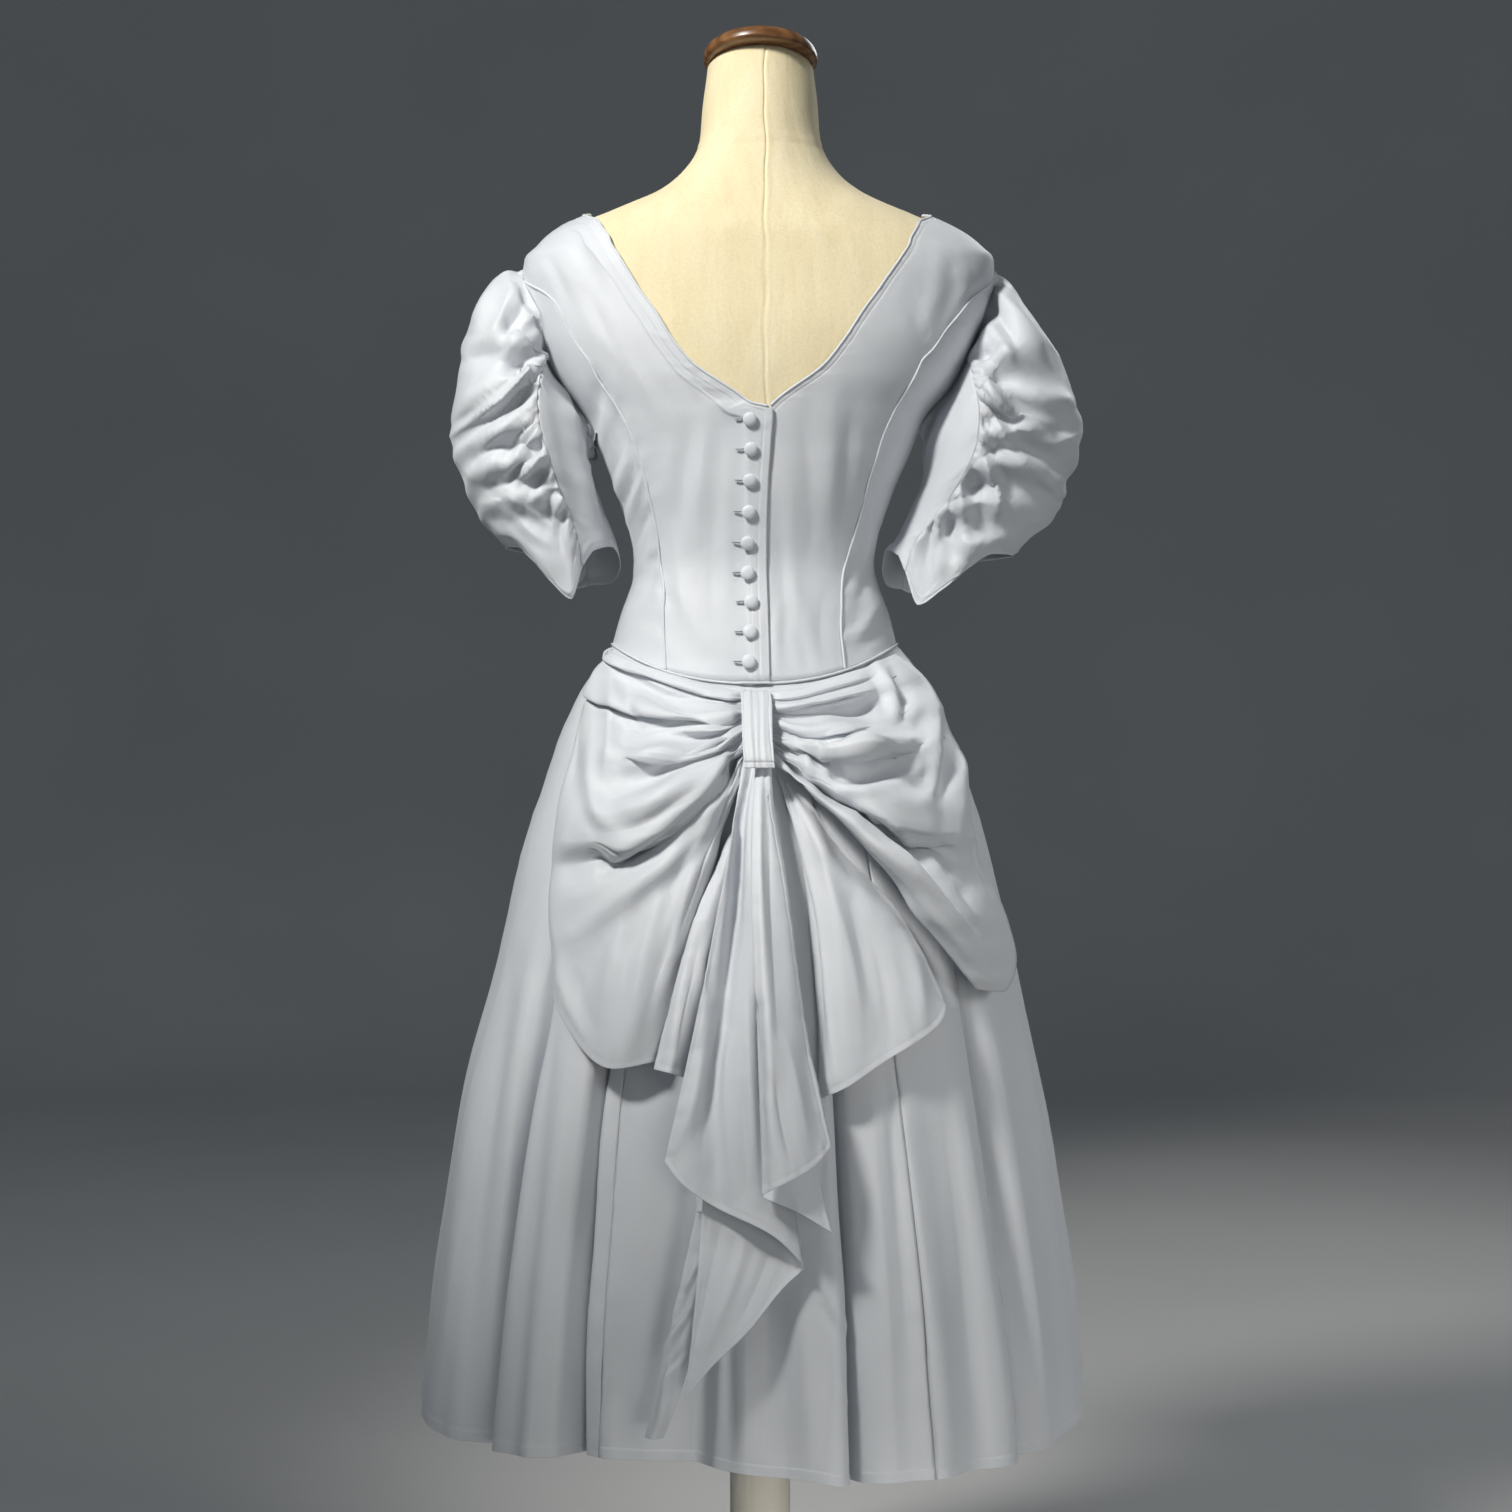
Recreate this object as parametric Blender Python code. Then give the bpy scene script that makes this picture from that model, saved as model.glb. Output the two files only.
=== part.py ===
# Bustle dress on a limbless dress form.
# Metres, +Z up. -Y is the dress's back (buttons and bustle), +X its right-hand side as seen from behind.
# Origin: centre of the form's base, on the floor.
# Tables are in millimetres. "across" and "up" are elevation sizes on the plane y = 0,
# as seen level from VIEW_D behind the dress at height VIEW_Z; seen() gives each point its own depth.
import math
import bpy
import numpy as np

for old in list(bpy.data.objects):
    bpy.data.objects.remove(old, do_unlink=True)

MM = 0.001
VIEW_D, VIEW_Z, VIEW_X = 2.6, 0.864, -0.0036
CLOTH = 1.4 * MM            # wall of the cloth
SEAM = 0.18 * MM            # each piece stops this far short of its seam
FORM_GAP = 3.4 * MM         # form surface below the middle of the cloth
PIPE_R = 1.25 * MM          # radius of the corded piping
BUTTON_R = 6.2 * MM
HEM_Z = 278 * MM            # height of the skirt hem above the floor
WAIST_SIDE, WAIST_BACK, WAIST_FRONT = 964 * MM, 926 * MM, 944 * MM
LAP = 11 * MM               # the button side laps over the other by this much
LAP_RISE = 2.4 * MM

# torso, outside of the cloth: rings by height
#     up    half   back  front   cx   cy    n   tilt
BODY = [
    (740,   168,   128,   112,  -5,   0,  2.2,   0),
    (850,   158,   122,   108,  -5,   0,  2.2,   0),
    (925,   136,   106,   103,  -5,   0,  2.2,   0),
    (967,   126,    98,   100,  -5,   0,  2.2,   0),
    (991,   120,    94,    97,  -5,   0,  2.2,   0),
    (1031,  107,    89,    92,  -5,   0,  2.2,   0),
    (1058,  110,    92,   100,  -5,   0,  2.2,   0),
    (1099,  123,    99,   117,  -5,   0,  2.2,   0),
    (1135,  138,   103,   134,  -4,   0,  2.2,   0),
    (1166,  151,   106,   136,  -4,   0,  2.3,   0),
    (1200,  177,   108,   124,  -3,   0,  2.3,   0),
    (1235,  194,   106,   104,  -3,   0,  2.4,   0),
    (1270,  206,    99,    88,  -3,   0,  2.4,   0),
    (1292,  211,    94,    79,  -2,   0,  2.4,   0),
    (1309,  210,    90,    74,  -1,   0,  2.3,   0),
    (1319,  201,    88,    71,  -1,   0,  2.2,   0),
    (1328,  192,    86,    69,  -2,   0,  2.1,   0),
    (1337,  179,    83,    67,  -3,   1,  2.0,   0),
    (1349,  151,    78,    64,  -3,   2,  2.0,   0),
    (1358,  130,    75,    62,  -3,   2,  2.0,   0),
    (1364,  112,    73,    61,  -2,   3,  2.0,   0),
    (1375,   89,    69,    60,  -1,   4,  2.0,   1),
    (1390,   72,    64,    59,   0,   6,  2.0,   4),
    (1405,   62,    60,    57,   0,   8,  2.0,   7),
    (1420,  57.5,   57,    56,   0,  10,  2.0,  10),
    (1450,  55.5,   54,    54,   0,  17,  2.0,  14),
    (1486,  51.5,   51,    51,   0,  25,  2.0,  14.5),
    (1500,  51,     51,    51,   0,  28,  2.0,  14.5),
]
# skirt: rings by height, without its folds
#     up    half   back  front   cx
SKIRT = [
    (270,   298,   286,   252,  -5),
    (300,   297,   283,   250,  -5),
    (340,   293,   280,   246,  -5),
    (400,   287,   272,   240,  -5),
    (460,   278,   262,   232,  -5),
    (560,   261,   244,   216,  -5),
    (640,   243,   226,   200,  -4),
    (720,   224,   204,   184,  -3),
    (800,   203,   180,   164,  -4),
    (840,   190,   165,   152,  -4),
    (880,   177,   142,   134,  -4),
    (905,   166,   122,   120,  -4),
    (926,   155,   106,   112,  -5),
    (944,   144,   101,   103,  -5),
    (966,   127,    98,   100,  -5),
]
# folds of the skirt, one row for each crest, valley or seam
#  name       turn at waist, turn at hem, out at hem, hem rise
FOLDS = [
    ("front",    -180, -180,   8,  0), ("slope", -172, -172,   2,  0), ("valley", -166, -166, -26,  0),
    ("slope",    -160, -160,   4,  0), ("SEAM",  -152, -152,   8,  0), ("crest",  -144, -144,  10,  0),
    ("slope",    -137, -137,  -8,  0), ("valley", -133, -133, -34, 0), ("slope",  -128, -128,  -2,  0),
    ("crest",    -120, -120,   9,  6), ("crest", -110, -110,  10, 14), ("slope",  -103, -103,   2, 20),
    ("valley",    -98,  -98, -24, 23), ("SEAM",   -90,  -90,  -2, 26), ("crest",   -80,  -80,   3, 24),
    ("crest",     -67,  -67,  10, 15), ("slope",  -56,  -57,   9, 10), ("slope",   -51,  -52, -10,  9),
    ("valley",    -48.5, -49.2, -44, 9), ("slope", -46, -46.6,  -6, 10), ("crest", -43,  -44,   12, 11),
    ("crest",     -37,  -38,  14, 12), ("slope",  -32.5, -33.2, 4, 13), ("valley", -31, -31.6, -54, 14),
    ("slope",     -29,  -30, -22, 14), ("SEAM",   -26,  -27, -19, 14), ("hollow",  -19, -20,  -24, 14),
    ("valley",    -11,  -11, -38, 13), ("slope",   -6,   -5, -24, 10), ("slope",     1,   1,  -14,  7),
    ("crest",       8,    9,   2,  4), ("crest",   12,   13,   8,  0), ("slope",  13.5,  14.6,   2,  0),
    ("valley",   14.8,   16, -46,  0), ("slope",   16.2, 17.4, -2,  0), ("crest",   20,  21,   11,  0),
    ("SEAM",       26,   28,  15,  0), ("slope",   33,   35,   6,  0), ("crest",    41,  43,   12,  0),
    ("slope",    44.5, 46.4,   4,  0), ("valley",  46.5, 48.4, -42, 0), ("slope",   49,  51,  -12,  0),
    ("slope",      56,   57,   0,  4), ("crest",   68,   68,   5, 13), ("crest",    80,  80,   -3, 24),
    ("SEAM",       90,   90,  -9, 27), ("valley",  99,   99, -26, 24), ("slope",   105, 105,    1, 20),
    ("crest",     113,  113,  10, 13), ("crest",  123,  123,   9,  6), ("slope",   130, 130,   -6,  0),
    ("valley",    134,  134, -34,  0), ("slope",  139,  139,  -6,  0), ("crest",   146, 146,   10,  0),
    ("SEAM",      152,  152,   8,  0), ("slope",  160,  160,   4,  0), ("valley",  166, 166,  -24,  0),
    ("slope",     172,  172,   0,  0), ("front",  180,  180,   8,  0),
]
# back princess seams, from the waist up      up, left across, right across
PRINCESS = [
    (943, -84, 76), (968, -86, 73), (1004, -86, 73), (1045, -90, 79), (1081, -95, 90), (1117, -104, 99),
    (1151, -115, 110), (1184, -132, 126), (1202, -144, 137), (1219, -153, 145), (1231, -162, 156),
    (1246, -171, 166), (1258, -176, 176), (1272, -184, 187), (1282, -195, 198), (1291, -211, 208),
]
# back neckline, from the lap up               up, left across, right across
NECK = [
    (1172, 1, 3), (1182, -8, 12), (1192, -22, 24), (1201, -36, 37), (1210, -50, 50), (1220, -63, 61),
    (1241, -80, 77), (1264, -94, 92), (1283, -108, 106), (1306, -122, 122), (1328, -135, 135),
    (1339, -142, 141), (1346, -146.5, 145), (1350, -149, 147),
]
# front neckline, a plain scoop                up, half
NECK_FRONT = [(1350, 149), (1346, 146), (1339, 141), (1326, 131), (1302, 115), (1282, 98), (1264, 76), (1254, 50), (1249, 24), (1248, 0)]
# armholes, from the underarm up               up, left across, right across
ARMHOLE = [
    (1152, -144, 143), (1162, -155, 151), (1175, -165, 160), (1189, -174, 169), (1204, -184, 180), (1220, -190, 187),
    (1234, -193, 194), (1247, -195, 202), (1261, -197, 205), (1272, -202, 207), (1282, -207, 208), (1292, -211, 209),
    (1309, -211, 209),
]
# sleeves: rings from the armhole (0) to the cuff (1)
#    along  outer across, up   inner across, up   seam   half depth
SLEEVE_L = [
    (0.00,   -215,  1303,   -147,  1152,  0.55,  58),
    (0.08,   -227,  1306,   -150,  1142,  0.56,  66),
    (0.20,   -250,  1285,   -151,  1128,  0.58,  78),
    (0.35,   -269,  1244,   -148,  1112,  0.62,  86),
    (0.50,   -281,  1192,   -142,  1096,  0.69,  88),
    (0.65,   -284,  1148,   -137,  1081,  0.73,  82),
    (0.78,   -274,  1112,   -133,  1067,  0.75,  74),
    (0.90,   -254,  1075,   -129,  1053,  0.74,  66),
    (1.00,   -229,  1051,   -126,  1040,  0.70,  58),
]
SLEEVE_R = [
    (0.00,    211,  1300,    146,  1149,  0.55,  58),
    (0.08,    221,  1298,    149,  1139,  0.56,  66),
    (0.20,    245,  1268,    149,  1124,  0.58,  78),
    (0.35,    268,  1229,    145,  1106,  0.62,  86),
    (0.50,    289,  1192,    138,  1091,  0.69,  88),
    (0.65,    297,  1154,    131,  1076,  0.77,  82),
    (0.78,    286,  1114,    124,  1062,  0.83,  74),
    (0.90,    265,  1075,    117,  1049,  0.88,  66),
    (1.00,    227,  1044,    110,  1038,  0.84,  58),
]
# how far the cuff hangs below its plain line: q over the puff from front seam to back seam, drop
HEM_DROP_PUFF = [(-1.0, -22), (-0.90, -26), (-0.70, -14), (-0.40, 0), (0.36, 0), (0.56, -12), (0.74, -30), (0.90, -42), (1.0, -12)]
# q over the under sleeve from back seam to front seam, drop
HEM_DROP_UNDER = [(0.0, -12), (0.10, 4), (0.30, 10), (0.50, -4), (0.80, -20), (1.0, -22)]
# gathers of the puffs: each starts on the sleeve seam and runs down and out round the puff
#    name     along at seam, along at outside, out near seam, out at outside
GATHERS = [
    ("armhole",  0.00, 0.00,   0,   0),
    ("roll",     0.02, 0.05,   5,   6),
    ("tuck",     0.05, 0.12,  -4,  -1),
    ("roll",     0.08, 0.24,   8,   5),
    ("tuck",     0.12, 0.36,  -6,  -3),
    ("roll",     0.17, 0.50,   9,   6),
    ("tuck",     0.22, 0.60, -10,  -9),
    ("roll",     0.30, 0.69,   9,   7),
    ("tuck",     0.37, 0.75,  -8,  -4),
    ("roll",     0.45, 0.80,   8,   4),
    ("tuck",     0.53, 0.84,  -7,  -4),
    ("roll",     0.62, 0.88,   7,   4),
    ("tuck",     0.71, 0.91,  -7,  -3),
    ("roll",     0.81, 0.94,   5,   2),
    ("tuck",     0.91, 0.97,  -3,  -2),
    ("hem",      1.00, 1.00,   0,   0),
]
# bustle: each row is one fold line, from the strap or top, through its middle, to its outer edge;
# lift is how far it stands off the skirt
SWAG_LEFT = [
    # fold        at the strap      half way          at the edge
    # name        across up  lift   across up  lift   across up  lift
    ("waist",       -13,  924,   6,    -72,  938,   4,   -132,  963,   4),
    ("tuck",        -13,  917,   9,    -72,  927,  13,   -142,  955,  10),
    ("crease",      -13,  909,   5,    -72,  915,   8,   -153,  942,  12),
    ("roll",        -13,  901,  10,    -72,  899,  27,   -162,  923,  18),
    ("crease",      -13,  894,   5,    -76,  882,  16,   -169,  905,  20),
    ("roll",        -13,  887,  10,    -83,  863,  42,   -176,  877,  24),
    ("hollow",      -13,  881,   8,    -94,  848,  37,   -183,  850,  25),
    ("bag",         -13,  877,  10,    -97,  823,  60,   -191,  817,  28),
    ("bag",         -13,  873,  10,    -97,  803,  52,   -195,  790,  28),
    ("underfold",   -14,  869,   3,    -96,  787,  18,   -198,  763,  24),
    ("ridge",       -16,  864,   9,    -94,  769,  40,   -201,  732,  26),
    ("sweep",       -17,  860,   7,    -83,  745,  33,   -194,  670,  24),
    ("sweep",       -17,  858,   7,    -74,  730,  34,   -169,  612,  24),
    ("sweep",       -17,  855,   6,    -65,  719,  30,   -135,  582,  24),
    ("edge",        -18,  852,   3,    -55,  715,   8,    -94,  589,  12),
]
SWAG_RIGHT = [
    # fold        at the strap      half way          at the edge
    # name        across up  lift   across up  lift   across up  lift
    ("waist",         7,  924,   6,     65,  937,   4,    122,  956,   4),
    ("tuck",          7,  917,   9,     59,  923,  13,    131,  948,  10),
    ("roll",          7,  909,   9,     61,  912,  22,    141,  939,  14),
    ("crease",        7,  901,   5,     65,  899,  13,    150,  929,  17),
    ("roll",          7,  894,   9,     70,  887,  32,    160,  914,  22),
    ("crease",        7,  887,   6,     74,  876,  28,    168,  900,  24),
    ("roll",          7,  882,   9,     88,  868,  52,    176,  881,  27),
    ("hollow",        7,  878,   7,     95,  851,  38,    182,  853,  30),
    ("bag",           7,  876,  10,    108,  830,  58,    189,  817,  34),
    ("bag",           7,  873,   8,    108,  812,  52,    194,  792,  34),
    ("slit",          8,  870,   4,    108,  798,  16,    201,  765,  28),
    ("ridge",         9,  868,  12,    112,  789,  48,    219,  727,  32),
    ("tongue",       10,  865,  18,    112,  779,  60,    231,  682,  38),
    ("tongue",       10,  862,  20,    108,  770,  56,    220,  651,  38),
    ("edge",         11,  860,  18,    101,  767,  38,    194,  654,  32),
]
FALL_RIGHT = [
    # fold        at the strap      half way          at the edge
    # name        across up  lift   across up  lift   across up  lift
    ("edge",         15,  846,   3,     37,  725,   8,     54,  556,  12),
    ("flute",        17,  845,   5,     48,  725,  24,     77,  564,  30),
    ("hollow",       21,  843,   6,     65,  725,  20,    108,  587,  24),
    ("flute",        25,  842,   6,     84,  725,  24,    142,  607,  30),
    ("flute",        30,  839,   5,    103,  727,  22,    164,  625,  28),
    ("edge",         34,  835,   3,    120,  731,  14,    167,  639,  18),
]
TAIL_SECOND = [
    # fold        at the strap      half way          at the edge
    # name        across up  lift   across up  lift   across up  lift
    ("edge",        -26,  793,   6,    -65,  689,  20,    -95,  582,  26),
    ("flute",       -23,  793,   9,    -54,  689,  27,    -83,  579,  34),
    ("hollow",      -19,  793,   6,    -40,  689,  14,    -65,  574,  16),
    ("edge",        -15,  793,   4,    -34,  689,   8,    -56,  573,  10),
]
TAIL_LEFT = [
    # fold        at the strap      half way          at the edge
    # name        across up  lift   across up  lift   across up  lift
    ("edge",        -14,  863,  12,    -47,  679,  34,    -86,  499,  40),
    ("flute",       -11,  863,  12,    -39,  677,  30,    -70,  478,  40),
    ("hollow",       -7,  863,   9,    -27,  675,  17,    -41,  458,  26),
    ("flute",        -4,  863,  12,    -14,  673,  32,    -15,  446,  36),
    ("flute",         0,  863,  13,     -4,  671,  34,     14,  431,  34),
    ("edge",          4,  863,  10,      7,  670,  20,     39,  405,  24),
]
TAIL_RIGHT = [
    # fold        at the strap      half way          at the edge
    # name        across up  lift   across up  lift   across up  lift
    ("edge",         -4,  863,  22,     -3,  676,  48,      2,  469,  60),
    ("flute",         0,  863,  25,      5,  676,  56,     20,  478,  68),
    ("flute",         4,  863,  24,     14,  679,  48,     39,  488,  60),
    ("hollow",        6,  863,  27,     22,  682,  40,     54,  500,  50),
    ("edge",          8,  863,  26,     30,  689,  30,     64,  513,  40),
]
TAIL_MIDDLE = [
    # fold        at the strap      half way          at the edge
    # name        across up  lift   across up  lift   across up  lift
    ("edge",          4,  509,  38,      3,  486,  42,      3,  466,  46),
    ("flute",        22,  518,  34,     23,  484,  42,     32,  454,  48),
    ("edge",         43,  531,  30,     52,  484,  36,     64,  435,  42),
]
TAIL_END = [
    # fold        at the strap      half way          at the edge
    # name        across up  lift   across up  lift   across up  lift
    ("edge",        -51,  477,  14,    -58,  379,  24,    -68,  285,  34),
    ("fold",        -29,  464,  10,    -34,  382,  20,    -43,  315,  26),
    ("fold",         -5,  454,  10,     -7,  388,  16,    -11,  345,  22),
    ("fold",         16,  442,  10,     18,  401,  14,     18,  382,  18),
    ("edge",         32,  430,  12,     37,  412,  14,     40,  403,  16),
]
TAIL_STRIP = [
    # fold        at the strap      half way          at the edge
    # name        across up  lift   across up  lift   across up  lift
    ("edge",        -57,  454,   3,    -79,  355,   8,   -103,  251,  16),
    ("fold",        -50,  454,   4,    -68,  347,  12,    -97,  249,  20),
    ("edge",        -45,  454,   2,    -58,  343,   9,    -87,  251,  14),
]


def pchip(xs, ys, x):
    """Smooth curve through table rows, with no overshoot."""
    xs, ys = np.asarray(xs, float), np.asarray(ys, float)
    x = np.clip(x, xs[0], xs[-1])
    h = np.diff(xs)
    d = np.diff(ys) / h
    m = np.zeros_like(ys)
    m[0], m[-1] = d[0], d[-1]
    same = d[:-1] * d[1:] > 0
    m[1:-1] = np.where(same, 2 * d[:-1] * d[1:] / np.where(same, d[:-1] + d[1:], 1.0), 0.0)
    i = np.clip(np.searchsorted(xs, x, side="right") - 1, 0, len(xs) - 2)
    t = (x - xs[i]) / h[i]
    return ((1 + 2 * t) * (1 - t) ** 2 * ys[i] + t * (1 - t) ** 2 * h[i] * m[i]
            + t * t * (3 - 2 * t) * ys[i + 1] + t * t * (t - 1) * h[i] * m[i + 1])


def step(x):
    x = np.clip(x, 0.0, 1.0)
    return x * x * (3 - 2 * x)


def unit(v):
    return v / np.maximum(np.linalg.norm(v, axis=-1, keepdims=True), 1e-12)


def column(table, i, scale=1.0):
    return np.array([row[i] for row in table], float) * scale


BODY_UP = column(BODY, 0, MM)
BODY_COLS = [column(BODY, i, MM) for i in range(1, 6)] + [column(BODY, 6), np.radians(column(BODY, 7))]
SKIRT_UP = column(SKIRT, 0, MM)
SKIRT_COLS = [column(SKIRT, i, MM) for i in range(1, 5)]


def body_ring(turn, up):
    half, back, front, cx, cy, n, tilt = (pchip(BODY_UP, c, up) for c in BODY_COLS)
    s, c = np.sin(turn), np.cos(turn)
    x = cx + half * np.sign(s) * np.abs(s) ** (2 / n)
    y = -np.where(c > 0, back, front) * np.sign(c) * np.abs(c) ** (2 / n)
    return np.stack([x, cy + y, up - y * np.tan(tilt)], -1)


def body(turn, up, out=0.0):
    """Point and outward normal of the torso surface; turn 0 is the centre back."""
    turn, up = np.broadcast_arrays(np.asarray(turn, float), np.asarray(up, float))
    e = 2e-3
    du = body_ring(turn + e, up) - body_ring(turn - e, up)
    dv = body_ring(turn, up + e) - body_ring(turn, up - e)
    n = unit(np.cross(du, dv))
    return body_ring(turn, up) + n * out, n


def body_turn(x, up):
    half, _, _, cx, _, n, _ = (pchip(BODY_UP, c, up) for c in BODY_COLS)
    s = np.clip((x - cx) / half, -1, 1)
    return np.arcsin(np.sign(s) * np.abs(s) ** (n / 2))


def seen(across, up, y):
    """Move an elevation point on the plane y = 0 along its line of sight to depth y."""
    k = (VIEW_D + y) / VIEW_D
    return VIEW_X + (across - VIEW_X) * k, VIEW_Z + (up - VIEW_Z) * k


def on_back(across, up):
    """Turn and height where an elevation point meets the torso's back."""
    y = np.zeros_like(across)
    for _ in range(8):
        x, z = seen(across, up, y)
        y = body_ring(body_turn(x, z), z)[..., 1]
    return body_turn(x, z), z


def path(points, turns=None):
    """Curve through rows of (turn, up), by the distance run."""
    points = np.asarray(points, float)
    run = np.concatenate([[0], np.cumsum(np.linalg.norm(np.diff(points * [0.12, 1.0], axis=0), axis=1))])
    run /= run[-1]
    return lambda t: np.stack([pchip(run, points[:, 0], t), pchip(run, points[:, 1], t)], -1)


def coons(bottom, top, left, right, s, t):
    """Grid of (turn, up) inside four edge curves."""
    S, T = np.meshgrid(s, t)
    b, u, l, r = bottom(s)[None], top(s)[None], left(t)[:, None], right(t)[:, None]
    S, T = S[..., None], T[..., None]
    c00, c10, c01, c11 = bottom(0.0), bottom(1.0), top(0.0), top(1.0)
    return ((1 - T) * b + T * u + (1 - S) * l + S * r
            - ((1 - S) * (1 - T) * c00 + S * (1 - T) * c10 + (1 - S) * T * c01 + S * T * c11))


def waist(turn):
    c = np.cos(turn)
    low = np.where(c > 0, WAIST_BACK, WAIST_FRONT)
    return WAIST_SIDE - (WAIST_SIDE - low) * c * c


def skirt_ring(turn, up):
    half, back, front, cx = (pchip(SKIRT_UP, c, up) for c in SKIRT_COLS)
    s, c = np.sin(turn), np.cos(turn)
    return np.stack([cx + half * s, -np.where(c > 0, back, front) * c, up + 0 * s], -1)


def skirt_base(turn, w, rise=0.0):
    """Smooth skirt; w runs from the waist seam (0) to the hem (1)."""
    top = waist(turn)
    up = top + (HEM_Z + rise - top) * w
    fade = np.clip(1 - w / 0.22, 0, 1) ** 2
    p = skirt_ring(turn, up)
    gap = body_ring(turn, top) - skirt_ring(turn, top)
    gap[..., 2] = 0
    return p + gap * fade[..., None]


FOLD_W, FOLD_H = np.radians(column(FOLDS, 1)), np.radians(column(FOLDS, 2))
FOLD_OUT, FOLD_RISE = column(FOLDS, 3, MM), column(FOLDS, 4, MM)


def skirt(row, w, out=0.0, deep=1.0):
    """Skirt with its folds; row counts along the fold table and may fall between rows."""
    row, w = np.broadcast_arrays(np.asarray(row, float), np.asarray(w, float))
    k = np.arange(len(FOLDS))
    turn = pchip(k, FOLD_W, row) * (1 - w) + pchip(k, FOLD_H, row) * w
    rise = pchip(k, FOLD_RISE, row)
    push = pchip(k, FOLD_OUT, row) * deep * w ** 1.25
    e = 3e-3
    p = skirt_base(turn, w, rise)
    du = skirt_base(turn + e, w, rise) - skirt_base(turn - e, w, rise)
    dv = skirt_base(turn, np.minimum(w + e, 1.2), rise) - skirt_base(turn, w - e, rise)
    n = unit(np.cross(dv, du))
    return p + n * (push + out)[..., None], n


def skirt_back(x, up):
    """Depth y of the smooth skirt's back at (x, up)."""
    half, back, _, cx = (pchip(SKIRT_UP, c, up) for c in SKIRT_COLS)
    s = np.clip((x - cx) / (half * 1.015), -1, 1)
    y = -back * np.sqrt(1 - s * s)
    yb = body_ring(body_turn(x, np.maximum(up, 0.9)), np.maximum(up, 0.9))[..., 1]
    near = step((up - 0.875) / 0.05)
    return np.minimum(y, y * (1 - near) + yb * near) * (1 - near) + np.minimum(y, yb) * near


def fan(rows, s, k):
    """Cloth through fold lines. s runs out along the folds, k counts the rows."""
    cols = [column(rows, i, MM) for i in range(1, 10)]
    idx = np.arange(len(rows))
    S, K = np.meshgrid(s, k)
    a = [pchip(idx, c, K) for c in cols]
    q0, q1, q2 = 2 * (S - 0.5) * (S - 1), 4 * S * (1 - S), 2 * S * (S - 0.5)
    across, up, lift = (a[i] * q0 + a[i + 3] * q1 + a[i + 6] * q2 for i in range(3))
    lift = np.maximum(lift, np.minimum(a[2], a[8]) * 0.6)
    y = np.zeros_like(across)
    for _ in range(10):
        x, z = seen(across, up, y)
        z = np.minimum(z, waist(body_turn(x, 0.94)) - 3.6 * MM)
        y = skirt_back(x, z) - lift
    return np.stack([x, y, z], -1)


def grid_normals(p, flip=False):
    du, dv = np.gradient(p, axis=1), np.gradient(p, axis=0)
    n = unit(np.cross(du, dv))
    return -n if flip else n


def sleeve_ring(table, side, theta, along):
    t = column(table, 0)
    ox, oz, ix, iz = (pchip(t, column(table, i, MM), along) for i in (1, 2, 3, 4))
    d = pchip(t, column(table, 6, MM), along)
    c, s = np.cos(theta), np.sin(theta)
    p = np.stack([(ox + ix) / 2 + (ox - ix) / 2 * c, 0.004 - d * s, (oz + iz) / 2 + (oz - iz) / 2 * c], -1)
    # the first ring is the armhole itself
    a0 = np.zeros_like(along)
    q = np.stack([pchip(t, column(table, i, MM), a0) for i in (1, 2, 3, 4, 6)], 0)
    ring0 = np.stack([(q[0] + q[2]) / 2 + (q[0] - q[2]) / 2 * c, 0.004 - q[4] * s, (q[1] + q[3]) / 2 + (q[1] - q[3]) / 2 * c], -1)
    fade = (np.clip(1 - along / 0.22, 0, 1) ** 1.6)[..., None]
    p = p + (armhole_loop(side, theta) - ring0) * fade
    # stay clear of the bodice
    half, back, front, cx, cy, n, _ = (pchip(BODY_UP, col, p[..., 2]) for col in BODY_COLS)
    y = p[..., 1] - cy
    inside = np.clip(1 - np.abs(y / np.where(y < 0, back, front)) ** n, 0, 1) ** (1 / n)
    least = side * cx + half * inside + (3.6 + 3.6 * step(along / 0.06)) * MM
    least = np.where(inside > 0, least, 0)
    p[..., 0] = side * np.maximum(side * p[..., 0], least)
    return p


def armhole_loop(side, theta):
    a = 1 - np.abs(((theta + np.pi) % (2 * np.pi)) - np.pi) / np.pi      # 1 at the shoulder, 0 underarm
    rows = column(ARMHOLE, 0, MM), column(ARMHOLE, 1 if side < 0 else 2, MM)
    run = np.concatenate([[0], np.cumsum(np.hypot(np.diff(rows[0]), np.diff(rows[1])))])
    up, across = pchip(run / run[-1], rows[0], a), pchip(run / run[-1], rows[1], a)
    turn, z = on_back(across, up)
    back = np.sin(theta) >= 0
    turn = np.where(back, turn, side * np.pi - turn)
    p, _ = body(turn, z)
    low = (1 - a)[..., None]
    return p + np.array([side * 3.4 * MM, 0, 0]) + low * np.array([side * 0.6 * MM, 0, 1.2 * MM])


def seam_angle(table, along):
    return np.arccos(1 - 2 * pchip(column(table, 0), column(table, 5), along))


def sleeve_point(table, side, theta, along):
    """Point and outward normal of the smooth sleeve."""
    e, f = 4e-3, 2e-3
    lo, hi = np.maximum(along - f, 0), np.minimum(along + f, 1)
    du = sleeve_ring(table, side, theta + e, along) - sleeve_ring(table, side, theta - e, along)
    dv = sleeve_ring(table, side, theta, hi) - sleeve_ring(table, side, theta, lo)
    n = unit(np.cross(du, dv)) * -side
    return sleeve_ring(table, side, theta, along), n


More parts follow.
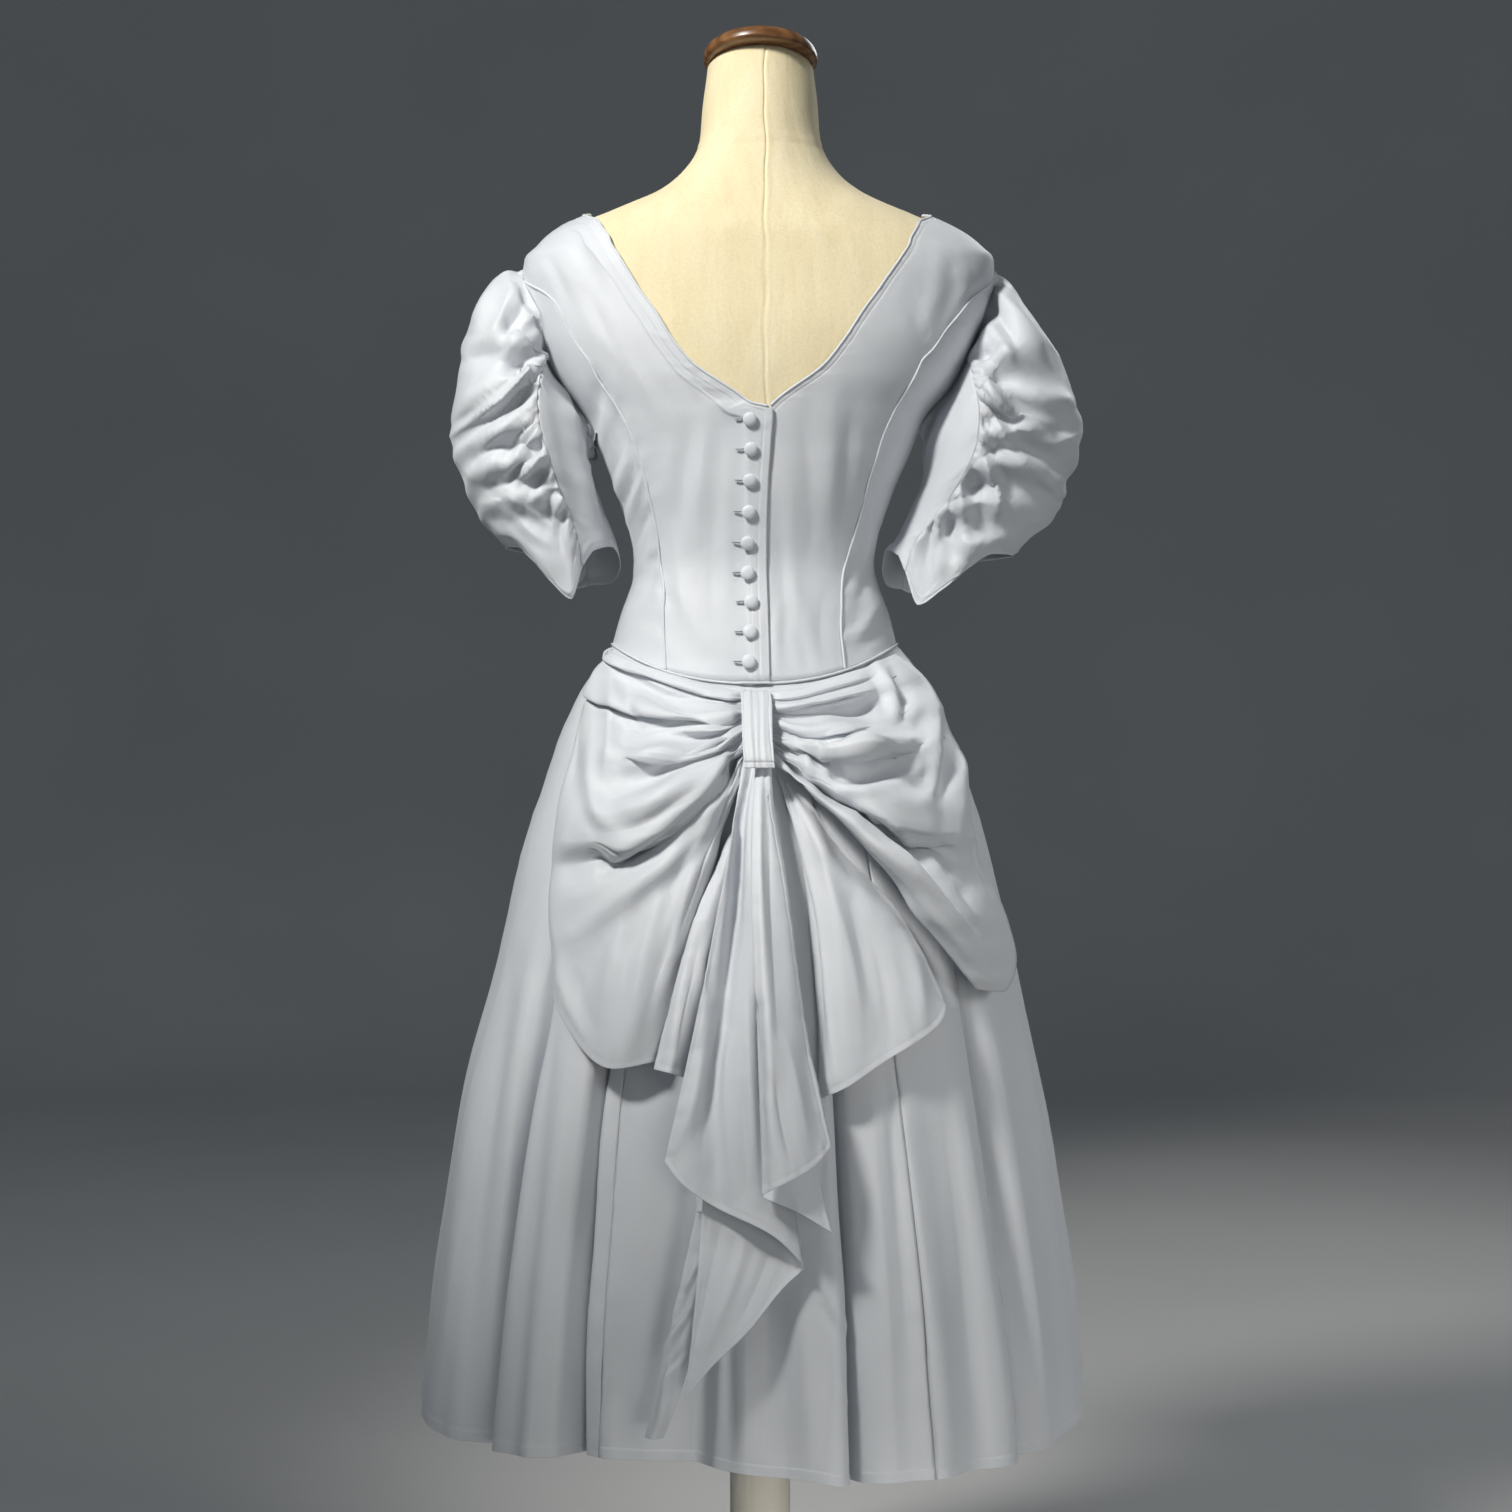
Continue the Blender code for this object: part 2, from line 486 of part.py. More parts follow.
def puff(table, side, q, row, out=0.0, extra=0.0):
    """q runs over the puff from the front seam (-1) to the back seam (1); row counts along the gathers."""
    q, row = np.broadcast_arrays(np.asarray(q, float), np.asarray(row, float))
    k = np.arange(len(GATHERS))
    h = 1 - np.abs(q) ** 1.4
    along = pchip(k, column(GATHERS, 1), row) * (1 - h) + pchip(k, column(GATHERS, 2), row) * h
    theta = q * seam_angle(table, along)
    p, n = sleeve_point(table, side, theta, along)
    push = pchip(k, column(GATHERS, 3, MM), row) * (1 - h) + pchip(k, column(GATHERS, 4, MM), row) * h
    edge = step((1 - np.abs(q)) / 0.14)
    ends = np.sin(np.pi * np.clip(along, 0, 1)) ** 0.5
    droop = pchip(column(HEM_DROP_PUFF, 0), column(HEM_DROP_PUFF, 1, MM), q) * step((along - 0.80) / 0.20)
    p = p + n * ((push + 7 * MM * ends) * edge + out + extra)[..., None]
    p[..., 2] += droop
    return p, n


def under(table, side, q, along, out=0.0):
    """q runs over the under sleeve from the back seam (0) round the inside to the front seam (1)."""
    q, along = np.broadcast_arrays(np.asarray(q, float), np.asarray(along, float))
    a = seam_angle(table, along)
    theta = a + (2 * np.pi - 2 * a) * q
    p, n = sleeve_point(table, side, theta, along)
    p = p + n * out
    p[..., 2] += pchip(column(HEM_DROP_UNDER, 0), column(HEM_DROP_UNDER, 1, MM), q) * step((along - 0.80) / 0.20)
    return p, n


# ---------------------------------------------------------------- materials
def material(name, colour, rough, **more):
    m = bpy.data.materials.new(name)
    m.use_nodes = True
    b = m.node_tree.nodes["Principled BSDF"]
    b.inputs["Base Color"].default_value = (*colour, 1)
    b.inputs["Roughness"].default_value = rough
    for key, value in more.items():
        b.inputs[key.replace("_", " ")].default_value = value
    return m


CLOTH_BLUE = (0.50, 0.58, 0.72)
CANVAS = (0.74, 0.68, 0.54)
WOOD = (0.16, 0.045, 0.014)
WHITE = (0.80, 0.79, 0.75)


def add(name, verts, faces, colour, rough=0.5, smooth=True, **more):
    mesh = bpy.data.meshes.new(name)
    mesh.from_pydata([tuple(map(float, v)) for v in verts], [], [tuple(map(int, f)) for f in faces])
    mesh.validate()
    mesh.update()
    for poly in mesh.polygons:
        poly.use_smooth = smooth
    mesh.materials.append(material(name, colour, rough, **more))
    ob = bpy.data.objects.new(name, mesh)
    bpy.context.scene.collection.objects.link(ob)
    return ob


def shell(name, p, n, thick=CLOTH, colour=CLOTH_BLUE, seams="lrtb", gap=SEAM, rough=0.45):
    """Closed wall of cloth on a grid of points p with normals n; seam edges step back from the seam."""
    p = p.copy()

    def back_off(edge, inner, normal):
        """Move an edge into its own piece, square to the seam."""
        d = unit(np.cross(normal, np.gradient(edge, axis=0)))
        return edge + d * gap * np.sign((d * (inner - edge)).sum())

    q = p.copy()
    if "l" in seams:
        q[:, 0] = back_off(p[:, 0], p[:, 1], n[:, 0])
    if "r" in seams:
        q[:, -1] = back_off(p[:, -1], p[:, -2], n[:, -1])
    if "b" in seams:
        q[0] = back_off(p[0], p[1], n[0])
    if "t" in seams:
        q[-1] = back_off(p[-1], p[-2], n[-1])
    p = q
    rows, cols = p.shape[:2]
    verts = np.concatenate([(p + n * thick / 2).reshape(-1, 3), (p - n * thick / 2).reshape(-1, 3)])
    m = rows * cols
    faces = []
    a = np.cross(p[0, 1] - p[0, 0], p[1, 0] - p[0, 0])
    mid = (rows // 2, cols // 2)
    a = np.cross(p[mid[0], mid[1]] - p[mid[0], mid[1] - 1], p[mid[0], mid[1]] - p[mid[0] - 1, mid[1]])
    keep = float(np.dot(a, n[mid])) > 0

    def face(*f):
        faces.append(f if keep else f[::-1])

    def both(i, j, v):
        # split each cell the way that keeps the two walls alike
        a, b, c, d = i * cols + j, i * cols + j + 1, (i + 1) * cols + j + 1, (i + 1) * cols + j
        if np.linalg.norm(p[i, j] - p[i + 1, j + 1]) <= np.linalg.norm(p[i, j + 1] - p[i + 1, j]):
            tris = ((a, b, c), (a, c, d))
        else:
            tris = ((a, b, d), (b, c, d))
        for t in tris:
            face(*t)
            face(*(m + k for k in t[::-1]))

    for i in range(rows - 1):
        for j in range(cols - 1):
            both(i, j, None)
    for j in range(cols - 1):
        face(j, m + j, m + j + 1)
        face(j, m + j + 1, j + 1)
        k = (rows - 1) * cols + j
        face(k + 1, m + k + 1, m + k)
        face(k + 1, m + k, k)
    for i in range(rows - 1):
        a, b = i * cols, (i + 1) * cols
        face(b, m + b, m + a)
        face(b, m + a, a)
        a, b = a + cols - 1, b + cols - 1
        face(a, m + a, m + b)
        face(a, m + b, b)
    return add(name, verts, faces, colour, rough)


def tube(name, pts, radius, sides=6, closed=False, colour=CLOTH_BLUE, up=None):
    """Round cord along points, with flat ends."""
    pts = np.asarray(pts, float)
    if closed:
        tan = unit(np.roll(pts, -1, 0) - np.roll(pts, 1, 0))
    else:
        tan = unit(np.gradient(pts, axis=0))
    ref = up if up is not None else np.tile([0.0, 0.0, 1.0], (len(pts), 1))
    a = unit(np.cross(tan, ref))
    b = np.cross(a, tan)
    ang = np.arange(sides) * 2 * np.pi / sides
    ring = pts[:, None] + radius * (np.cos(ang)[None, :, None] * a[:, None] + np.sin(ang)[None, :, None] * b[:, None])
    verts = ring.reshape(-1, 3)
    faces = []
    n = len(pts)
    for i in range(n if closed else n - 1):
        j = (i + 1) % n
        for k in range(sides):
            l = (k + 1) % sides
            faces.append((i * sides + k, j * sides + k, j * sides + l, i * sides + l))
    if not closed:
        faces.append(tuple(range(sides)))
        faces.append(tuple((n - 1) * sides + k for k in range(sides))[::-1])
    return add(name, verts, faces, colour, 0.45)


def lathe(name, rings, colour, segments=48, rough=0.5, smooth=True, centre=(0, 0, 0), tilt=0.0, **more):
    """Solid of revolution from rows of (radius, up), closed with flat ends."""
    verts, faces = [], []
    for r, z in rings:
        for k in range(segments):
            a = 2 * math.pi * k / segments
            x, y = r * math.cos(a), r * math.sin(a)
            verts.append((centre[0] + x, centre[1] + y * math.cos(tilt) - z * math.sin(tilt) * -1 * 0 + z * math.sin(tilt),
                          centre[2] - y * math.sin(tilt) + z * math.cos(tilt)))
    for i in range(len(rings) - 1):
        for k in range(segments):
            l = (k + 1) % segments
            faces.append((i * segments + k, i * segments + l, (i + 1) * segments + l, (i + 1) * segments + k))
    faces.append(tuple(range(segments))[::-1])
    faces.append(tuple((len(rings) - 1) * segments + k for k in range(segments)))
    ob = add(name, verts, faces, colour, rough, smooth, **more)
    for poly in ob.data.polygons[-2:]:
        poly.use_smooth = False
    return ob


# ---------------------------------------------------------------- dress form
FORM_BOTTOM, NECK_TOP, NECK_TILT = 776 * MM, 1486 * MM, math.radians(14.5)
turns = np.linspace(-math.pi, math.pi, 73)[:-1]
ups = np.concatenate([np.linspace(FORM_BOTTOM, 1.27, 22), np.linspace(1.285, 1.42, 14), np.linspace(1.44, NECK_TOP, 4)])
T, U = np.meshgrid(turns, ups)
torso, _ = body(T, U, 0.0)
hidden = step(0.75 - np.cos(T)) * step((1.350 - U) / 0.02) + 0.6 * step((1.16 - U) / 0.04)
torso, _ = body(T, U, -FORM_GAP - 2.8 * MM * np.minimum(hidden, 1)[..., None])
torso[0, :, 2] = FORM_BOTTOM
verts = list(torso.reshape(-1, 3))
cols, faces = len(turns), []
for i in range(len(ups) - 1):
    for j in range(cols):
        k = (j + 1) % cols
        faces.append((i * cols + j, i * cols + k, (i + 1) * cols + k, (i + 1) * cols + j))
verts.append(torso[0].mean(0))
verts.append(torso[-1].mean(0))
for j in range(cols):
    k = (j + 1) % cols
    faces.append((len(verts) - 2, k, j))
    top = (len(ups) - 1) * cols
    faces.append((len(verts) - 1, top + j, top + k))
add("form_torso", verts, faces, CANVAS, 0.8)

neck_centre = torso[-1].mean(0)
axis = np.array([0, math.sin(NECK_TILT), math.cos(NECK_TILT)])
CAP_R, CAP_H = 51.5 * MM, 17 * MM
CAP = [(0.90, 0.0), (0.965, 0.03), (1.0, 0.14), (1.0, 0.42), (0.975, 0.62), (0.92, 0.78), (0.80, 0.90), (0.55, 0.98), (0.25, 1.0)]
lathe("form_neck_cap", [(r * CAP_R, z * CAP_H) for r, z in CAP], WOOD, 56, 0.25, centre=tuple(neck_centre + axis * 0.4 * MM), tilt=NECK_TILT)
BASE_R, BASE_H, POLE_R = 190 * MM, 20 * MM, 27 * MM
lathe("form_base", [(BASE_R * 0.985, 0), (BASE_R, 3 * MM), (BASE_R, BASE_H - 5 * MM), (BASE_R - 4 * MM, BASE_H - 1 * MM), (BASE_R - 12 * MM, BASE_H)], WHITE, 64, 0.35)
lathe("form_pole", [(POLE_R, BASE_H + 0.3 * MM), (POLE_R, FORM_BOTTOM - 0.5 * MM)], WHITE, 48, 0.35)

# ---------------------------------------------------------------- bodice
def table_path(rows, side, extra=()):
    up, across = column(rows, 0, MM), column(rows, 1 if side < 0 else 2, MM)
    turn, z = on_back(across, up)
    return [(a, b) for a, b in zip(turn, z)] + list(extra)


NT = 12                      # steps up each bodice seam
t_up = np.linspace(0, 1, NT + 1)
half_pi = math.pi / 2
grids = {}
neck_back, armholes, princess = {}, {}, {}
centre_turn = on_back(np.array([7 * MM]), np.array([1.0]))[0][0]       # the lap's edge
lap_under = on_back(np.array([7 * MM]) - LAP, np.array([1.0]))[0][0]

for side, tag in ((-1, "left"), (1, "right")):
    seam_rows = table_path(PRINCESS, side)
    seam_rows[0] = (seam_rows[0][0], float(waist(seam_rows[0][0])))
    shoulder_up = 1309 * MM
    princess[side] = path(seam_rows)
    neck_rows = table_path(NECK, side)
    neck_rows[-1] = (side * half_pi, 1350 * MM)
    edge = centre_turn if side < 0 else lap_under
    centre = [(edge, float(waist(edge))), (edge, 1.0), (edge, 1.08), (edge, 1150 * MM)]
    if side < 0:
        centre_path = path(centre + [(edge * 0.9, 1164 * MM)] + neck_rows[1:])
    else:
        centre_path = path(centre + [(edge * 0.5 + centre_turn * 0.5, 1162 * MM)] + neck_rows[1:])
    neck_back[side] = centre_path
    top_path = path([seam_rows[-1], (side * half_pi, shoulder_up), (side * half_pi, 1330 * MM), (side * half_pi, 1350 * MM)])
    bottom = lambda s, a=seam_rows[0][0], b=edge: np.stack([a + (b - a) * s, waist(a + (b - a) * s)], -1)
    s_across = np.array([0, 0.17, 0.37, 0.52, 0.65, 0.76, 0.85, 0.91, 1.0])
    a0 = seam_rows[0][0]
    s_lap = abs((lap_under - a0) / (centre_turn - a0))
    if side < 0:
        s_across[-2] = s_lap
    else:
        s_across[-2] = abs((centre_turn - a0) / (lap_under - a0))
    s_across[2] = 0.024 / 0.065
    g = coons(bottom, top_path, princess[side], centre_path, s_across, t_up)
    p, n = body(g[..., 0], g[..., 1])
    if side < 0:
        # the button side laps over the other side below the neckline
        low = step((1.176 - g[..., 1]) / 0.012)
        p[:, -2] += n[:, -2] * (LAP_RISE * np.maximum(low[:, -2:-1], 0.35))
        p[:, -1] += n[:, -1] * (LAP_RISE * np.maximum(low[:, -1:], 0.35))
        p[:, -3] += n[:, -3] * LAP_RISE * 0.25
    p[0, :, 2] += 0.5 * MM
    grids["bodice_back_" + tag] = (p, n)
    shell("bodice_back_" + tag, p, n, seams="lt" + "")
    # side back
    arm_rows = table_path(ARMHOLE, side)
    arm_rows[0] = (side * half_pi, 1152 * MM)
    cut = arm_rows[:-1]
    cut[-1] = seam_rows[-1]
    armholes[side] = path(cut)
    side_seam = path([(side * half_pi, WAIST_SIDE), (side * half_pi, 1.03), (side * half_pi, 1.09), (side * half_pi, 1152 * MM)])
    bottom = lambda s, a=side * half_pi, b=seam_rows[0][0]: np.stack([a + (b - a) * s, waist(a + (b - a) * s)], -1)
    g = coons(bottom, armholes[side], side_seam, princess[side], np.linspace(0, 1, 6), t_up)
    p, n = body(g[..., 0], g[..., 1])
    p[0, :, 2] += 0.5 * MM
    shell("bodice_side_back_" + tag, p, n, seams="lr")
    # side front, cut as the side back mirrored to the front
    def flip(f, side=side):
        def turned(t):
            v = np.array(f(t))
            v[..., 0] = side * math.pi - v[..., 0]
            low = waist(v[..., 0]) - waist(side * math.pi - v[..., 0])
            v[..., 1] = v[..., 1] + low * np.clip((1.0 - v[..., 1]) / (1.0 - 0.944), 0, 1)
            return v
        return turned
    fb = lambda s, a=side * half_pi, b=side * math.pi - seam_rows[0][0]: np.stack([a + (b - a) * s, waist(a + (b - a) * s)], -1)
    seam_front = flip(princess[side])
    def seam_fixed(t, f=seam_front):
        v = f(t)
        return v
    g = coons(fb, flip(armholes[side]), side_seam, seam_fixed, np.linspace(0, 1, 6), t_up)
    g[0, :, 1] = waist(g[0, :, 0])
    p, n = body(g[..., 0], g[..., 1])
    p[0, :, 2] += 0.5 * MM
    shell("bodice_side_front_" + tag, p, n, seams="lr")
    grids["seam_front" + tag] = seam_fixed

# front, one piece between the front princess seams
left, right = grids["seam_frontleft"], grids["seam_frontright"]
right_shift = lambda t: right(t) - np.array([2 * math.pi, 0])
# turns run from the left front seam through -180 to the right front seam
neck_up, neck_half = column(NECK_FRONT, 0, MM), column(NECK_FRONT, 1, MM)
nf_turn = body_turn(neck_half - 0.003, neck_up)
nf_turn[0] = half_pi
left_neck = [(-math.pi + a, z) for a, z in zip(nf_turn, neck_up)]
right_neck = [(-math.pi - a, z) for a, z in zip(nf_turn, neck_up)][::-1]


def with_shoulder(seam, shoulder_turn):
    """Front seam from the waist up to the armhole, then the shoulder seam up to the neck."""
    over = path([tuple(seam(1.0)), (shoulder_turn, 1309 * MM), (shoulder_turn, 1330 * MM), (shoulder_turn, 1350 * MM)])

    def curve(t):
        t = np.asarray(t, float)
        return np.where((t <= 0.8)[..., None], seam(np.minimum(t / 0.8, 1)), over(np.maximum((t - 0.8) / 0.2, 0)))
    return curve


front_left, front_right = with_shoulder(left, -half_pi), with_shoulder(right_shift, -3 * half_pi)
l0, r0 = left(0.0), right_shift(0.0)
front_bottom = lambda s: np.stack([l0[0] + (r0[0] - l0[0]) * s, waist(l0[0] + (r0[0] - l0[0]) * s)], -1)
t_front = np.concatenate([t_up * 0.8, [0.872, 0.936, 1.0]])
g = coons(front_bottom, path(left_neck + right_neck[1:]), front_left, front_right, np.linspace(0, 1, 14), t_front)
p, n = body(g[..., 0], g[..., 1])
p[0, :, 2] += 0.5 * MM
grids["bodice_front"] = (p, n)
shell("bodice_front", p, n, seams="lr")

# ---------------------------------------------------------------- piping
def corner(p, n, out):
    return p + n * out


for side, tag in ((-1, "left"), (1, "right")):
    g = princess[side](t_up)
    p, n = body(g[:, 0], g[:, 1])
    p = p + n * (CLOTH / 2 + 0.35 * MM + PIPE_R)
    p[0, 2] += 4 * MM
    p[-1] += (p[-2] - p[-1]) * 0.12
    tube("piping_princess_" + tag, p, PIPE_R, 6, up=n)

turns = np.linspace(-math.pi, math.pi, 73)[:-1]
p, n = body(turns, waist(turns) + 0.2 * MM)
over_lap = step((p[:, 0] + 24 * MM) / (12 * MM)) * step((20 * MM - p[:, 0]) / (10 * MM)) * (p[:, 1] < 0)
p = p + n * (CLOTH / 2 + 0.8 * MM + PIPE_R + LAP_RISE * over_lap)[:, None]
tube("piping_waist", p, PIPE_R, 6, closed=True, up=n)

# neck piping: up the left back, round the front, down the right back, on the edges of the panels
loop = []
for key, pick in (("bodice_back_left", 1), ("bodice_front", 0), ("bodice_back_right", -1)):
    p, n = grids[key]
    if pick:
        keep = p[:, -1, 2] > 1.166
        edge = (p[:, -1] + n[:, -1] * (CLOTH / 2 + 1.1 * MM + PIPE_R))[keep]
        edge = edge[::pick]
        edge = edge[:-1] if pick > 0 else edge[1:]
    else:
        edge = p[-1] + n[-1] * (CLOTH / 2 + 1.1 * MM + PIPE_R)
    loop.append(edge)
tube("piping_neck", np.concatenate(loop), PIPE_R, 6)

# ---------------------------------------------------------------- buttons
p_left, n_left = grids["bodice_back_left"]
BUTTON_UP = [1167, 1140, 1112, 1084, 1056, 1028, 1002, 975, 948]
BUTTON_ACROSS = [-9, -8, -9, -10, -11, -11, -8, -9, -10]
for i, (up, across) in enumerate(zip(BUTTON_UP, BUTTON_ACROSS)):
    turn, z = on_back(np.array([across * MM]), np.array([up * MM]))
    p, n = body(turn, z)
    p, n = p[0], n[0]
    base = p + n * (LAP_RISE + CLOTH / 2 + 2.0 * MM)
    a = unit(np.cross(n, [0, 0, 1.0]))
    b = np.cross(a, n)
    verts, faces = [], []
    DOME = [(0.86, 0.0), (1.0, 0.28), (0.93, 0.62), (0.68, 0.88), (0.30, 1.0)]
    for r, h in DOME:
        for k in range(16):
            w = 2 * math.pi * k / 16
            verts.append(base + (a * math.cos(w) + b * math.sin(w)) * r * BUTTON_R + n * h * 4.2 * MM)
    for r in range(len(DOME) - 1):
        for k in range(16):
            l = (k + 1) % 16
            faces.append((r * 16 + k, (r + 1) * 16 + k, (r + 1) * 16 + l, r * 16 + l))
    faces.append(tuple(range(16)))
    faces.append(tuple(4 * 16 + k for k in range(16))[::-1])
    add("button_%d" % (i + 1), verts, faces, CLOTH_BLUE, 0.4)

# ---------------------------------------------------------------- sleeves
for side, tag, table in ((-1, "left", SLEEVE_L), (1, "right", SLEEVE_R)):
    q = np.concatenate([[-1, -0.9], np.linspace(-0.74, 0.74, 10), [0.9, 1]])
    Q, R = np.meshgrid(q, np.arange(len(GATHERS), dtype=float))
    p, n = puff(table, side, Q, R)
    shell("sleeve_puff_" + tag, p, n, seams="lr")
    Q, A = np.meshgrid(np.linspace(0, 1, 7), column(GATHERS, 1))
    p, n = under(table, side, Q, A)
    shell("sleeve_under_" + tag, p, n, seams="lr")

# ---------------------------------------------------------------- skirt
w = np.array([0, 0.04, 0.10, 0.20, 0.36, 0.55, 0.74, 0.89, 1.0])
names = [row[0] for row in FOLDS]
seams = [i for i, nm in enumerate(names) if nm == "SEAM"]
gores = [("skirt_side_front_left", seams[0], seams[1]), ("skirt_side_back_left", seams[1], seams[2]),
         ("skirt_back", seams[2], seams[3]), ("skirt_side_back_right", seams[3], seams[4]),
         ("skirt_side_front_right", seams[4], seams[5])]


def gore(name, rows):
    R, W = np.meshgrid(np.array(rows, float), w)
    p, n = skirt(R, W)
    p[0, :, 2] -= 0.6 * MM
    shell(name, p, n, seams="lr")


for name, a, b in gores:
    gore(name, range(a, b + 1))
# the front gore crosses the centre front, where the table starts and ends
last = len(FOLDS) - 1
R, W = np.meshgrid(np.array(list(range(seams[5], last)) + [last], float), w)
p1, n1 = skirt(R, W)
R, W = np.meshgrid(np.array(list(range(0, seams[0] + 1)), float), w)
p2, n2 = skirt(R, W)
p, n = np.concatenate([p1, p2[:, 1:]], 1), np.concatenate([n1, n2[:, 1:]], 1)
p[0, :, 2] -= 0.6 * MM
shell("skirt_front", p, n, seams="lr")

# ---------------------------------------------------------------- bustle
def fan_shell(name, rows, s):
    p = fan(rows, np.asarray(s, float), np.arange(len(rows), dtype=float))
    n = grid_normals(p)
    if n[..., 1].mean() > 0:
        n = -n
    shell(name, p, n, seams="", thick=CLOTH)


fan_shell("bustle_left", SWAG_LEFT, [0, 0.10, 0.22, 0.36, 0.5, 0.64, 0.78, 0.9, 1])
fan_shell("bustle_right", SWAG_RIGHT, [0, 0.10, 0.22, 0.36, 0.5, 0.64, 0.78, 0.9, 1])
fan_shell("bustle_fall_right", FALL_RIGHT, [0, 0.12, 0.3, 0.5, 0.7, 0.86, 1])
fan_shell("bustle_tail_second", TAIL_SECOND, [0, 0.3, 0.55, 0.8, 1])
fan_shell("bustle_tail_left", TAIL_LEFT, [0, 0.1, 0.22, 0.36, 0.5, 0.66, 0.83, 1])
fan_shell("bustle_tail_right", TAIL_RIGHT, [0, 0.1, 0.25, 0.42, 0.6, 0.8, 1])
fan_shell("bustle_tail_middle", TAIL_MIDDLE, [0, 0.5, 1])
fan_shell("bustle_tail_end", TAIL_END, [0, 0.35, 0.7, 1])
fan_shell("bustle_tail_strip", TAIL_STRIP, [0, 0.3, 0.6, 0.85, 1])

# strap over the gathered centre
STRAP = [(-18, 922, 14, 9), (-17, 914, 26, 9), (-16.5, 900, 36, 10), (-16, 880, 40, 10.5), (-15, 864, 40, 11), (-14, 853, 36, 12)]
rows = np.array(STRAP, float) * MM
cols = []
for f in (0, 0.33, 0.67, 1):
    across = rows[:, 0] + f * 27.5 * MM
    lift = rows[:, 2] + 1.0 * MM * math.sin(f * math.pi)
    y = np.zeros(len(rows))
    for _ in range(10):
        x, z = seen(across, rows[:, 1], y)
        y = skirt_back(x * 0 - 0.004, z) - lift
    cols.append(np.stack([x, y, z], -1))
p = np.stack(cols, 1)
n = grid_normals(p)
if n[..., 1].mean() > 0:
    n = -n
shell("bustle_strap", p, n, seams="", thick=1.8 * MM)
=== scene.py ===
import math
import bpy
import numpy as np
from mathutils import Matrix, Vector


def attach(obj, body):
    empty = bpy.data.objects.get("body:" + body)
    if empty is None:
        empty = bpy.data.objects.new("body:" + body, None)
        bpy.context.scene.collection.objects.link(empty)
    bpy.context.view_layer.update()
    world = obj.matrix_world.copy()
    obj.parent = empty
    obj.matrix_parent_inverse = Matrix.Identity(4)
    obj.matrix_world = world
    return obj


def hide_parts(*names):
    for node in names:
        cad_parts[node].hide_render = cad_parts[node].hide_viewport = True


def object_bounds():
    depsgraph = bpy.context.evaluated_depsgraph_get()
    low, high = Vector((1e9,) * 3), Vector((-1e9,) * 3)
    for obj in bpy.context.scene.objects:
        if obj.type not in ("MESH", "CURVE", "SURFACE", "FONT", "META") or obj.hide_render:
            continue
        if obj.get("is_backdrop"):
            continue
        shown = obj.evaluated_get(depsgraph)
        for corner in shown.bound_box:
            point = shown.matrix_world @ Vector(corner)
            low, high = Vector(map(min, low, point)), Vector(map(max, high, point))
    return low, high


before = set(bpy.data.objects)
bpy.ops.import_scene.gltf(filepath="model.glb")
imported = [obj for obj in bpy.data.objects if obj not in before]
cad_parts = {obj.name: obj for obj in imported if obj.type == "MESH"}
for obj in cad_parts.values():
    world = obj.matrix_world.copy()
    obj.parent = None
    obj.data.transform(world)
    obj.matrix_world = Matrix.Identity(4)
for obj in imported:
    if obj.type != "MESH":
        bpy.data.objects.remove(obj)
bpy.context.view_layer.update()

RNG = np.random.default_rng(7)

# ------------------------------------------------------------------ camera
cam_data = bpy.data.cameras.new("camera")
cam = bpy.data.objects.new("camera", cam_data)
bpy.context.scene.collection.objects.link(cam)
cam.location = (-0.0036, -2.6, 0.864)
cam.rotation_euler = (math.pi / 2, 0, 0)
cam_data.sensor_width = 36
cam_data.lens = 68.8
cam_data.clip_end = 60
bpy.context.scene.camera = cam

# The sizes, tables and surfaces below are those of the part, repeated here.

MM = 0.001
VIEW_D, VIEW_Z, VIEW_X = 2.6, 0.864, -0.0036
CLOTH = 1.4 * MM            # wall of the cloth
SEAM = 0.18 * MM            # each piece stops this far short of its seam
FORM_GAP = 3.4 * MM         # form surface below the middle of the cloth
PIPE_R = 1.25 * MM          # radius of the corded piping
BUTTON_R = 6.2 * MM
HEM_Z = 278 * MM            # height of the skirt hem above the floor
WAIST_SIDE, WAIST_BACK, WAIST_FRONT = 964 * MM, 926 * MM, 944 * MM
LAP = 11 * MM               # the button side laps over the other by this much
LAP_RISE = 2.4 * MM

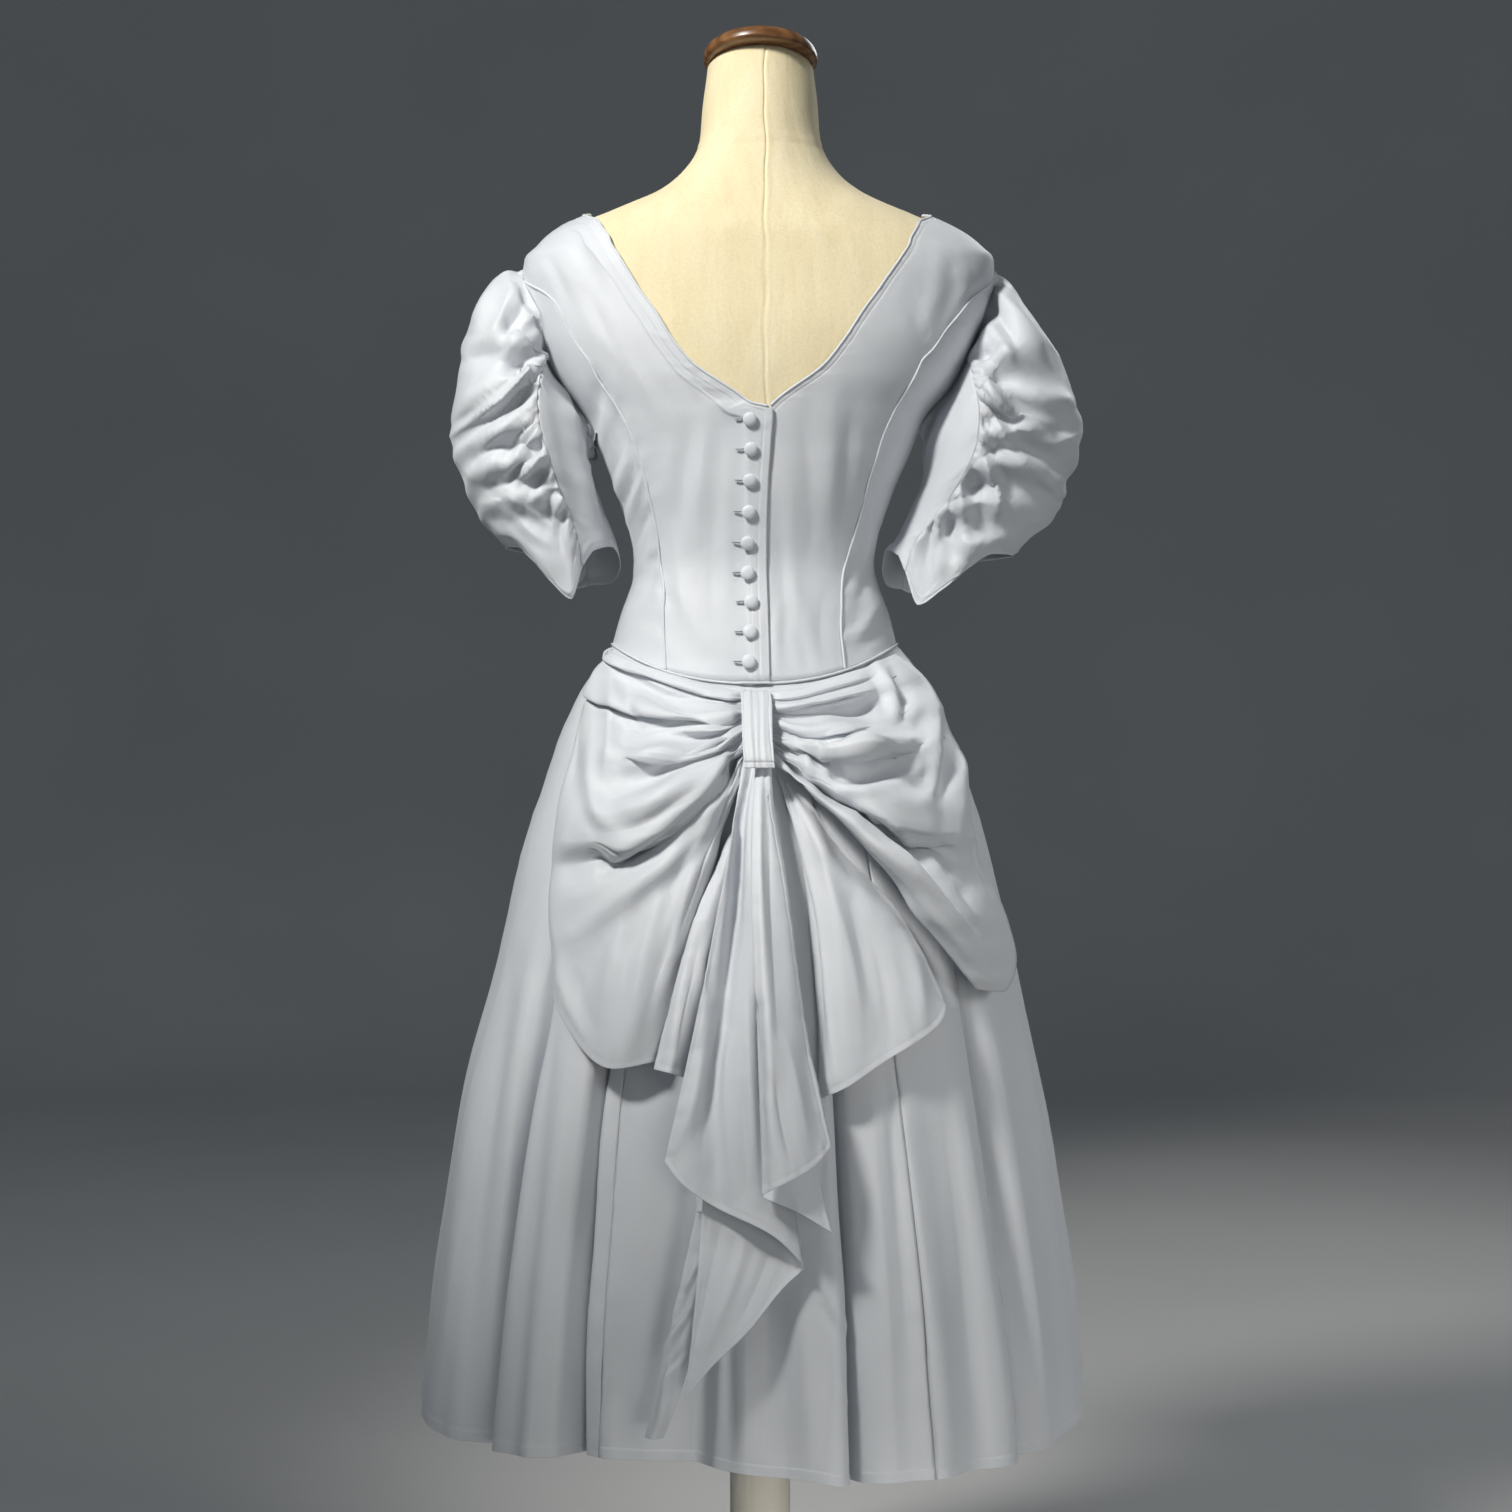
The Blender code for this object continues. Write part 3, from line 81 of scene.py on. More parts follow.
# torso, outside of the cloth: rings by height
#     up    half   back  front   cx   cy    n   tilt
BODY = [
    (740,   168,   128,   112,  -5,   0,  2.2,   0),
    (850,   158,   122,   108,  -5,   0,  2.2,   0),
    (925,   136,   106,   103,  -5,   0,  2.2,   0),
    (967,   126,    98,   100,  -5,   0,  2.2,   0),
    (991,   120,    94,    97,  -5,   0,  2.2,   0),
    (1031,  107,    89,    92,  -5,   0,  2.2,   0),
    (1058,  110,    92,   100,  -5,   0,  2.2,   0),
    (1099,  123,    99,   117,  -5,   0,  2.2,   0),
    (1135,  138,   103,   134,  -4,   0,  2.2,   0),
    (1166,  151,   106,   136,  -4,   0,  2.3,   0),
    (1200,  177,   108,   124,  -3,   0,  2.3,   0),
    (1235,  194,   106,   104,  -3,   0,  2.4,   0),
    (1270,  206,    99,    88,  -3,   0,  2.4,   0),
    (1292,  211,    94,    79,  -2,   0,  2.4,   0),
    (1309,  210,    90,    74,  -1,   0,  2.3,   0),
    (1319,  201,    88,    71,  -1,   0,  2.2,   0),
    (1328,  192,    86,    69,  -2,   0,  2.1,   0),
    (1337,  179,    83,    67,  -3,   1,  2.0,   0),
    (1349,  151,    78,    64,  -3,   2,  2.0,   0),
    (1358,  130,    75,    62,  -3,   2,  2.0,   0),
    (1364,  112,    73,    61,  -2,   3,  2.0,   0),
    (1375,   89,    69,    60,  -1,   4,  2.0,   1),
    (1390,   72,    64,    59,   0,   6,  2.0,   4),
    (1405,   62,    60,    57,   0,   8,  2.0,   7),
    (1420,  57.5,   57,    56,   0,  10,  2.0,  10),
    (1450,  55.5,   54,    54,   0,  17,  2.0,  14),
    (1486,  51.5,   51,    51,   0,  25,  2.0,  14.5),
    (1500,  51,     51,    51,   0,  28,  2.0,  14.5),
]
# skirt: rings by height, without its folds
#     up    half   back  front   cx
SKIRT = [
    (270,   298,   286,   252,  -5),
    (300,   297,   283,   250,  -5),
    (340,   293,   280,   246,  -5),
    (400,   287,   272,   240,  -5),
    (460,   278,   262,   232,  -5),
    (560,   261,   244,   216,  -5),
    (640,   243,   226,   200,  -4),
    (720,   224,   204,   184,  -3),
    (800,   203,   180,   164,  -4),
    (840,   190,   165,   152,  -4),
    (880,   177,   142,   134,  -4),
    (905,   166,   122,   120,  -4),
    (926,   155,   106,   112,  -5),
    (944,   144,   101,   103,  -5),
    (966,   127,    98,   100,  -5),
]
# folds of the skirt, one row for each crest, valley or seam
#  name       turn at waist, turn at hem, out at hem, hem rise
FOLDS = [
    ("front",    -180, -180,   8,  0), ("slope", -172, -172,   2,  0), ("valley", -166, -166, -26,  0),
    ("slope",    -160, -160,   4,  0), ("SEAM",  -152, -152,   8,  0), ("crest",  -144, -144,  10,  0),
    ("slope",    -137, -137,  -8,  0), ("valley", -133, -133, -34, 0), ("slope",  -128, -128,  -2,  0),
    ("crest",    -120, -120,   9,  6), ("crest", -110, -110,  10, 14), ("slope",  -103, -103,   2, 20),
    ("valley",    -98,  -98, -24, 23), ("SEAM",   -90,  -90,  -2, 26), ("crest",   -80,  -80,   3, 24),
    ("crest",     -67,  -67,  10, 15), ("slope",  -56,  -57,   9, 10), ("slope",   -51,  -52, -10,  9),
    ("valley",    -48.5, -49.2, -44, 9), ("slope", -46, -46.6,  -6, 10), ("crest", -43,  -44,   12, 11),
    ("crest",     -37,  -38,  14, 12), ("slope",  -32.5, -33.2, 4, 13), ("valley", -31, -31.6, -54, 14),
    ("slope",     -29,  -30, -22, 14), ("SEAM",   -26,  -27, -19, 14), ("hollow",  -19, -20,  -24, 14),
    ("valley",    -11,  -11, -38, 13), ("slope",   -6,   -5, -24, 10), ("slope",     1,   1,  -14,  7),
    ("crest",       8,    9,   2,  4), ("crest",   12,   13,   8,  0), ("slope",  13.5,  14.6,   2,  0),
    ("valley",   14.8,   16, -46,  0), ("slope",   16.2, 17.4, -2,  0), ("crest",   20,  21,   11,  0),
    ("SEAM",       26,   28,  15,  0), ("slope",   33,   35,   6,  0), ("crest",    41,  43,   12,  0),
    ("slope",    44.5, 46.4,   4,  0), ("valley",  46.5, 48.4, -42, 0), ("slope",   49,  51,  -12,  0),
    ("slope",      56,   57,   0,  4), ("crest",   68,   68,   5, 13), ("crest",    80,  80,   -3, 24),
    ("SEAM",       90,   90,  -9, 27), ("valley",  99,   99, -26, 24), ("slope",   105, 105,    1, 20),
    ("crest",     113,  113,  10, 13), ("crest",  123,  123,   9,  6), ("slope",   130, 130,   -6,  0),
    ("valley",    134,  134, -34,  0), ("slope",  139,  139,  -6,  0), ("crest",   146, 146,   10,  0),
    ("SEAM",      152,  152,   8,  0), ("slope",  160,  160,   4,  0), ("valley",  166, 166,  -24,  0),
    ("slope",     172,  172,   0,  0), ("front",  180,  180,   8,  0),
]
# back princess seams, from the waist up      up, left across, right across
PRINCESS = [
    (943, -84, 76), (968, -86, 73), (1004, -86, 73), (1045, -90, 79), (1081, -95, 90), (1117, -104, 99),
    (1151, -115, 110), (1184, -132, 126), (1202, -144, 137), (1219, -153, 145), (1231, -162, 156),
    (1246, -171, 166), (1258, -176, 176), (1272, -184, 187), (1282, -195, 198), (1291, -211, 208),
]
# back neckline, from the lap up               up, left across, right across
NECK = [
    (1172, 1, 3), (1182, -8, 12), (1192, -22, 24), (1201, -36, 37), (1210, -50, 50), (1220, -63, 61),
    (1241, -80, 77), (1264, -94, 92), (1283, -108, 106), (1306, -122, 122), (1328, -135, 135),
    (1339, -142, 141), (1346, -146.5, 145), (1350, -149, 147),
]
# front neckline, a plain scoop                up, half
NECK_FRONT = [(1350, 149), (1346, 146), (1339, 141), (1326, 131), (1302, 115), (1282, 98), (1264, 76), (1254, 50), (1249, 24), (1248, 0)]
# armholes, from the underarm up               up, left across, right across
ARMHOLE = [
    (1152, -144, 143), (1162, -155, 151), (1175, -165, 160), (1189, -174, 169), (1204, -184, 180), (1220, -190, 187),
    (1234, -193, 194), (1247, -195, 202), (1261, -197, 205), (1272, -202, 207), (1282, -207, 208), (1292, -211, 209),
    (1309, -211, 209),
]
# sleeves: rings from the armhole (0) to the cuff (1)
#    along  outer across, up   inner across, up   seam   half depth
SLEEVE_L = [
    (0.00,   -215,  1303,   -147,  1152,  0.55,  58),
    (0.08,   -227,  1306,   -150,  1142,  0.56,  66),
    (0.20,   -250,  1285,   -151,  1128,  0.58,  78),
    (0.35,   -269,  1244,   -148,  1112,  0.62,  86),
    (0.50,   -281,  1192,   -142,  1096,  0.69,  88),
    (0.65,   -284,  1148,   -137,  1081,  0.73,  82),
    (0.78,   -274,  1112,   -133,  1067,  0.75,  74),
    (0.90,   -254,  1075,   -129,  1053,  0.74,  66),
    (1.00,   -229,  1051,   -126,  1040,  0.70,  58),
]
SLEEVE_R = [
    (0.00,    211,  1300,    146,  1149,  0.55,  58),
    (0.08,    221,  1298,    149,  1139,  0.56,  66),
    (0.20,    245,  1268,    149,  1124,  0.58,  78),
    (0.35,    268,  1229,    145,  1106,  0.62,  86),
    (0.50,    289,  1192,    138,  1091,  0.69,  88),
    (0.65,    297,  1154,    131,  1076,  0.77,  82),
    (0.78,    286,  1114,    124,  1062,  0.83,  74),
    (0.90,    265,  1075,    117,  1049,  0.88,  66),
    (1.00,    227,  1044,    110,  1038,  0.84,  58),
]
# how far the cuff hangs below its plain line: q over the puff from front seam to back seam, drop
HEM_DROP_PUFF = [(-1.0, -22), (-0.90, -26), (-0.70, -14), (-0.40, 0), (0.36, 0), (0.56, -12), (0.74, -30), (0.90, -42), (1.0, -12)]
# q over the under sleeve from back seam to front seam, drop
HEM_DROP_UNDER = [(0.0, -12), (0.10, 4), (0.30, 10), (0.50, -4), (0.80, -20), (1.0, -22)]
# gathers of the puffs: each starts on the sleeve seam and runs down and out round the puff
#    name     along at seam, along at outside, out near seam, out at outside
GATHERS = [
    ("armhole",  0.00, 0.00,   0,   0),
    ("roll",     0.02, 0.05,   5,   6),
    ("tuck",     0.05, 0.12,  -4,  -1),
    ("roll",     0.08, 0.24,   8,   5),
    ("tuck",     0.12, 0.36,  -6,  -3),
    ("roll",     0.17, 0.50,   9,   6),
    ("tuck",     0.22, 0.60, -10,  -9),
    ("roll",     0.30, 0.69,   9,   7),
    ("tuck",     0.37, 0.75,  -8,  -4),
    ("roll",     0.45, 0.80,   8,   4),
    ("tuck",     0.53, 0.84,  -7,  -4),
    ("roll",     0.62, 0.88,   7,   4),
    ("tuck",     0.71, 0.91,  -7,  -3),
    ("roll",     0.81, 0.94,   5,   2),
    ("tuck",     0.91, 0.97,  -3,  -2),
    ("hem",      1.00, 1.00,   0,   0),
]


# bustle: each row is one fold line, from the strap or top, through its middle, to its outer edge;
# lift is how far it stands off the skirt
SWAG_LEFT = [
    # fold        at the strap      half way          at the edge
    # name        across up  lift   across up  lift   across up  lift
    ("waist",       -13,  924,   6,    -72,  938,   4,   -132,  963,   4),
    ("tuck",        -13,  917,   9,    -72,  927,  13,   -142,  955,  10),
    ("crease",      -13,  909,   5,    -72,  915,   8,   -153,  942,  12),
    ("roll",        -13,  901,  10,    -72,  899,  27,   -162,  923,  18),
    ("crease",      -13,  894,   5,    -76,  882,  16,   -169,  905,  20),
    ("roll",        -13,  887,  10,    -83,  863,  42,   -176,  877,  24),
    ("hollow",      -13,  881,   8,    -94,  848,  37,   -183,  850,  25),
    ("bag",         -13,  877,  10,    -97,  823,  60,   -191,  817,  28),
    ("bag",         -13,  873,  10,    -97,  803,  52,   -195,  790,  28),
    ("underfold",   -14,  869,   3,    -96,  787,  18,   -198,  763,  24),
    ("ridge",       -16,  864,   9,    -94,  769,  40,   -201,  732,  26),
    ("sweep",       -17,  860,   7,    -83,  745,  33,   -194,  670,  24),
    ("sweep",       -17,  858,   7,    -74,  730,  34,   -169,  612,  24),
    ("sweep",       -17,  855,   6,    -65,  719,  30,   -135,  582,  24),
    ("edge",        -18,  852,   3,    -55,  715,   8,    -94,  589,  12),
]
SWAG_RIGHT = [
    # fold        at the strap      half way          at the edge
    # name        across up  lift   across up  lift   across up  lift
    ("waist",         7,  924,   6,     65,  937,   4,    122,  956,   4),
    ("tuck",          7,  917,   9,     59,  923,  13,    131,  948,  10),
    ("roll",          7,  909,   9,     61,  912,  22,    141,  939,  14),
    ("crease",        7,  901,   5,     65,  899,  13,    150,  929,  17),
    ("roll",          7,  894,   9,     70,  887,  32,    160,  914,  22),
    ("crease",        7,  887,   6,     74,  876,  28,    168,  900,  24),
    ("roll",          7,  882,   9,     88,  868,  52,    176,  881,  27),
    ("hollow",        7,  878,   7,     95,  851,  38,    182,  853,  30),
    ("bag",           7,  876,  10,    108,  830,  58,    189,  817,  34),
    ("bag",           7,  873,   8,    108,  812,  52,    194,  792,  34),
    ("slit",          8,  870,   4,    108,  798,  16,    201,  765,  28),
    ("ridge",         9,  868,  12,    112,  789,  48,    219,  727,  32),
    ("tongue",       10,  865,  18,    112,  779,  60,    231,  682,  38),
    ("tongue",       10,  862,  20,    108,  770,  56,    220,  651,  38),
    ("edge",         11,  860,  18,    101,  767,  38,    194,  654,  32),
]
FALL_RIGHT = [
    # fold        at the strap      half way          at the edge
    # name        across up  lift   across up  lift   across up  lift
    ("edge",         15,  846,   3,     37,  725,   8,     54,  556,  12),
    ("flute",        17,  845,   5,     48,  725,  24,     77,  564,  30),
    ("hollow",       21,  843,   6,     65,  725,  20,    108,  587,  24),
    ("flute",        25,  842,   6,     84,  725,  24,    142,  607,  30),
    ("flute",        30,  839,   5,    103,  727,  22,    164,  625,  28),
    ("edge",         34,  835,   3,    120,  731,  14,    167,  639,  18),
]
TAIL_SECOND = [
    # fold        at the strap      half way          at the edge
    # name        across up  lift   across up  lift   across up  lift
    ("edge",        -26,  793,   6,    -65,  689,  20,    -95,  582,  26),
    ("flute",       -23,  793,   9,    -54,  689,  27,    -83,  579,  34),
    ("hollow",      -19,  793,   6,    -40,  689,  14,    -65,  574,  16),
    ("edge",        -15,  793,   4,    -34,  689,   8,    -56,  573,  10),
]
TAIL_LEFT = [
    # fold        at the strap      half way          at the edge
    # name        across up  lift   across up  lift   across up  lift
    ("edge",        -14,  863,  12,    -47,  679,  34,    -86,  499,  40),
    ("flute",       -11,  863,  12,    -39,  677,  30,    -70,  478,  40),
    ("hollow",       -7,  863,   9,    -27,  675,  17,    -41,  458,  26),
    ("flute",        -4,  863,  12,    -14,  673,  32,    -15,  446,  36),
    ("flute",         0,  863,  13,     -4,  671,  34,     14,  431,  34),
    ("edge",          4,  863,  10,      7,  670,  20,     39,  405,  24),
]
TAIL_RIGHT = [
    # fold        at the strap      half way          at the edge
    # name        across up  lift   across up  lift   across up  lift
    ("edge",         -4,  863,  22,     -3,  676,  48,      2,  469,  60),
    ("flute",         0,  863,  25,      5,  676,  56,     20,  478,  68),
    ("flute",         4,  863,  24,     14,  679,  48,     39,  488,  60),
    ("hollow",        6,  863,  27,     22,  682,  40,     54,  500,  50),
    ("edge",          8,  863,  26,     30,  689,  30,     64,  513,  40),
]
TAIL_MIDDLE = [
    # fold        at the strap      half way          at the edge
    # name        across up  lift   across up  lift   across up  lift
    ("edge",          4,  509,  38,      3,  486,  42,      3,  466,  46),
    ("flute",        22,  518,  34,     23,  484,  42,     32,  454,  48),
    ("edge",         43,  531,  30,     52,  484,  36,     64,  435,  42),
]
TAIL_END = [
    # fold        at the strap      half way          at the edge
    # name        across up  lift   across up  lift   across up  lift
    ("edge",        -51,  477,  14,    -58,  379,  24,    -68,  285,  34),
    ("fold",        -29,  464,  10,    -34,  382,  20,    -43,  315,  26),
    ("fold",         -5,  454,  10,     -7,  388,  16,    -11,  345,  22),
    ("fold",         16,  442,  10,     18,  401,  14,     18,  382,  18),
    ("edge",         32,  430,  12,     37,  412,  14,     40,  403,  16),
]
TAIL_STRIP = [
    # fold        at the strap      half way          at the edge
    # name        across up  lift   across up  lift   across up  lift
    ("edge",        -57,  454,   3,    -79,  355,   8,   -103,  251,  16),
    ("fold",        -50,  454,   4,    -68,  347,  12,    -97,  249,  20),
    ("edge",        -45,  454,   2,    -58,  343,   9,    -87,  251,  14),
]




def pchip(xs, ys, x):
    """Smooth curve through table rows, with no overshoot."""
    xs, ys = np.asarray(xs, float), np.asarray(ys, float)
    x = np.clip(x, xs[0], xs[-1])
    h = np.diff(xs)
    d = np.diff(ys) / h
    m = np.zeros_like(ys)
    m[0], m[-1] = d[0], d[-1]
    same = d[:-1] * d[1:] > 0
    m[1:-1] = np.where(same, 2 * d[:-1] * d[1:] / np.where(same, d[:-1] + d[1:], 1.0), 0.0)
    i = np.clip(np.searchsorted(xs, x, side="right") - 1, 0, len(xs) - 2)
    t = (x - xs[i]) / h[i]
    return ((1 + 2 * t) * (1 - t) ** 2 * ys[i] + t * (1 - t) ** 2 * h[i] * m[i]
            + t * t * (3 - 2 * t) * ys[i + 1] + t * t * (t - 1) * h[i] * m[i + 1])


def step(x):
    x = np.clip(x, 0.0, 1.0)
    return x * x * (3 - 2 * x)


def unit(v):
    return v / np.maximum(np.linalg.norm(v, axis=-1, keepdims=True), 1e-12)


def column(table, i, scale=1.0):
    return np.array([row[i] for row in table], float) * scale


BODY_UP = column(BODY, 0, MM)
BODY_COLS = [column(BODY, i, MM) for i in range(1, 6)] + [column(BODY, 6), np.radians(column(BODY, 7))]
SKIRT_UP = column(SKIRT, 0, MM)
SKIRT_COLS = [column(SKIRT, i, MM) for i in range(1, 5)]


def body_ring(turn, up):
    half, back, front, cx, cy, n, tilt = (pchip(BODY_UP, c, up) for c in BODY_COLS)
    s, c = np.sin(turn), np.cos(turn)
    x = cx + half * np.sign(s) * np.abs(s) ** (2 / n)
    y = -np.where(c > 0, back, front) * np.sign(c) * np.abs(c) ** (2 / n)
    return np.stack([x, cy + y, up - y * np.tan(tilt)], -1)


def body(turn, up, out=0.0):
    """Point and outward normal of the torso surface; turn 0 is the centre back."""
    turn, up = np.broadcast_arrays(np.asarray(turn, float), np.asarray(up, float))
    e = 2e-3
    du = body_ring(turn + e, up) - body_ring(turn - e, up)
    dv = body_ring(turn, up + e) - body_ring(turn, up - e)
    n = unit(np.cross(du, dv))
    return body_ring(turn, up) + n * out, n


def body_turn(x, up):
    half, _, _, cx, _, n, _ = (pchip(BODY_UP, c, up) for c in BODY_COLS)
    s = np.clip((x - cx) / half, -1, 1)
    return np.arcsin(np.sign(s) * np.abs(s) ** (n / 2))


def seen(across, up, y):
    """Move an elevation point on the plane y = 0 along its line of sight to depth y."""
    k = (VIEW_D + y) / VIEW_D
    return VIEW_X + (across - VIEW_X) * k, VIEW_Z + (up - VIEW_Z) * k


def on_back(across, up):
    """Turn and height where an elevation point meets the torso's back."""
    y = np.zeros_like(across)
    for _ in range(8):
        x, z = seen(across, up, y)
        y = body_ring(body_turn(x, z), z)[..., 1]
    return body_turn(x, z), z


def path(points, turns=None):
    """Curve through rows of (turn, up), by the distance run."""
    points = np.asarray(points, float)
    run = np.concatenate([[0], np.cumsum(np.linalg.norm(np.diff(points * [0.12, 1.0], axis=0), axis=1))])
    run /= run[-1]
    return lambda t: np.stack([pchip(run, points[:, 0], t), pchip(run, points[:, 1], t)], -1)


def coons(bottom, top, left, right, s, t):
    """Grid of (turn, up) inside four edge curves."""
    S, T = np.meshgrid(s, t)
    b, u, l, r = bottom(s)[None], top(s)[None], left(t)[:, None], right(t)[:, None]
    S, T = S[..., None], T[..., None]
    c00, c10, c01, c11 = bottom(0.0), bottom(1.0), top(0.0), top(1.0)
    return ((1 - T) * b + T * u + (1 - S) * l + S * r
            - ((1 - S) * (1 - T) * c00 + S * (1 - T) * c10 + (1 - S) * T * c01 + S * T * c11))


def waist(turn):
    c = np.cos(turn)
    low = np.where(c > 0, WAIST_BACK, WAIST_FRONT)
    return WAIST_SIDE - (WAIST_SIDE - low) * c * c


def skirt_ring(turn, up):
    half, back, front, cx = (pchip(SKIRT_UP, c, up) for c in SKIRT_COLS)
    s, c = np.sin(turn), np.cos(turn)
    return np.stack([cx + half * s, -np.where(c > 0, back, front) * c, up + 0 * s], -1)


def skirt_base(turn, w, rise=0.0):
    """Smooth skirt; w runs from the waist seam (0) to the hem (1)."""
    top = waist(turn)
    up = top + (HEM_Z + rise - top) * w
    fade = np.clip(1 - w / 0.22, 0, 1) ** 2
    p = skirt_ring(turn, up)
    gap = body_ring(turn, top) - skirt_ring(turn, top)
    gap[..., 2] = 0
    return p + gap * fade[..., None]


FOLD_W, FOLD_H = np.radians(column(FOLDS, 1)), np.radians(column(FOLDS, 2))
FOLD_OUT, FOLD_RISE = column(FOLDS, 3, MM), column(FOLDS, 4, MM)


def skirt(row, w, out=0.0, deep=1.0):
    """Skirt with its folds; row counts along the fold table and may fall between rows."""
    row, w = np.broadcast_arrays(np.asarray(row, float), np.asarray(w, float))
    k = np.arange(len(FOLDS))
    turn = pchip(k, FOLD_W, row) * (1 - w) + pchip(k, FOLD_H, row) * w
    rise = pchip(k, FOLD_RISE, row)
    push = pchip(k, FOLD_OUT, row) * deep * w ** 1.25
    e = 3e-3
    p = skirt_base(turn, w, rise)
    du = skirt_base(turn + e, w, rise) - skirt_base(turn - e, w, rise)
    dv = skirt_base(turn, np.minimum(w + e, 1.2), rise) - skirt_base(turn, w - e, rise)
    n = unit(np.cross(dv, du))
    return p + n * (push + out)[..., None], n


def skirt_back(x, up):
    """Depth y of the smooth skirt's back at (x, up)."""
    half, back, _, cx = (pchip(SKIRT_UP, c, up) for c in SKIRT_COLS)
    s = np.clip((x - cx) / (half * 1.015), -1, 1)
    y = -back * np.sqrt(1 - s * s)
    yb = body_ring(body_turn(x, np.maximum(up, 0.9)), np.maximum(up, 0.9))[..., 1]
    near = step((up - 0.875) / 0.05)
    return np.minimum(y, y * (1 - near) + yb * near) * (1 - near) + np.minimum(y, yb) * near


def fan(rows, s, k):
    """Cloth through fold lines. s runs out along the folds, k counts the rows."""
    cols = [column(rows, i, MM) for i in range(1, 10)]
    idx = np.arange(len(rows))
    S, K = np.meshgrid(s, k)
    a = [pchip(idx, c, K) for c in cols]
    q0, q1, q2 = 2 * (S - 0.5) * (S - 1), 4 * S * (1 - S), 2 * S * (S - 0.5)
    across, up, lift = (a[i] * q0 + a[i + 3] * q1 + a[i + 6] * q2 for i in range(3))
    lift = np.maximum(lift, np.minimum(a[2], a[8]) * 0.6)
    y = np.zeros_like(across)
    for _ in range(10):
        x, z = seen(across, up, y)
        z = np.minimum(z, waist(body_turn(x, 0.94)) - 3.6 * MM)
        y = skirt_back(x, z) - lift
    return np.stack([x, y, z], -1)


def grid_normals(p, flip=False):
    du, dv = np.gradient(p, axis=1), np.gradient(p, axis=0)
    n = unit(np.cross(du, dv))
    return -n if flip else n


def sleeve_ring(table, side, theta, along):
    t = column(table, 0)
    ox, oz, ix, iz = (pchip(t, column(table, i, MM), along) for i in (1, 2, 3, 4))
    d = pchip(t, column(table, 6, MM), along)
    c, s = np.cos(theta), np.sin(theta)
    p = np.stack([(ox + ix) / 2 + (ox - ix) / 2 * c, 0.004 - d * s, (oz + iz) / 2 + (oz - iz) / 2 * c], -1)
    # the first ring is the armhole itself
    a0 = np.zeros_like(along)
    q = np.stack([pchip(t, column(table, i, MM), a0) for i in (1, 2, 3, 4, 6)], 0)
    ring0 = np.stack([(q[0] + q[2]) / 2 + (q[0] - q[2]) / 2 * c, 0.004 - q[4] * s, (q[1] + q[3]) / 2 + (q[1] - q[3]) / 2 * c], -1)
    fade = (np.clip(1 - along / 0.22, 0, 1) ** 1.6)[..., None]
    p = p + (armhole_loop(side, theta) - ring0) * fade
    # stay clear of the bodice
    half, back, front, cx, cy, n, _ = (pchip(BODY_UP, col, p[..., 2]) for col in BODY_COLS)
    y = p[..., 1] - cy
    inside = np.clip(1 - np.abs(y / np.where(y < 0, back, front)) ** n, 0, 1) ** (1 / n)
    least = side * cx + half * inside + (3.6 + 3.6 * step(along / 0.06)) * MM
    least = np.where(inside > 0, least, 0)
    p[..., 0] = side * np.maximum(side * p[..., 0], least)
    return p


def armhole_loop(side, theta):
    a = 1 - np.abs(((theta + np.pi) % (2 * np.pi)) - np.pi) / np.pi      # 1 at the shoulder, 0 underarm
    rows = column(ARMHOLE, 0, MM), column(ARMHOLE, 1 if side < 0 else 2, MM)
    run = np.concatenate([[0], np.cumsum(np.hypot(np.diff(rows[0]), np.diff(rows[1])))])
    up, across = pchip(run / run[-1], rows[0], a), pchip(run / run[-1], rows[1], a)
    turn, z = on_back(across, up)
    back = np.sin(theta) >= 0
    turn = np.where(back, turn, side * np.pi - turn)
    p, _ = body(turn, z)
    low = (1 - a)[..., None]
    return p + np.array([side * 3.4 * MM, 0, 0]) + low * np.array([side * 0.6 * MM, 0, 1.2 * MM])


def seam_angle(table, along):
    return np.arccos(1 - 2 * pchip(column(table, 0), column(table, 5), along))


def sleeve_point(table, side, theta, along):
    """Point and outward normal of the smooth sleeve."""
    e, f = 4e-3, 2e-3
    lo, hi = np.maximum(along - f, 0), np.minimum(along + f, 1)
    du = sleeve_ring(table, side, theta + e, along) - sleeve_ring(table, side, theta - e, along)
    dv = sleeve_ring(table, side, theta, hi) - sleeve_ring(table, side, theta, lo)
    n = unit(np.cross(du, dv)) * -side
    return sleeve_ring(table, side, theta, along), n


def puff(table, side, q, row, out=0.0, extra=0.0):
    """q runs over the puff from the front seam (-1) to the back seam (1); row counts along the gathers."""
    q, row = np.broadcast_arrays(np.asarray(q, float), np.asarray(row, float))
    k = np.arange(len(GATHERS))
    h = 1 - np.abs(q) ** 1.4
    along = pchip(k, column(GATHERS, 1), row) * (1 - h) + pchip(k, column(GATHERS, 2), row) * h
    theta = q * seam_angle(table, along)
    p, n = sleeve_point(table, side, theta, along)
    push = pchip(k, column(GATHERS, 3, MM), row) * (1 - h) + pchip(k, column(GATHERS, 4, MM), row) * h
    edge = step((1 - np.abs(q)) / 0.14)
    ends = np.sin(np.pi * np.clip(along, 0, 1)) ** 0.5
    droop = pchip(column(HEM_DROP_PUFF, 0), column(HEM_DROP_PUFF, 1, MM), q) * step((along - 0.80) / 0.20)
    p = p + n * ((push + 7 * MM * ends) * edge + out + extra)[..., None]
    p[..., 2] += droop
    return p, n


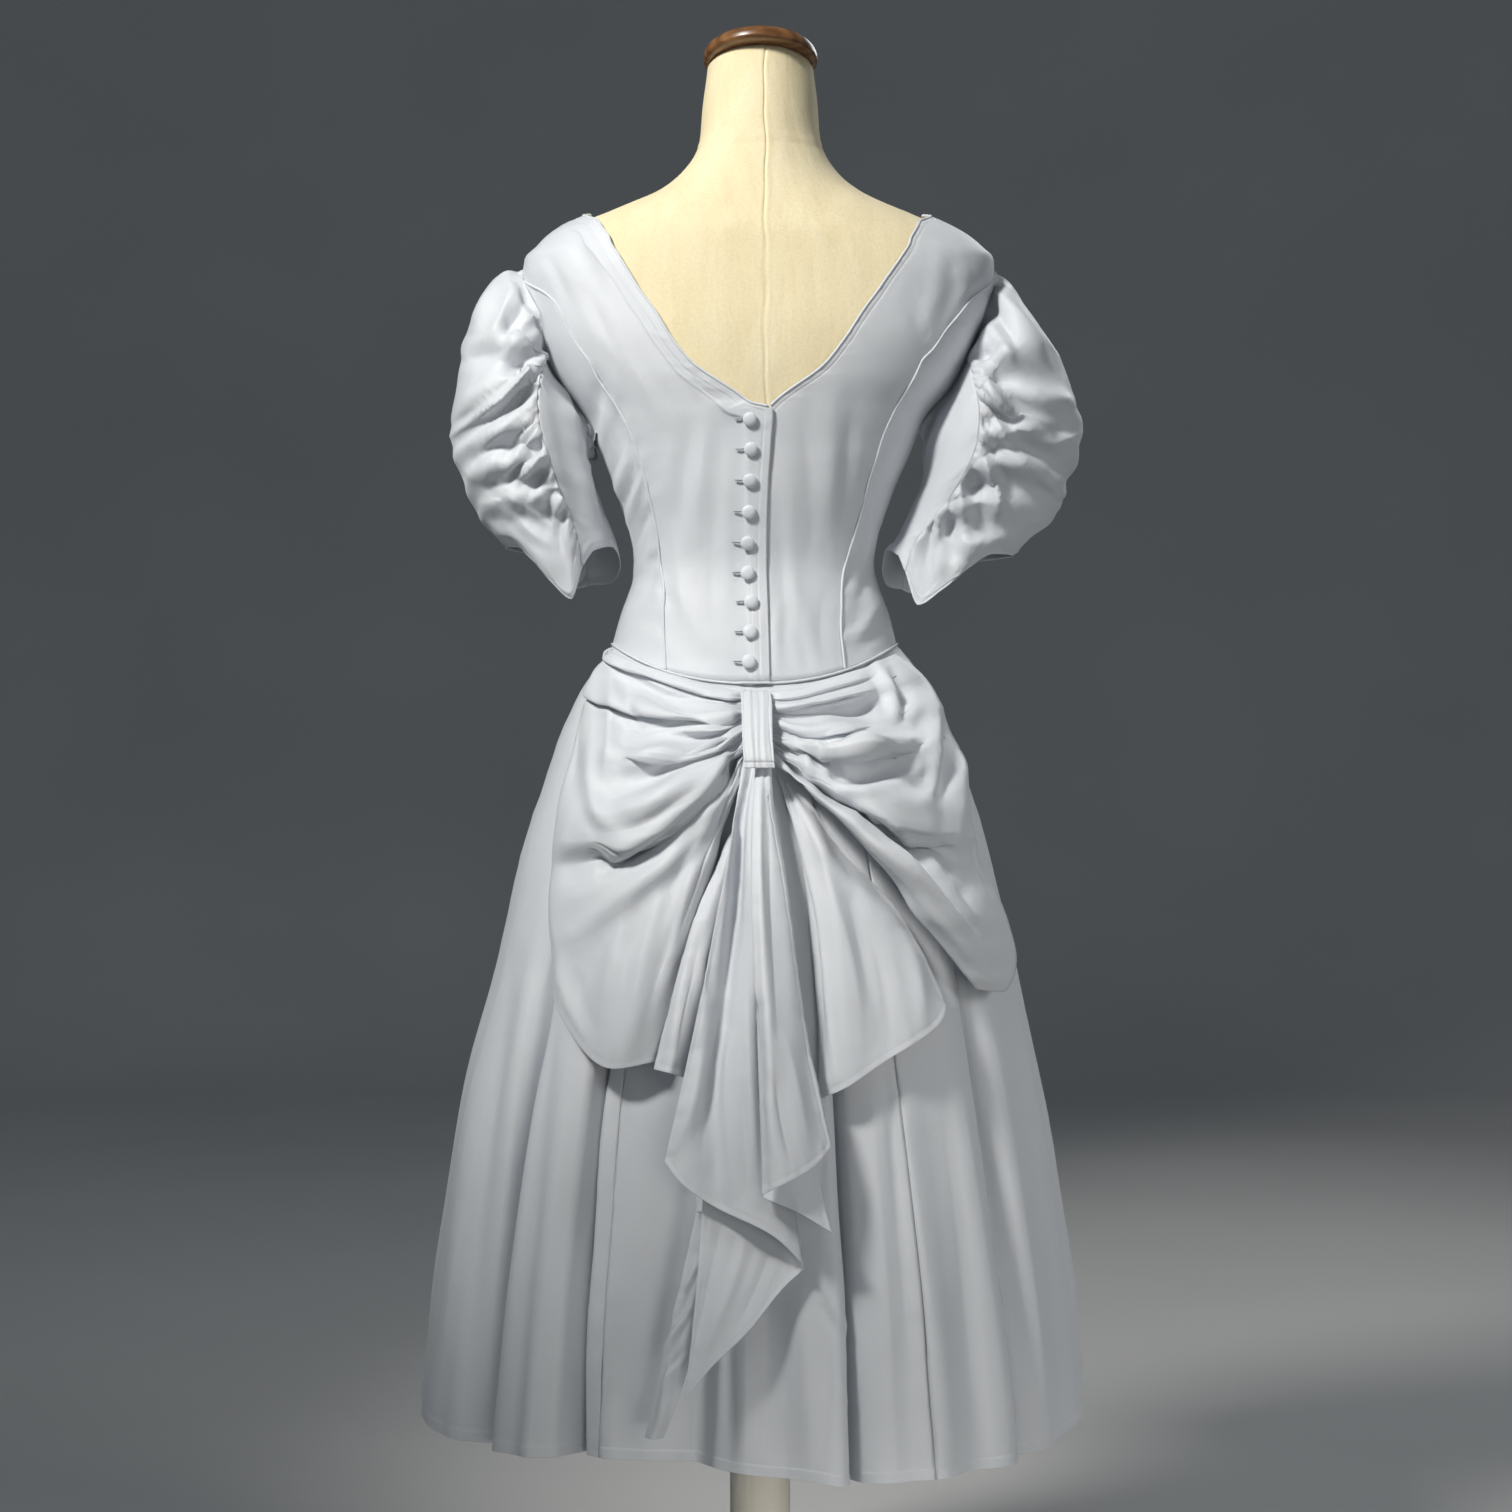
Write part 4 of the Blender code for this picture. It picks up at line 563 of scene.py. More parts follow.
def under(table, side, q, along, out=0.0):
    """q runs over the under sleeve from the back seam (0) round the inside to the front seam (1)."""
    q, along = np.broadcast_arrays(np.asarray(q, float), np.asarray(along, float))
    a = seam_angle(table, along)
    theta = a + (2 * np.pi - 2 * a) * q
    p, n = sleeve_point(table, side, theta, along)
    p = p + n * out
    p[..., 2] += pchip(column(HEM_DROP_UNDER, 0), column(HEM_DROP_UNDER, 1, MM), q) * step((along - 0.80) / 0.20)
    return p, n



# ------------------------------------------------------------------ fine cloth
def elevation(p):
    """Where a point is seen on the plane y = 0, in metres across and up."""
    k = (VIEW_D + p[..., 1]) / VIEW_D
    return VIEW_X + (p[..., 0] - VIEW_X) / k, VIEW_Z + (p[..., 2] - VIEW_Z) / k


def waves(p, size, seed, n=9):
    """Smooth uneven field between about -1 and 1 with features of a given size."""
    rng = np.random.default_rng(seed)
    out = np.zeros(p.shape[:-1])
    for _ in range(n):
        d = unit(rng.normal(size=3)) * 2 * np.pi / size * rng.uniform(0.55, 1.5)
        out += np.sin(p @ d + rng.uniform(0, 6.28)) * rng.uniform(0.5, 1)
    return out / (0.45 * n)


def smooth_grid(p, times, keep_edges=True):
    for _ in range(times):
        q = p.copy()
        q[1:-1, 1:-1] = p[1:-1, 1:-1] * 0.5 + 0.125 * (p[2:, 1:-1] + p[:-2, 1:-1] + p[1:-1, 2:] + p[1:-1, :-2])
        if not keep_edges:
            q[0, 1:-1] = p[0, 1:-1] * 0.5 + 0.25 * (p[0, 2:] + p[0, :-2])
            q[-1, 1:-1] = p[-1, 1:-1] * 0.5 + 0.25 * (p[-1, 2:] + p[-1, :-2])
            q[1:-1, 0] = p[1:-1, 0] * 0.5 + 0.25 * (p[2:, 0] + p[:-2, 0])
            q[1:-1, -1] = p[1:-1, -1] * 0.5 + 0.25 * (p[2:, -1] + p[:-2, -1])
        p = q
    return p


def run_along(p, axis):
    d = np.linalg.norm(np.diff(p, axis=axis), axis=-1)
    z = np.zeros_like(np.take(p[..., 0], [0], axis=axis))
    return np.concatenate([z, np.cumsum(d, axis=axis)], axis=axis)


def rehem(p, dists, axis=1):
    """Resample each line so that its last points lie at set distances from the edge."""
    p = np.moveaxis(p, axis, 1)
    run = run_along(p, 1)
    total = run[:, -1:]
    n = p.shape[1]
    d = np.array(sorted(dists, reverse=True))
    inner = np.linspace(0, 1, n)[None] * (total - d[0] - 0.002)
    target = np.concatenate([inner, total - d[None]], 1)
    out = np.empty((p.shape[0], target.shape[1], 3))
    for i in range(p.shape[0]):
        for c in range(3):
            out[i, :, c] = np.interp(target[i], run[i], p[i, :, c])
    return np.moveaxis(out, 1, axis)


HEM_STEPS = np.array([13.0, 11.0, 9.6, 8.8, 8.2, 7.6, 6.8, 5.0, 2.8, 1.2, 0.4, 0.0]) * MM


def hem_shape(dist, along, seed=0, depth=8.2 * MM, strong=1.0):
    """Height of a narrow turned hem: double cloth, one stitched groove, small puckers."""
    double = 0.30 * MM * step((depth + 0.4 * MM - dist) / (1.0 * MM))
    groove = -0.42 * MM * np.exp(-((dist - depth) / (0.75 * MM)) ** 2)
    rng = np.random.default_rng(seed + 11)
    pucker = sum(np.sin(along * 2 * np.pi / w + rng.uniform(0, 6.28)) * a
                 for w, a in ((0.011, 0.35), (0.017, 0.45), (0.029, 0.5), (0.047, 0.4)))
    return (double + groove) * strong + pucker * 0.34 * MM * strong * np.exp(-((dist - depth) / (8 * MM)) ** 2)


def crease(p, table, back=True):
    """Height of listed creases, each a curve through three elevation points.
    Columns: across, up at its start, middle and end; width; height (down is a trough); lean."""
    across, up = elevation(p)
    out = np.zeros(across.shape)
    flat = np.stack([across.ravel(), up.ravel()], -1) / MM
    if back:
        seen_side = p[..., 1].ravel() < 0.03
    else:
        seen_side = np.ones(flat.shape[0], bool)
    res = np.zeros(flat.shape[0])
    for row in table:
        x0, z0, x1, z1, x2, z2, w, h = row[:8]
        lean = row[8] if len(row) > 8 else 0.0
        lo = np.minimum(np.minimum((x0, z0), (x1, z1)), (x2, z2)) - 4.0 * w
        hi = np.maximum(np.maximum((x0, z0), (x1, z1)), (x2, z2)) + 4.0 * w
        near = np.nonzero(np.all((flat > lo) & (flat < hi), 1) & seen_side)[0]
        if not len(near):
            continue
        q = flat[near]
        s = np.linspace(0, 1, 19)
        line = np.stack([x0 * 2 * (s - .5) * (s - 1) + x1 * 4 * s * (1 - s) + x2 * 2 * s * (s - .5),
                         z0 * 2 * (s - .5) * (s - 1) + z1 * 4 * s * (1 - s) + z2 * 2 * s * (s - .5)], -1)
        best = np.full(len(q), 1e9)
        where = np.zeros(len(q))
        sign = np.zeros(len(q))
        for i in range(18):
            a, b = line[i], line[i + 1]
            ab = b - a
            t = np.clip(((q - a) @ ab) / (ab @ ab + 1e-9), 0, 1)
            d = q - a - t[:, None] * ab
            dist = np.hypot(d[:, 0], d[:, 1])
            m = dist < best
            best[m], where[m] = dist[m], (i + t[m]) / 18
            sign[m] = np.sign(ab[0] * d[m, 1] - ab[1] * d[m, 0])
        r = best / w
        taper = np.sin(np.pi * np.clip(0.06 + 0.90 * where, 0, 1)) ** 0.8
        side = 1 + lean * sign
        # troughs come to a crisp line, ridges are round
        power = 1.15 if h < 0 else 1.6
        prof = np.exp(-r ** power / np.maximum(side, 0.3)) - 0.30 * np.exp(-((r - 2.2) / 0.9) ** 2)
        res[near] += h * MM * taper * prof
    return res.reshape(across.shape)


def fit_normals(p, like=None):
    n = grid_normals(p)
    if like is not None:
        s = np.sign((n * like).sum(-1, keepdims=True).mean())
        return n * s
    return n


MATERIAL = {}


def thin(p, n, share=0.60):
    """Keep the rows and columns where the cloth bends most, so that it needs fewer faces."""
    for axis in (0, 1):
        count = p.shape[axis]
        if count < 24:
            continue
        q = np.moveaxis(p, axis, 0)
        bend = np.linalg.norm(q[2:] - 2 * q[1:-1] + q[:-2], axis=-1).mean(1)
        w = np.sqrt(np.concatenate([bend[:1], bend, bend[-1:]]))
        w = w + 0.6 * w.mean()
        run = np.concatenate([[0.0], np.cumsum(0.5 * (w[1:] + w[:-1]))])
        at = np.interp(np.linspace(0, run[-1], int(count * share)), run, np.arange(count))
        keep = np.unique(np.round(at).astype(int))
        p, n = np.take(p, keep, axis=axis), np.take(n, keep, axis=axis)
    return p, n


def cloth(name, p, n, nodes, thick=1.1 * MM, seams="", gap=0.12 * MM, mat="sateen", grain=0,
          edge_round=True):
    """Fine closed wall of cloth on a grid, with a UV map in metres."""
    p, n = thin(p, n)
    q = p.copy()

    def back_off(edge, inner, normal):
        d = unit(np.cross(normal, np.gradient(edge, axis=0)))
        return edge + d * gap * np.sign((d * (inner - edge)).sum())
    if "l" in seams:
        q[:, 0] = back_off(p[:, 0], p[:, 1], n[:, 0])
    if "r" in seams:
        q[:, -1] = back_off(p[:, -1], p[:, -2], n[:, -1])
    if "b" in seams:
        q[0] = back_off(p[0], p[1], n[0])
    if "t" in seams:
        q[-1] = back_off(p[-1], p[-2], n[-1])
    rows, cols = q.shape[:2]
    m = rows * cols
    verts = np.concatenate([(q + n * thick / 2).reshape(-1, 3), (q - n * thick / 2).reshape(-1, 3)])
    mid = (rows // 2, cols // 2)
    a = np.cross(q[mid[0], mid[1]] - q[mid[0], mid[1] - 1], q[mid[0], mid[1]] - q[mid[0] - 1, mid[1]])
    keep = float(np.dot(a, n[mid])) > 0
    I, J = np.meshgrid(np.arange(rows - 1), np.arange(cols - 1), indexing="ij")
    a = (I * cols + J).ravel()
    top = np.stack([a, a + 1, a + cols + 1, a + cols], -1)
    bot = top[:, ::-1] + m
    j = np.arange(cols - 1)
    e1 = np.stack([j, m + j, m + j + 1, j + 1], -1)
    k = (rows - 1) * cols + j
    e2 = np.stack([k + 1, m + k + 1, m + k, k], -1)
    i = np.arange(rows - 1)
    a0, b0 = i * cols, (i + 1) * cols
    e3 = np.stack([b0, m + b0, m + a0, a0], -1)
    a1, b1 = a0 + cols - 1, b0 + cols - 1
    e4 = np.stack([a1, m + a1, m + b1, b1], -1)
    faces = np.concatenate([top, bot, e1, e2, e3, e4])
    if not keep:
        faces = faces[:, ::-1]
    mesh = bpy.data.meshes.new(name)
    nf = len(faces)
    mesh.vertices.add(len(verts))
    mesh.vertices.foreach_set("co", verts.astype(np.float32).ravel())
    mesh.loops.add(nf * 4)
    mesh.loops.foreach_set("vertex_index", faces.astype(np.int32).ravel())
    mesh.polygons.add(nf)
    mesh.polygons.foreach_set("loop_start", np.arange(0, nf * 4, 4, dtype=np.int32))
    mesh.polygons.foreach_set("use_smooth", np.ones(nf, bool))
    u = run_along(q, 1)
    v = run_along(q, 0)
    u = u - u[:, cols // 2:cols // 2 + 1]
    uv = np.stack([u, v], -1).reshape(-1, 2)
    if grain:
        uv = uv[:, ::-1]
    uv = np.concatenate([uv, uv])
    layer = mesh.uv_layers.new(name="UVMap")
    layer.data.foreach_set("uv", uv[faces.ravel()].astype(np.float32).ravel())
    mesh.update()
    mesh.validate()
    ob = bpy.data.objects.new(name, mesh)
    bpy.context.scene.collection.objects.link(ob)
    # an empty sharp_edge attribute is added; no edge is marked
    attr = mesh.attributes.new("sharp_edge", "BOOLEAN", "EDGE")
    mesh.materials.append(MATERIAL[mat])
    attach(ob, "root")
    if nodes:
        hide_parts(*nodes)
    d1 = np.linalg.norm(np.cross(q[1:, :-1] - q[:-1, :-1], q[:-1, 1:] - q[:-1, :-1]), axis=-1) / 2
    d2 = np.linalg.norm(np.cross(q[1:, :-1] - q[1:, 1:], q[:-1, 1:] - q[1:, 1:]), axis=-1) / 2
    size = float(d1.sum() + d2.sum())
    return ob




def solid(name, verts, faces, mat, nodes=(), smooth=True):
    mesh = bpy.data.meshes.new(name)
    mesh.from_pydata([tuple(map(float, v)) for v in verts], [], [tuple(map(int, f)) for f in faces])
    mesh.update()
    for poly in mesh.polygons:
        poly.use_smooth = smooth
    mesh.materials.append(MATERIAL[mat])
    ob = bpy.data.objects.new(name, mesh)
    bpy.context.scene.collection.objects.link(ob)
    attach(ob, "root")
    if nodes:
        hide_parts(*nodes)
    return ob


def cord_mesh(name, pts, radius, normals, sides=12, closed=False, mat="piping", nodes=(), twist=0.0, squash=1.0, ripple=0.0):
    pts = np.asarray(pts, float)
    n = len(pts)
    tan = unit(np.roll(pts, -1, 0) - np.roll(pts, 1, 0)) if closed else unit(np.gradient(pts, axis=0))
    a = unit(np.cross(tan, normals))
    b = np.cross(a, tan)
    ang = np.arange(sides) * 2 * np.pi / sides
    run = run_along(pts[None], 1)[0]
    r = radius * (1 + ripple * np.sin(run * 2 * np.pi / 0.0042) + ripple * 1.3 * np.sin(run * 2 * np.pi / 0.0131 + 1))
    ring = pts[:, None] + r[:, None, None] * (np.cos(ang)[None, :, None] * a[:, None] + squash * np.sin(ang)[None, :, None] * b[:, None])
    verts = ring.reshape(-1, 3)
    faces = []
    for i in range(n if closed else n - 1):
        j = (i + 1) % n
        for k in range(sides):
            l = (k + 1) % sides
            faces.append((i * sides + k, j * sides + k, j * sides + l, i * sides + l))
    if not closed:
        faces.append(tuple(range(sides)))
        faces.append(tuple((n - 1) * sides + k for k in range(sides))[::-1])
    return solid(name, verts, faces, mat, nodes)


def refine(pts, step_len=2.0 * MM):
    """Even points along a line of vertices."""
    pts = np.asarray(pts, float)
    run = run_along(pts[None], 1)[0]
    n = max(int(run[-1] / step_len), 2)
    t = np.linspace(0, run[-1], n + 1)
    return np.stack([np.interp(t, run, pts[:, c]) for c in range(3)], -1), t



# ------------------------------------------------------------------ materials
class Shader:
    """Small helper that lays nodes of one material."""

    def __init__(self, name):
        self.mat = bpy.data.materials.new(name)
        self.mat.use_nodes = True
        self.tree = self.mat.node_tree
        self.b = self.tree.nodes["Principled BSDF"]
        self.out = self.tree.nodes["Material Output"]
        self.coord = self.node("ShaderNodeTexCoord")
        MATERIAL[name] = self.mat

    def node(self, kind, **props):
        n = self.tree.nodes.new(kind)
        for k, v in props.items():
            setattr(n, k, v)
        return n

    def link(self, a, b):
        self.tree.links.new(a, b)

    def mapped(self, scale, source="Object", rotation=(0, 0, 0)):
        m = self.node("ShaderNodeMapping")
        m.inputs["Scale"].default_value = scale
        m.inputs["Rotation"].default_value = rotation
        self.link(self.coord.outputs[source], m.inputs["Vector"])
        return m.outputs["Vector"]

    def noise(self, vector, scale, detail=3.0, rough=0.55, distortion=0.0):
        n = self.node("ShaderNodeTexNoise")
        n.inputs["Scale"].default_value = scale
        n.inputs["Detail"].default_value = detail
        n.inputs["Roughness"].default_value = rough
        n.inputs["Distortion"].default_value = distortion
        self.link(vector, n.inputs["Vector"])
        return n.outputs["Fac"]

    def wave(self, vector, scale, direction="X", distortion=0.0, detail=0.0, detail_scale=1.0):
        n = self.node("ShaderNodeTexWave", bands_direction=direction)
        n.inputs["Scale"].default_value = scale
        n.inputs["Distortion"].default_value = distortion
        n.inputs["Detail"].default_value = detail
        n.inputs["Detail Scale"].default_value = detail_scale
        self.link(vector, n.inputs["Vector"])
        return n.outputs["Fac"]

    def math(self, op, a, b=0.5, clamp=False):
        n = self.node("ShaderNodeMath", operation=op, use_clamp=clamp)
        for i, v in enumerate((a, b)):
            if isinstance(v, (int, float)):
                n.inputs[i].default_value = v
            else:
                self.link(v, n.inputs[i])
        return n.outputs[0]

    def ramp(self, fac, stops):
        n = self.node("ShaderNodeValToRGB")
        n.color_ramp.elements[0].position, n.color_ramp.elements[0].color = stops[0][0], (*stops[0][1], 1)
        n.color_ramp.elements[1].position, n.color_ramp.elements[1].color = stops[-1][0], (*stops[-1][1], 1)
        for pos, col in stops[1:-1]:
            e = n.color_ramp.elements.new(pos)
            e.color = (*col, 1)
        self.link(fac, n.inputs["Fac"])
        return n.outputs["Color"]

    def bump(self, height, distance, strength=1.0, after=None):
        n = self.node("ShaderNodeBump")
        n.inputs["Strength"].default_value = strength
        n.inputs["Distance"].default_value = distance
        self.link(height, n.inputs["Height"])
        if after is not None:
            self.link(after, n.inputs["Normal"])
        return n.outputs["Normal"]

    def set(self, **values):
        for k, v in values.items():
            key = k.replace("_", " ")
            if isinstance(v, (int, float, tuple)):
                self.b.inputs[key].default_value = v
            else:
                self.link(v, self.b.inputs[key])


def sateen(name, tint=(1.0, 1.0, 1.0), fine=1.0):
    s = Shader(name)
    flat = s.mapped((1, 1, 1), "UV")
    solid_at = s.mapped((1, 1, 1), "Object")
    # weft-faced weave: close, slightly wandering threads, seen only near
    warp = s.wave(flat, 340, "X", 1.2, 1.0, 2.0)
    weft = s.wave(flat, 520, "Y", 1.6, 1.0, 2.0)
    weave = s.math("ADD", s.math("MULTIPLY", warp, 0.35), s.math("MULTIPLY", weft, 0.65))
    slub = s.noise(s.mapped((60, 900, 1), "UV"), 1.0, 2.0, 0.6)
    hand = s.noise(solid_at, 42, 3.0, 0.55, 0.4)
    rumple = s.noise(solid_at, 17, 2.5, 0.5, 0.6)
    n = s.bump(rumple, 0.0020, 0.55)
    n = s.bump(hand, 0.00060, 0.55, n)
    n = s.bump(slub, 0.00012, 0.55 * fine, n)
    n = s.bump(weave, 0.00009, 0.7 * fine, n)
    tone = s.noise(solid_at, 6.5, 2.0, 0.5)
    base = s.ramp(tone, ((0.30, tuple(a * b for a, b in zip((0.660, 0.688, 0.728), tint))),
                         (0.72, tuple(a * b for a, b in zip((0.708, 0.735, 0.772), tint)))))
    mix = s.node("ShaderNodeMix", data_type="RGBA", blend_type="MULTIPLY")
    mix.inputs["Factor"].default_value = 0.10 * fine
    s.link(base, mix.inputs["A"])
    s.link(s.ramp(weave, ((0.0, (0.80, 0.82, 0.86)), (1.0, (1.0, 1.0, 1.0)))), mix.inputs["B"])
    rough = s.math("ADD", s.math("MULTIPLY", s.noise(solid_at, 60, 2.0), 0.12), 0.42)
    s.set(Base_Color=mix.outputs["Result"], Roughness=rough, Specular_IOR_Level=0.42, Sheen_Weight=0.28,
          Sheen_Roughness=0.42, Sheen_Tint=(0.93, 0.97, 1.0, 1.0), Normal=n)
    s.set(Subsurface_Weight=0.10, Subsurface_Scale=0.006, Subsurface_Radius=(1.0, 0.95, 0.9))
    return s


sateen("sateen")
sateen("piping", (0.985, 0.99, 0.995), 0.7)
# the buttons take a slightly lighter copy of the cloth: painted light, so that the domes read bright
sateen("button", (1.01, 1.01, 1.01), 0.6)

s = Shader("thread")
n = s.bump(s.wave(s.mapped((1, 1, 1), "Object", (0, 0.5, 0)), 900, "Z"), 0.0002, 0.6)
s.set(Base_Color=s.ramp(s.noise(s.mapped((1, 1, 1)), 200, 1.0), ((0.3, (0.50, 0.54, 0.58)), (0.7, (0.62, 0.66, 0.70)))), Roughness=0.55, Normal=n)

# painted shade: a near-black material for the buttonhole slits, standing for the shade inside each cut
s = Shader("dark_thread")
n = s.bump(s.wave(s.mapped((1, 1, 1), "Object", (0, 0.5, 0)), 900, "Z"), 0.0002, 0.6)
s.set(Base_Color=s.ramp(s.noise(s.mapped((1, 1, 1)), 300, 1.0), ((0.3, (0.045, 0.048, 0.055)), (0.7, (0.10, 0.105, 0.115)))), Roughness=0.6, Normal=n)

s = Shader("canvas")
at = s.mapped((1, 1, 1))
warp = s.wave(at, 420, "X", 2.0, 1.5, 2.0)
weft = s.wave(at, 420, "Z", 2.0, 1.5, 2.0)
weave = s.math("ADD", s.math("MULTIPLY", warp, 0.5), s.math("MULTIPLY", weft, 0.5))
streak = s.noise(s.mapped((34, 34, 7)), 1.0, 4.0, 0.6, 0.6)
crinkle = s.noise(s.mapped((110, 110, 30)), 1.0, 3.0, 0.6, 0.8)
n = s.bump(streak, 0.0016, 0.5)
n = s.bump(crinkle, 0.0006, 0.6, n)
n = s.bump(weave, 0.00018, 0.8, n)
base = s.ramp(streak, ((0.25, (0.800, 0.690, 0.440)), (0.5, (0.860, 0.755, 0.500)), (0.78, (0.900, 0.810, 0.570))))
fleck = s.ramp(s.noise(s.mapped((1, 1, 1)), 420, 2.0), ((0.25, (0.86, 0.84, 0.80)), (0.6, (1, 1, 1))))
mix = s.node("ShaderNodeMix", data_type="RGBA", blend_type="MULTIPLY")
mix.inputs["Factor"].default_value = 0.5
s.link(base, mix.inputs["A"])
s.link(fleck, mix.inputs["B"])
s.set(Base_Color=mix.outputs["Result"], Roughness=0.86, Specular_IOR_Level=0.18, Sheen_Weight=0.12, Sheen_Roughness=0.6, Normal=n)

s = Shader("wood")
grain = s.noise(s.mapped((18, 60, 60)), 1.0, 5.0, 0.65, 1.8)
rings = s.wave(s.mapped((1, 1, 1), "Object", (0.3, 0.2, 0.1)), 26, "Y", 5.0, 3.0, 1.4)
both = s.math("ADD", s.math("MULTIPLY", grain, 0.65), s.math("MULTIPLY", rings, 0.35))
n = s.bump(both, 0.0004, 0.4)
s.set(Base_Color=s.ramp(both, ((0.25, (0.105, 0.044, 0.014)), (0.5, (0.185, 0.082, 0.028)), (0.8, (0.270, 0.130, 0.048)))),
      Roughness=s.ramp(grain, ((0.2, (0.24, 0.24, 0.24)), (0.8, (0.38, 0.38, 0.38)))), Coat_Weight=0.2, Coat_Roughness=0.3, Normal=n)

s = Shader("white_paint")
orange = s.noise(s.mapped((1, 1, 1)), 320, 2.0, 0.5)
scuff = s.noise(s.mapped((30, 30, 9)), 1.0, 4.0, 0.6, 0.5)
n = s.bump(orange, 0.00025, 0.4)
s.set(Base_Color=s.ramp(scuff, ((0.3, (0.640, 0.610, 0.530)), (0.75, (0.730, 0.705, 0.630)))),
      Roughness=s.ramp(scuff, ((0.3, (0.42, 0.42, 0.42)), (0.8, (0.30, 0.30, 0.30)))), Normal=n)

s = Shader("floor")
n = s.bump(s.noise(s.mapped((1, 1, 1)), 30, 3.0), 0.0006, 0.25)
s.set(Base_Color=s.ramp(s.noise(s.mapped((1, 1, 1)), 1.2, 2.0), ((0.3, (0.56, 0.555, 0.545)), (0.7, (0.60, 0.595, 0.585)))), Roughness=0.78,
      Specular_IOR_Level=0.2, Normal=n)



# ------------------------------------------------------------------ bodice
def table_path(rows, side, extra=()):
    up, across = column(rows, 0, MM), column(rows, 1 if side < 0 else 2, MM)
    turn, z = on_back(across, up)
    return [(a, b) for a, b in zip(turn, z)] + list(extra)


half_pi = math.pi / 2
centre_turn = on_back(np.array([7 * MM]), np.array([1.0]))[0][0]
lap_under = on_back(np.array([7 * MM]) - LAP, np.array([1.0]))[0][0]
princess, neck_line, seam_front, armhole = {}, {}, {}, {}

# creases of the bodice, on its back
#   start        middle       end          width height
BODICE_CREASES = [
    (-174.6, 1335.6, -157.5, 1308.6, -144, 1274.4, 4.5, -1.1),
    (-190.8, 1314, -180, 1292.4, -169.2, 1263.6, 4, -1),
    (-160.2, 1341, -144, 1312.2, -127.8, 1274.4, 4, 0.7),
    (-154.8, 1283.4, -144, 1256.4, -133.2, 1227.6, 5, -1),
    (-144, 1247.4, -133.2, 1227.6, -126, 1209.6, 5, 0.7),
    (-133.2, 1247.4, -108, 1202.4, -88.2, 1166.4, 6, 0.6),
    (-120.6, 1308.6, -99, 1247.4, -63, 1202.4, 7, -0.6),
    (-144, 1182.6, -138.6, 1166.4, -140.4, 1143, 4.5, 2),
    (-133.2, 1175.4, -124.2, 1148.4, -127.8, 1121.4, 4, -1.5),
    (-118.8, 1139.4, -124.2, 1116.9, -129.6, 1101.6, 3.6, 1.9),
    (-113.4, 1121.4, -117, 1103.4, -126, 1085.4, 3.2, -1.6),
    (-108, 1112.4, -113.4, 1089.9, -120.6, 1067.4, 3.4, 1.6),
    (-100.8, 1089.9, -106.2, 1067.4, -115.2, 1047.6, 3.2, -1.5),
    (-97.2, 1067.4, -100.8, 1044, -113.4, 1027.8, 4, 1.4),
    (-93.6, 1040.4, -99, 1017.9, -113.4, 1000.8, 4, -1.4),
    (-151.2, 1209.6, -144, 1193.4, -147.6, 1157.4, 6, -1.5),
    (-56.7, 1209.6, -52.2, 1195.2, -36, 1184.4, 3, -0.8),
    (-63, 1157.4, -72, 1094.4, -75.6, 1040.4, 7, -1.4),
    (-50.4, 1166.4, -54, 1112.4, -63, 1058.4, 8, 1.2),
    (-79.2, 1076.4, -73.8, 1031.4, -68.4, 986.4, 6, 1),
    (-36, 1094.4, -43.2, 1040.4, -39.6, 986.4, 7, -0.8),
    (-68.4, 1004.4, -54, 977.4, -28.8, 959.4, 6, 0.9),
    (-79.2, 968.4, -63, 954.9, -43.2, 943.2, 5, -0.9),
    (-86.4, 1013.4, -75.6, 999, -63, 993.6, 4, -0.8),
    (-27, 1148.4, -30.6, 1076.4, -28.8, 1004.4, 5, 0.5),
    (36, 1166.4, 46.8, 1094.4, 43.2, 1040.4, 9, -1.2),
    (67.5, 1202.4, 63, 1139.4, 59.4, 1076.4, 9, 0.9),
    (27, 1040.4, 36, 995.4, 54, 959.4, 6, 0.9),
    (13.5, 1094.4, 19.8, 1040.4, 21.6, 968.4, 5, -0.7),
    (81, 1166.4, 77.4, 1121.4, 72, 1058.4, 5, -0.8),
    (19.8, 1004.4, 14.4, 968.4, 19.8, 936, 4, 0.9),
    (36, 968.4, 41.4, 954.9, 46.8, 943.2, 4, -0.8),
    (59.4, 1013.4, 54, 977.4, 59.4, 948.6, 5, -0.6),
    (91.8, 1094.4, 97.2, 1058.4, 90, 1026.9, 4, 1.3),
    (100.8, 1053.9, 95.4, 1022.4, 86.4, 995.4, 4, -1.2),
    (108, 1004.4, 97.2, 986.4, 82.8, 968.4, 4, 1.2),
    (112.5, 979.2, 100.8, 968.4, 86.4, 959.4, 4, -1),
    (130.5, 1283.4, 142.2, 1256.4, 153, 1229.4, 5, -0.9),
    (160.2, 1319.4, 157.5, 1283.4, 148.5, 1247.4, 5, 0.8),
    (171, 1308.6, 172.8, 1283.4, 167.4, 1260, 4, -0.9),
    (180, 1301.4, 185.4, 1288.8, 180, 1274.4, 3.5, 0.9),
]


def cut_edge(p, n, dist, depth=6.2 * MM, seed=3):
    """A turned and topstitched edge on a panel: dist is the distance from the edge."""
    run = run_along(p, 0)
    return p + n * hem_shape(dist, run, seed, depth, 0.7)[..., None]


def soft(p, n, size, height, seed):
    """Slow uneven swell of worn cloth."""
    return p + n * (waves(p, size, seed) * height)[..., None]


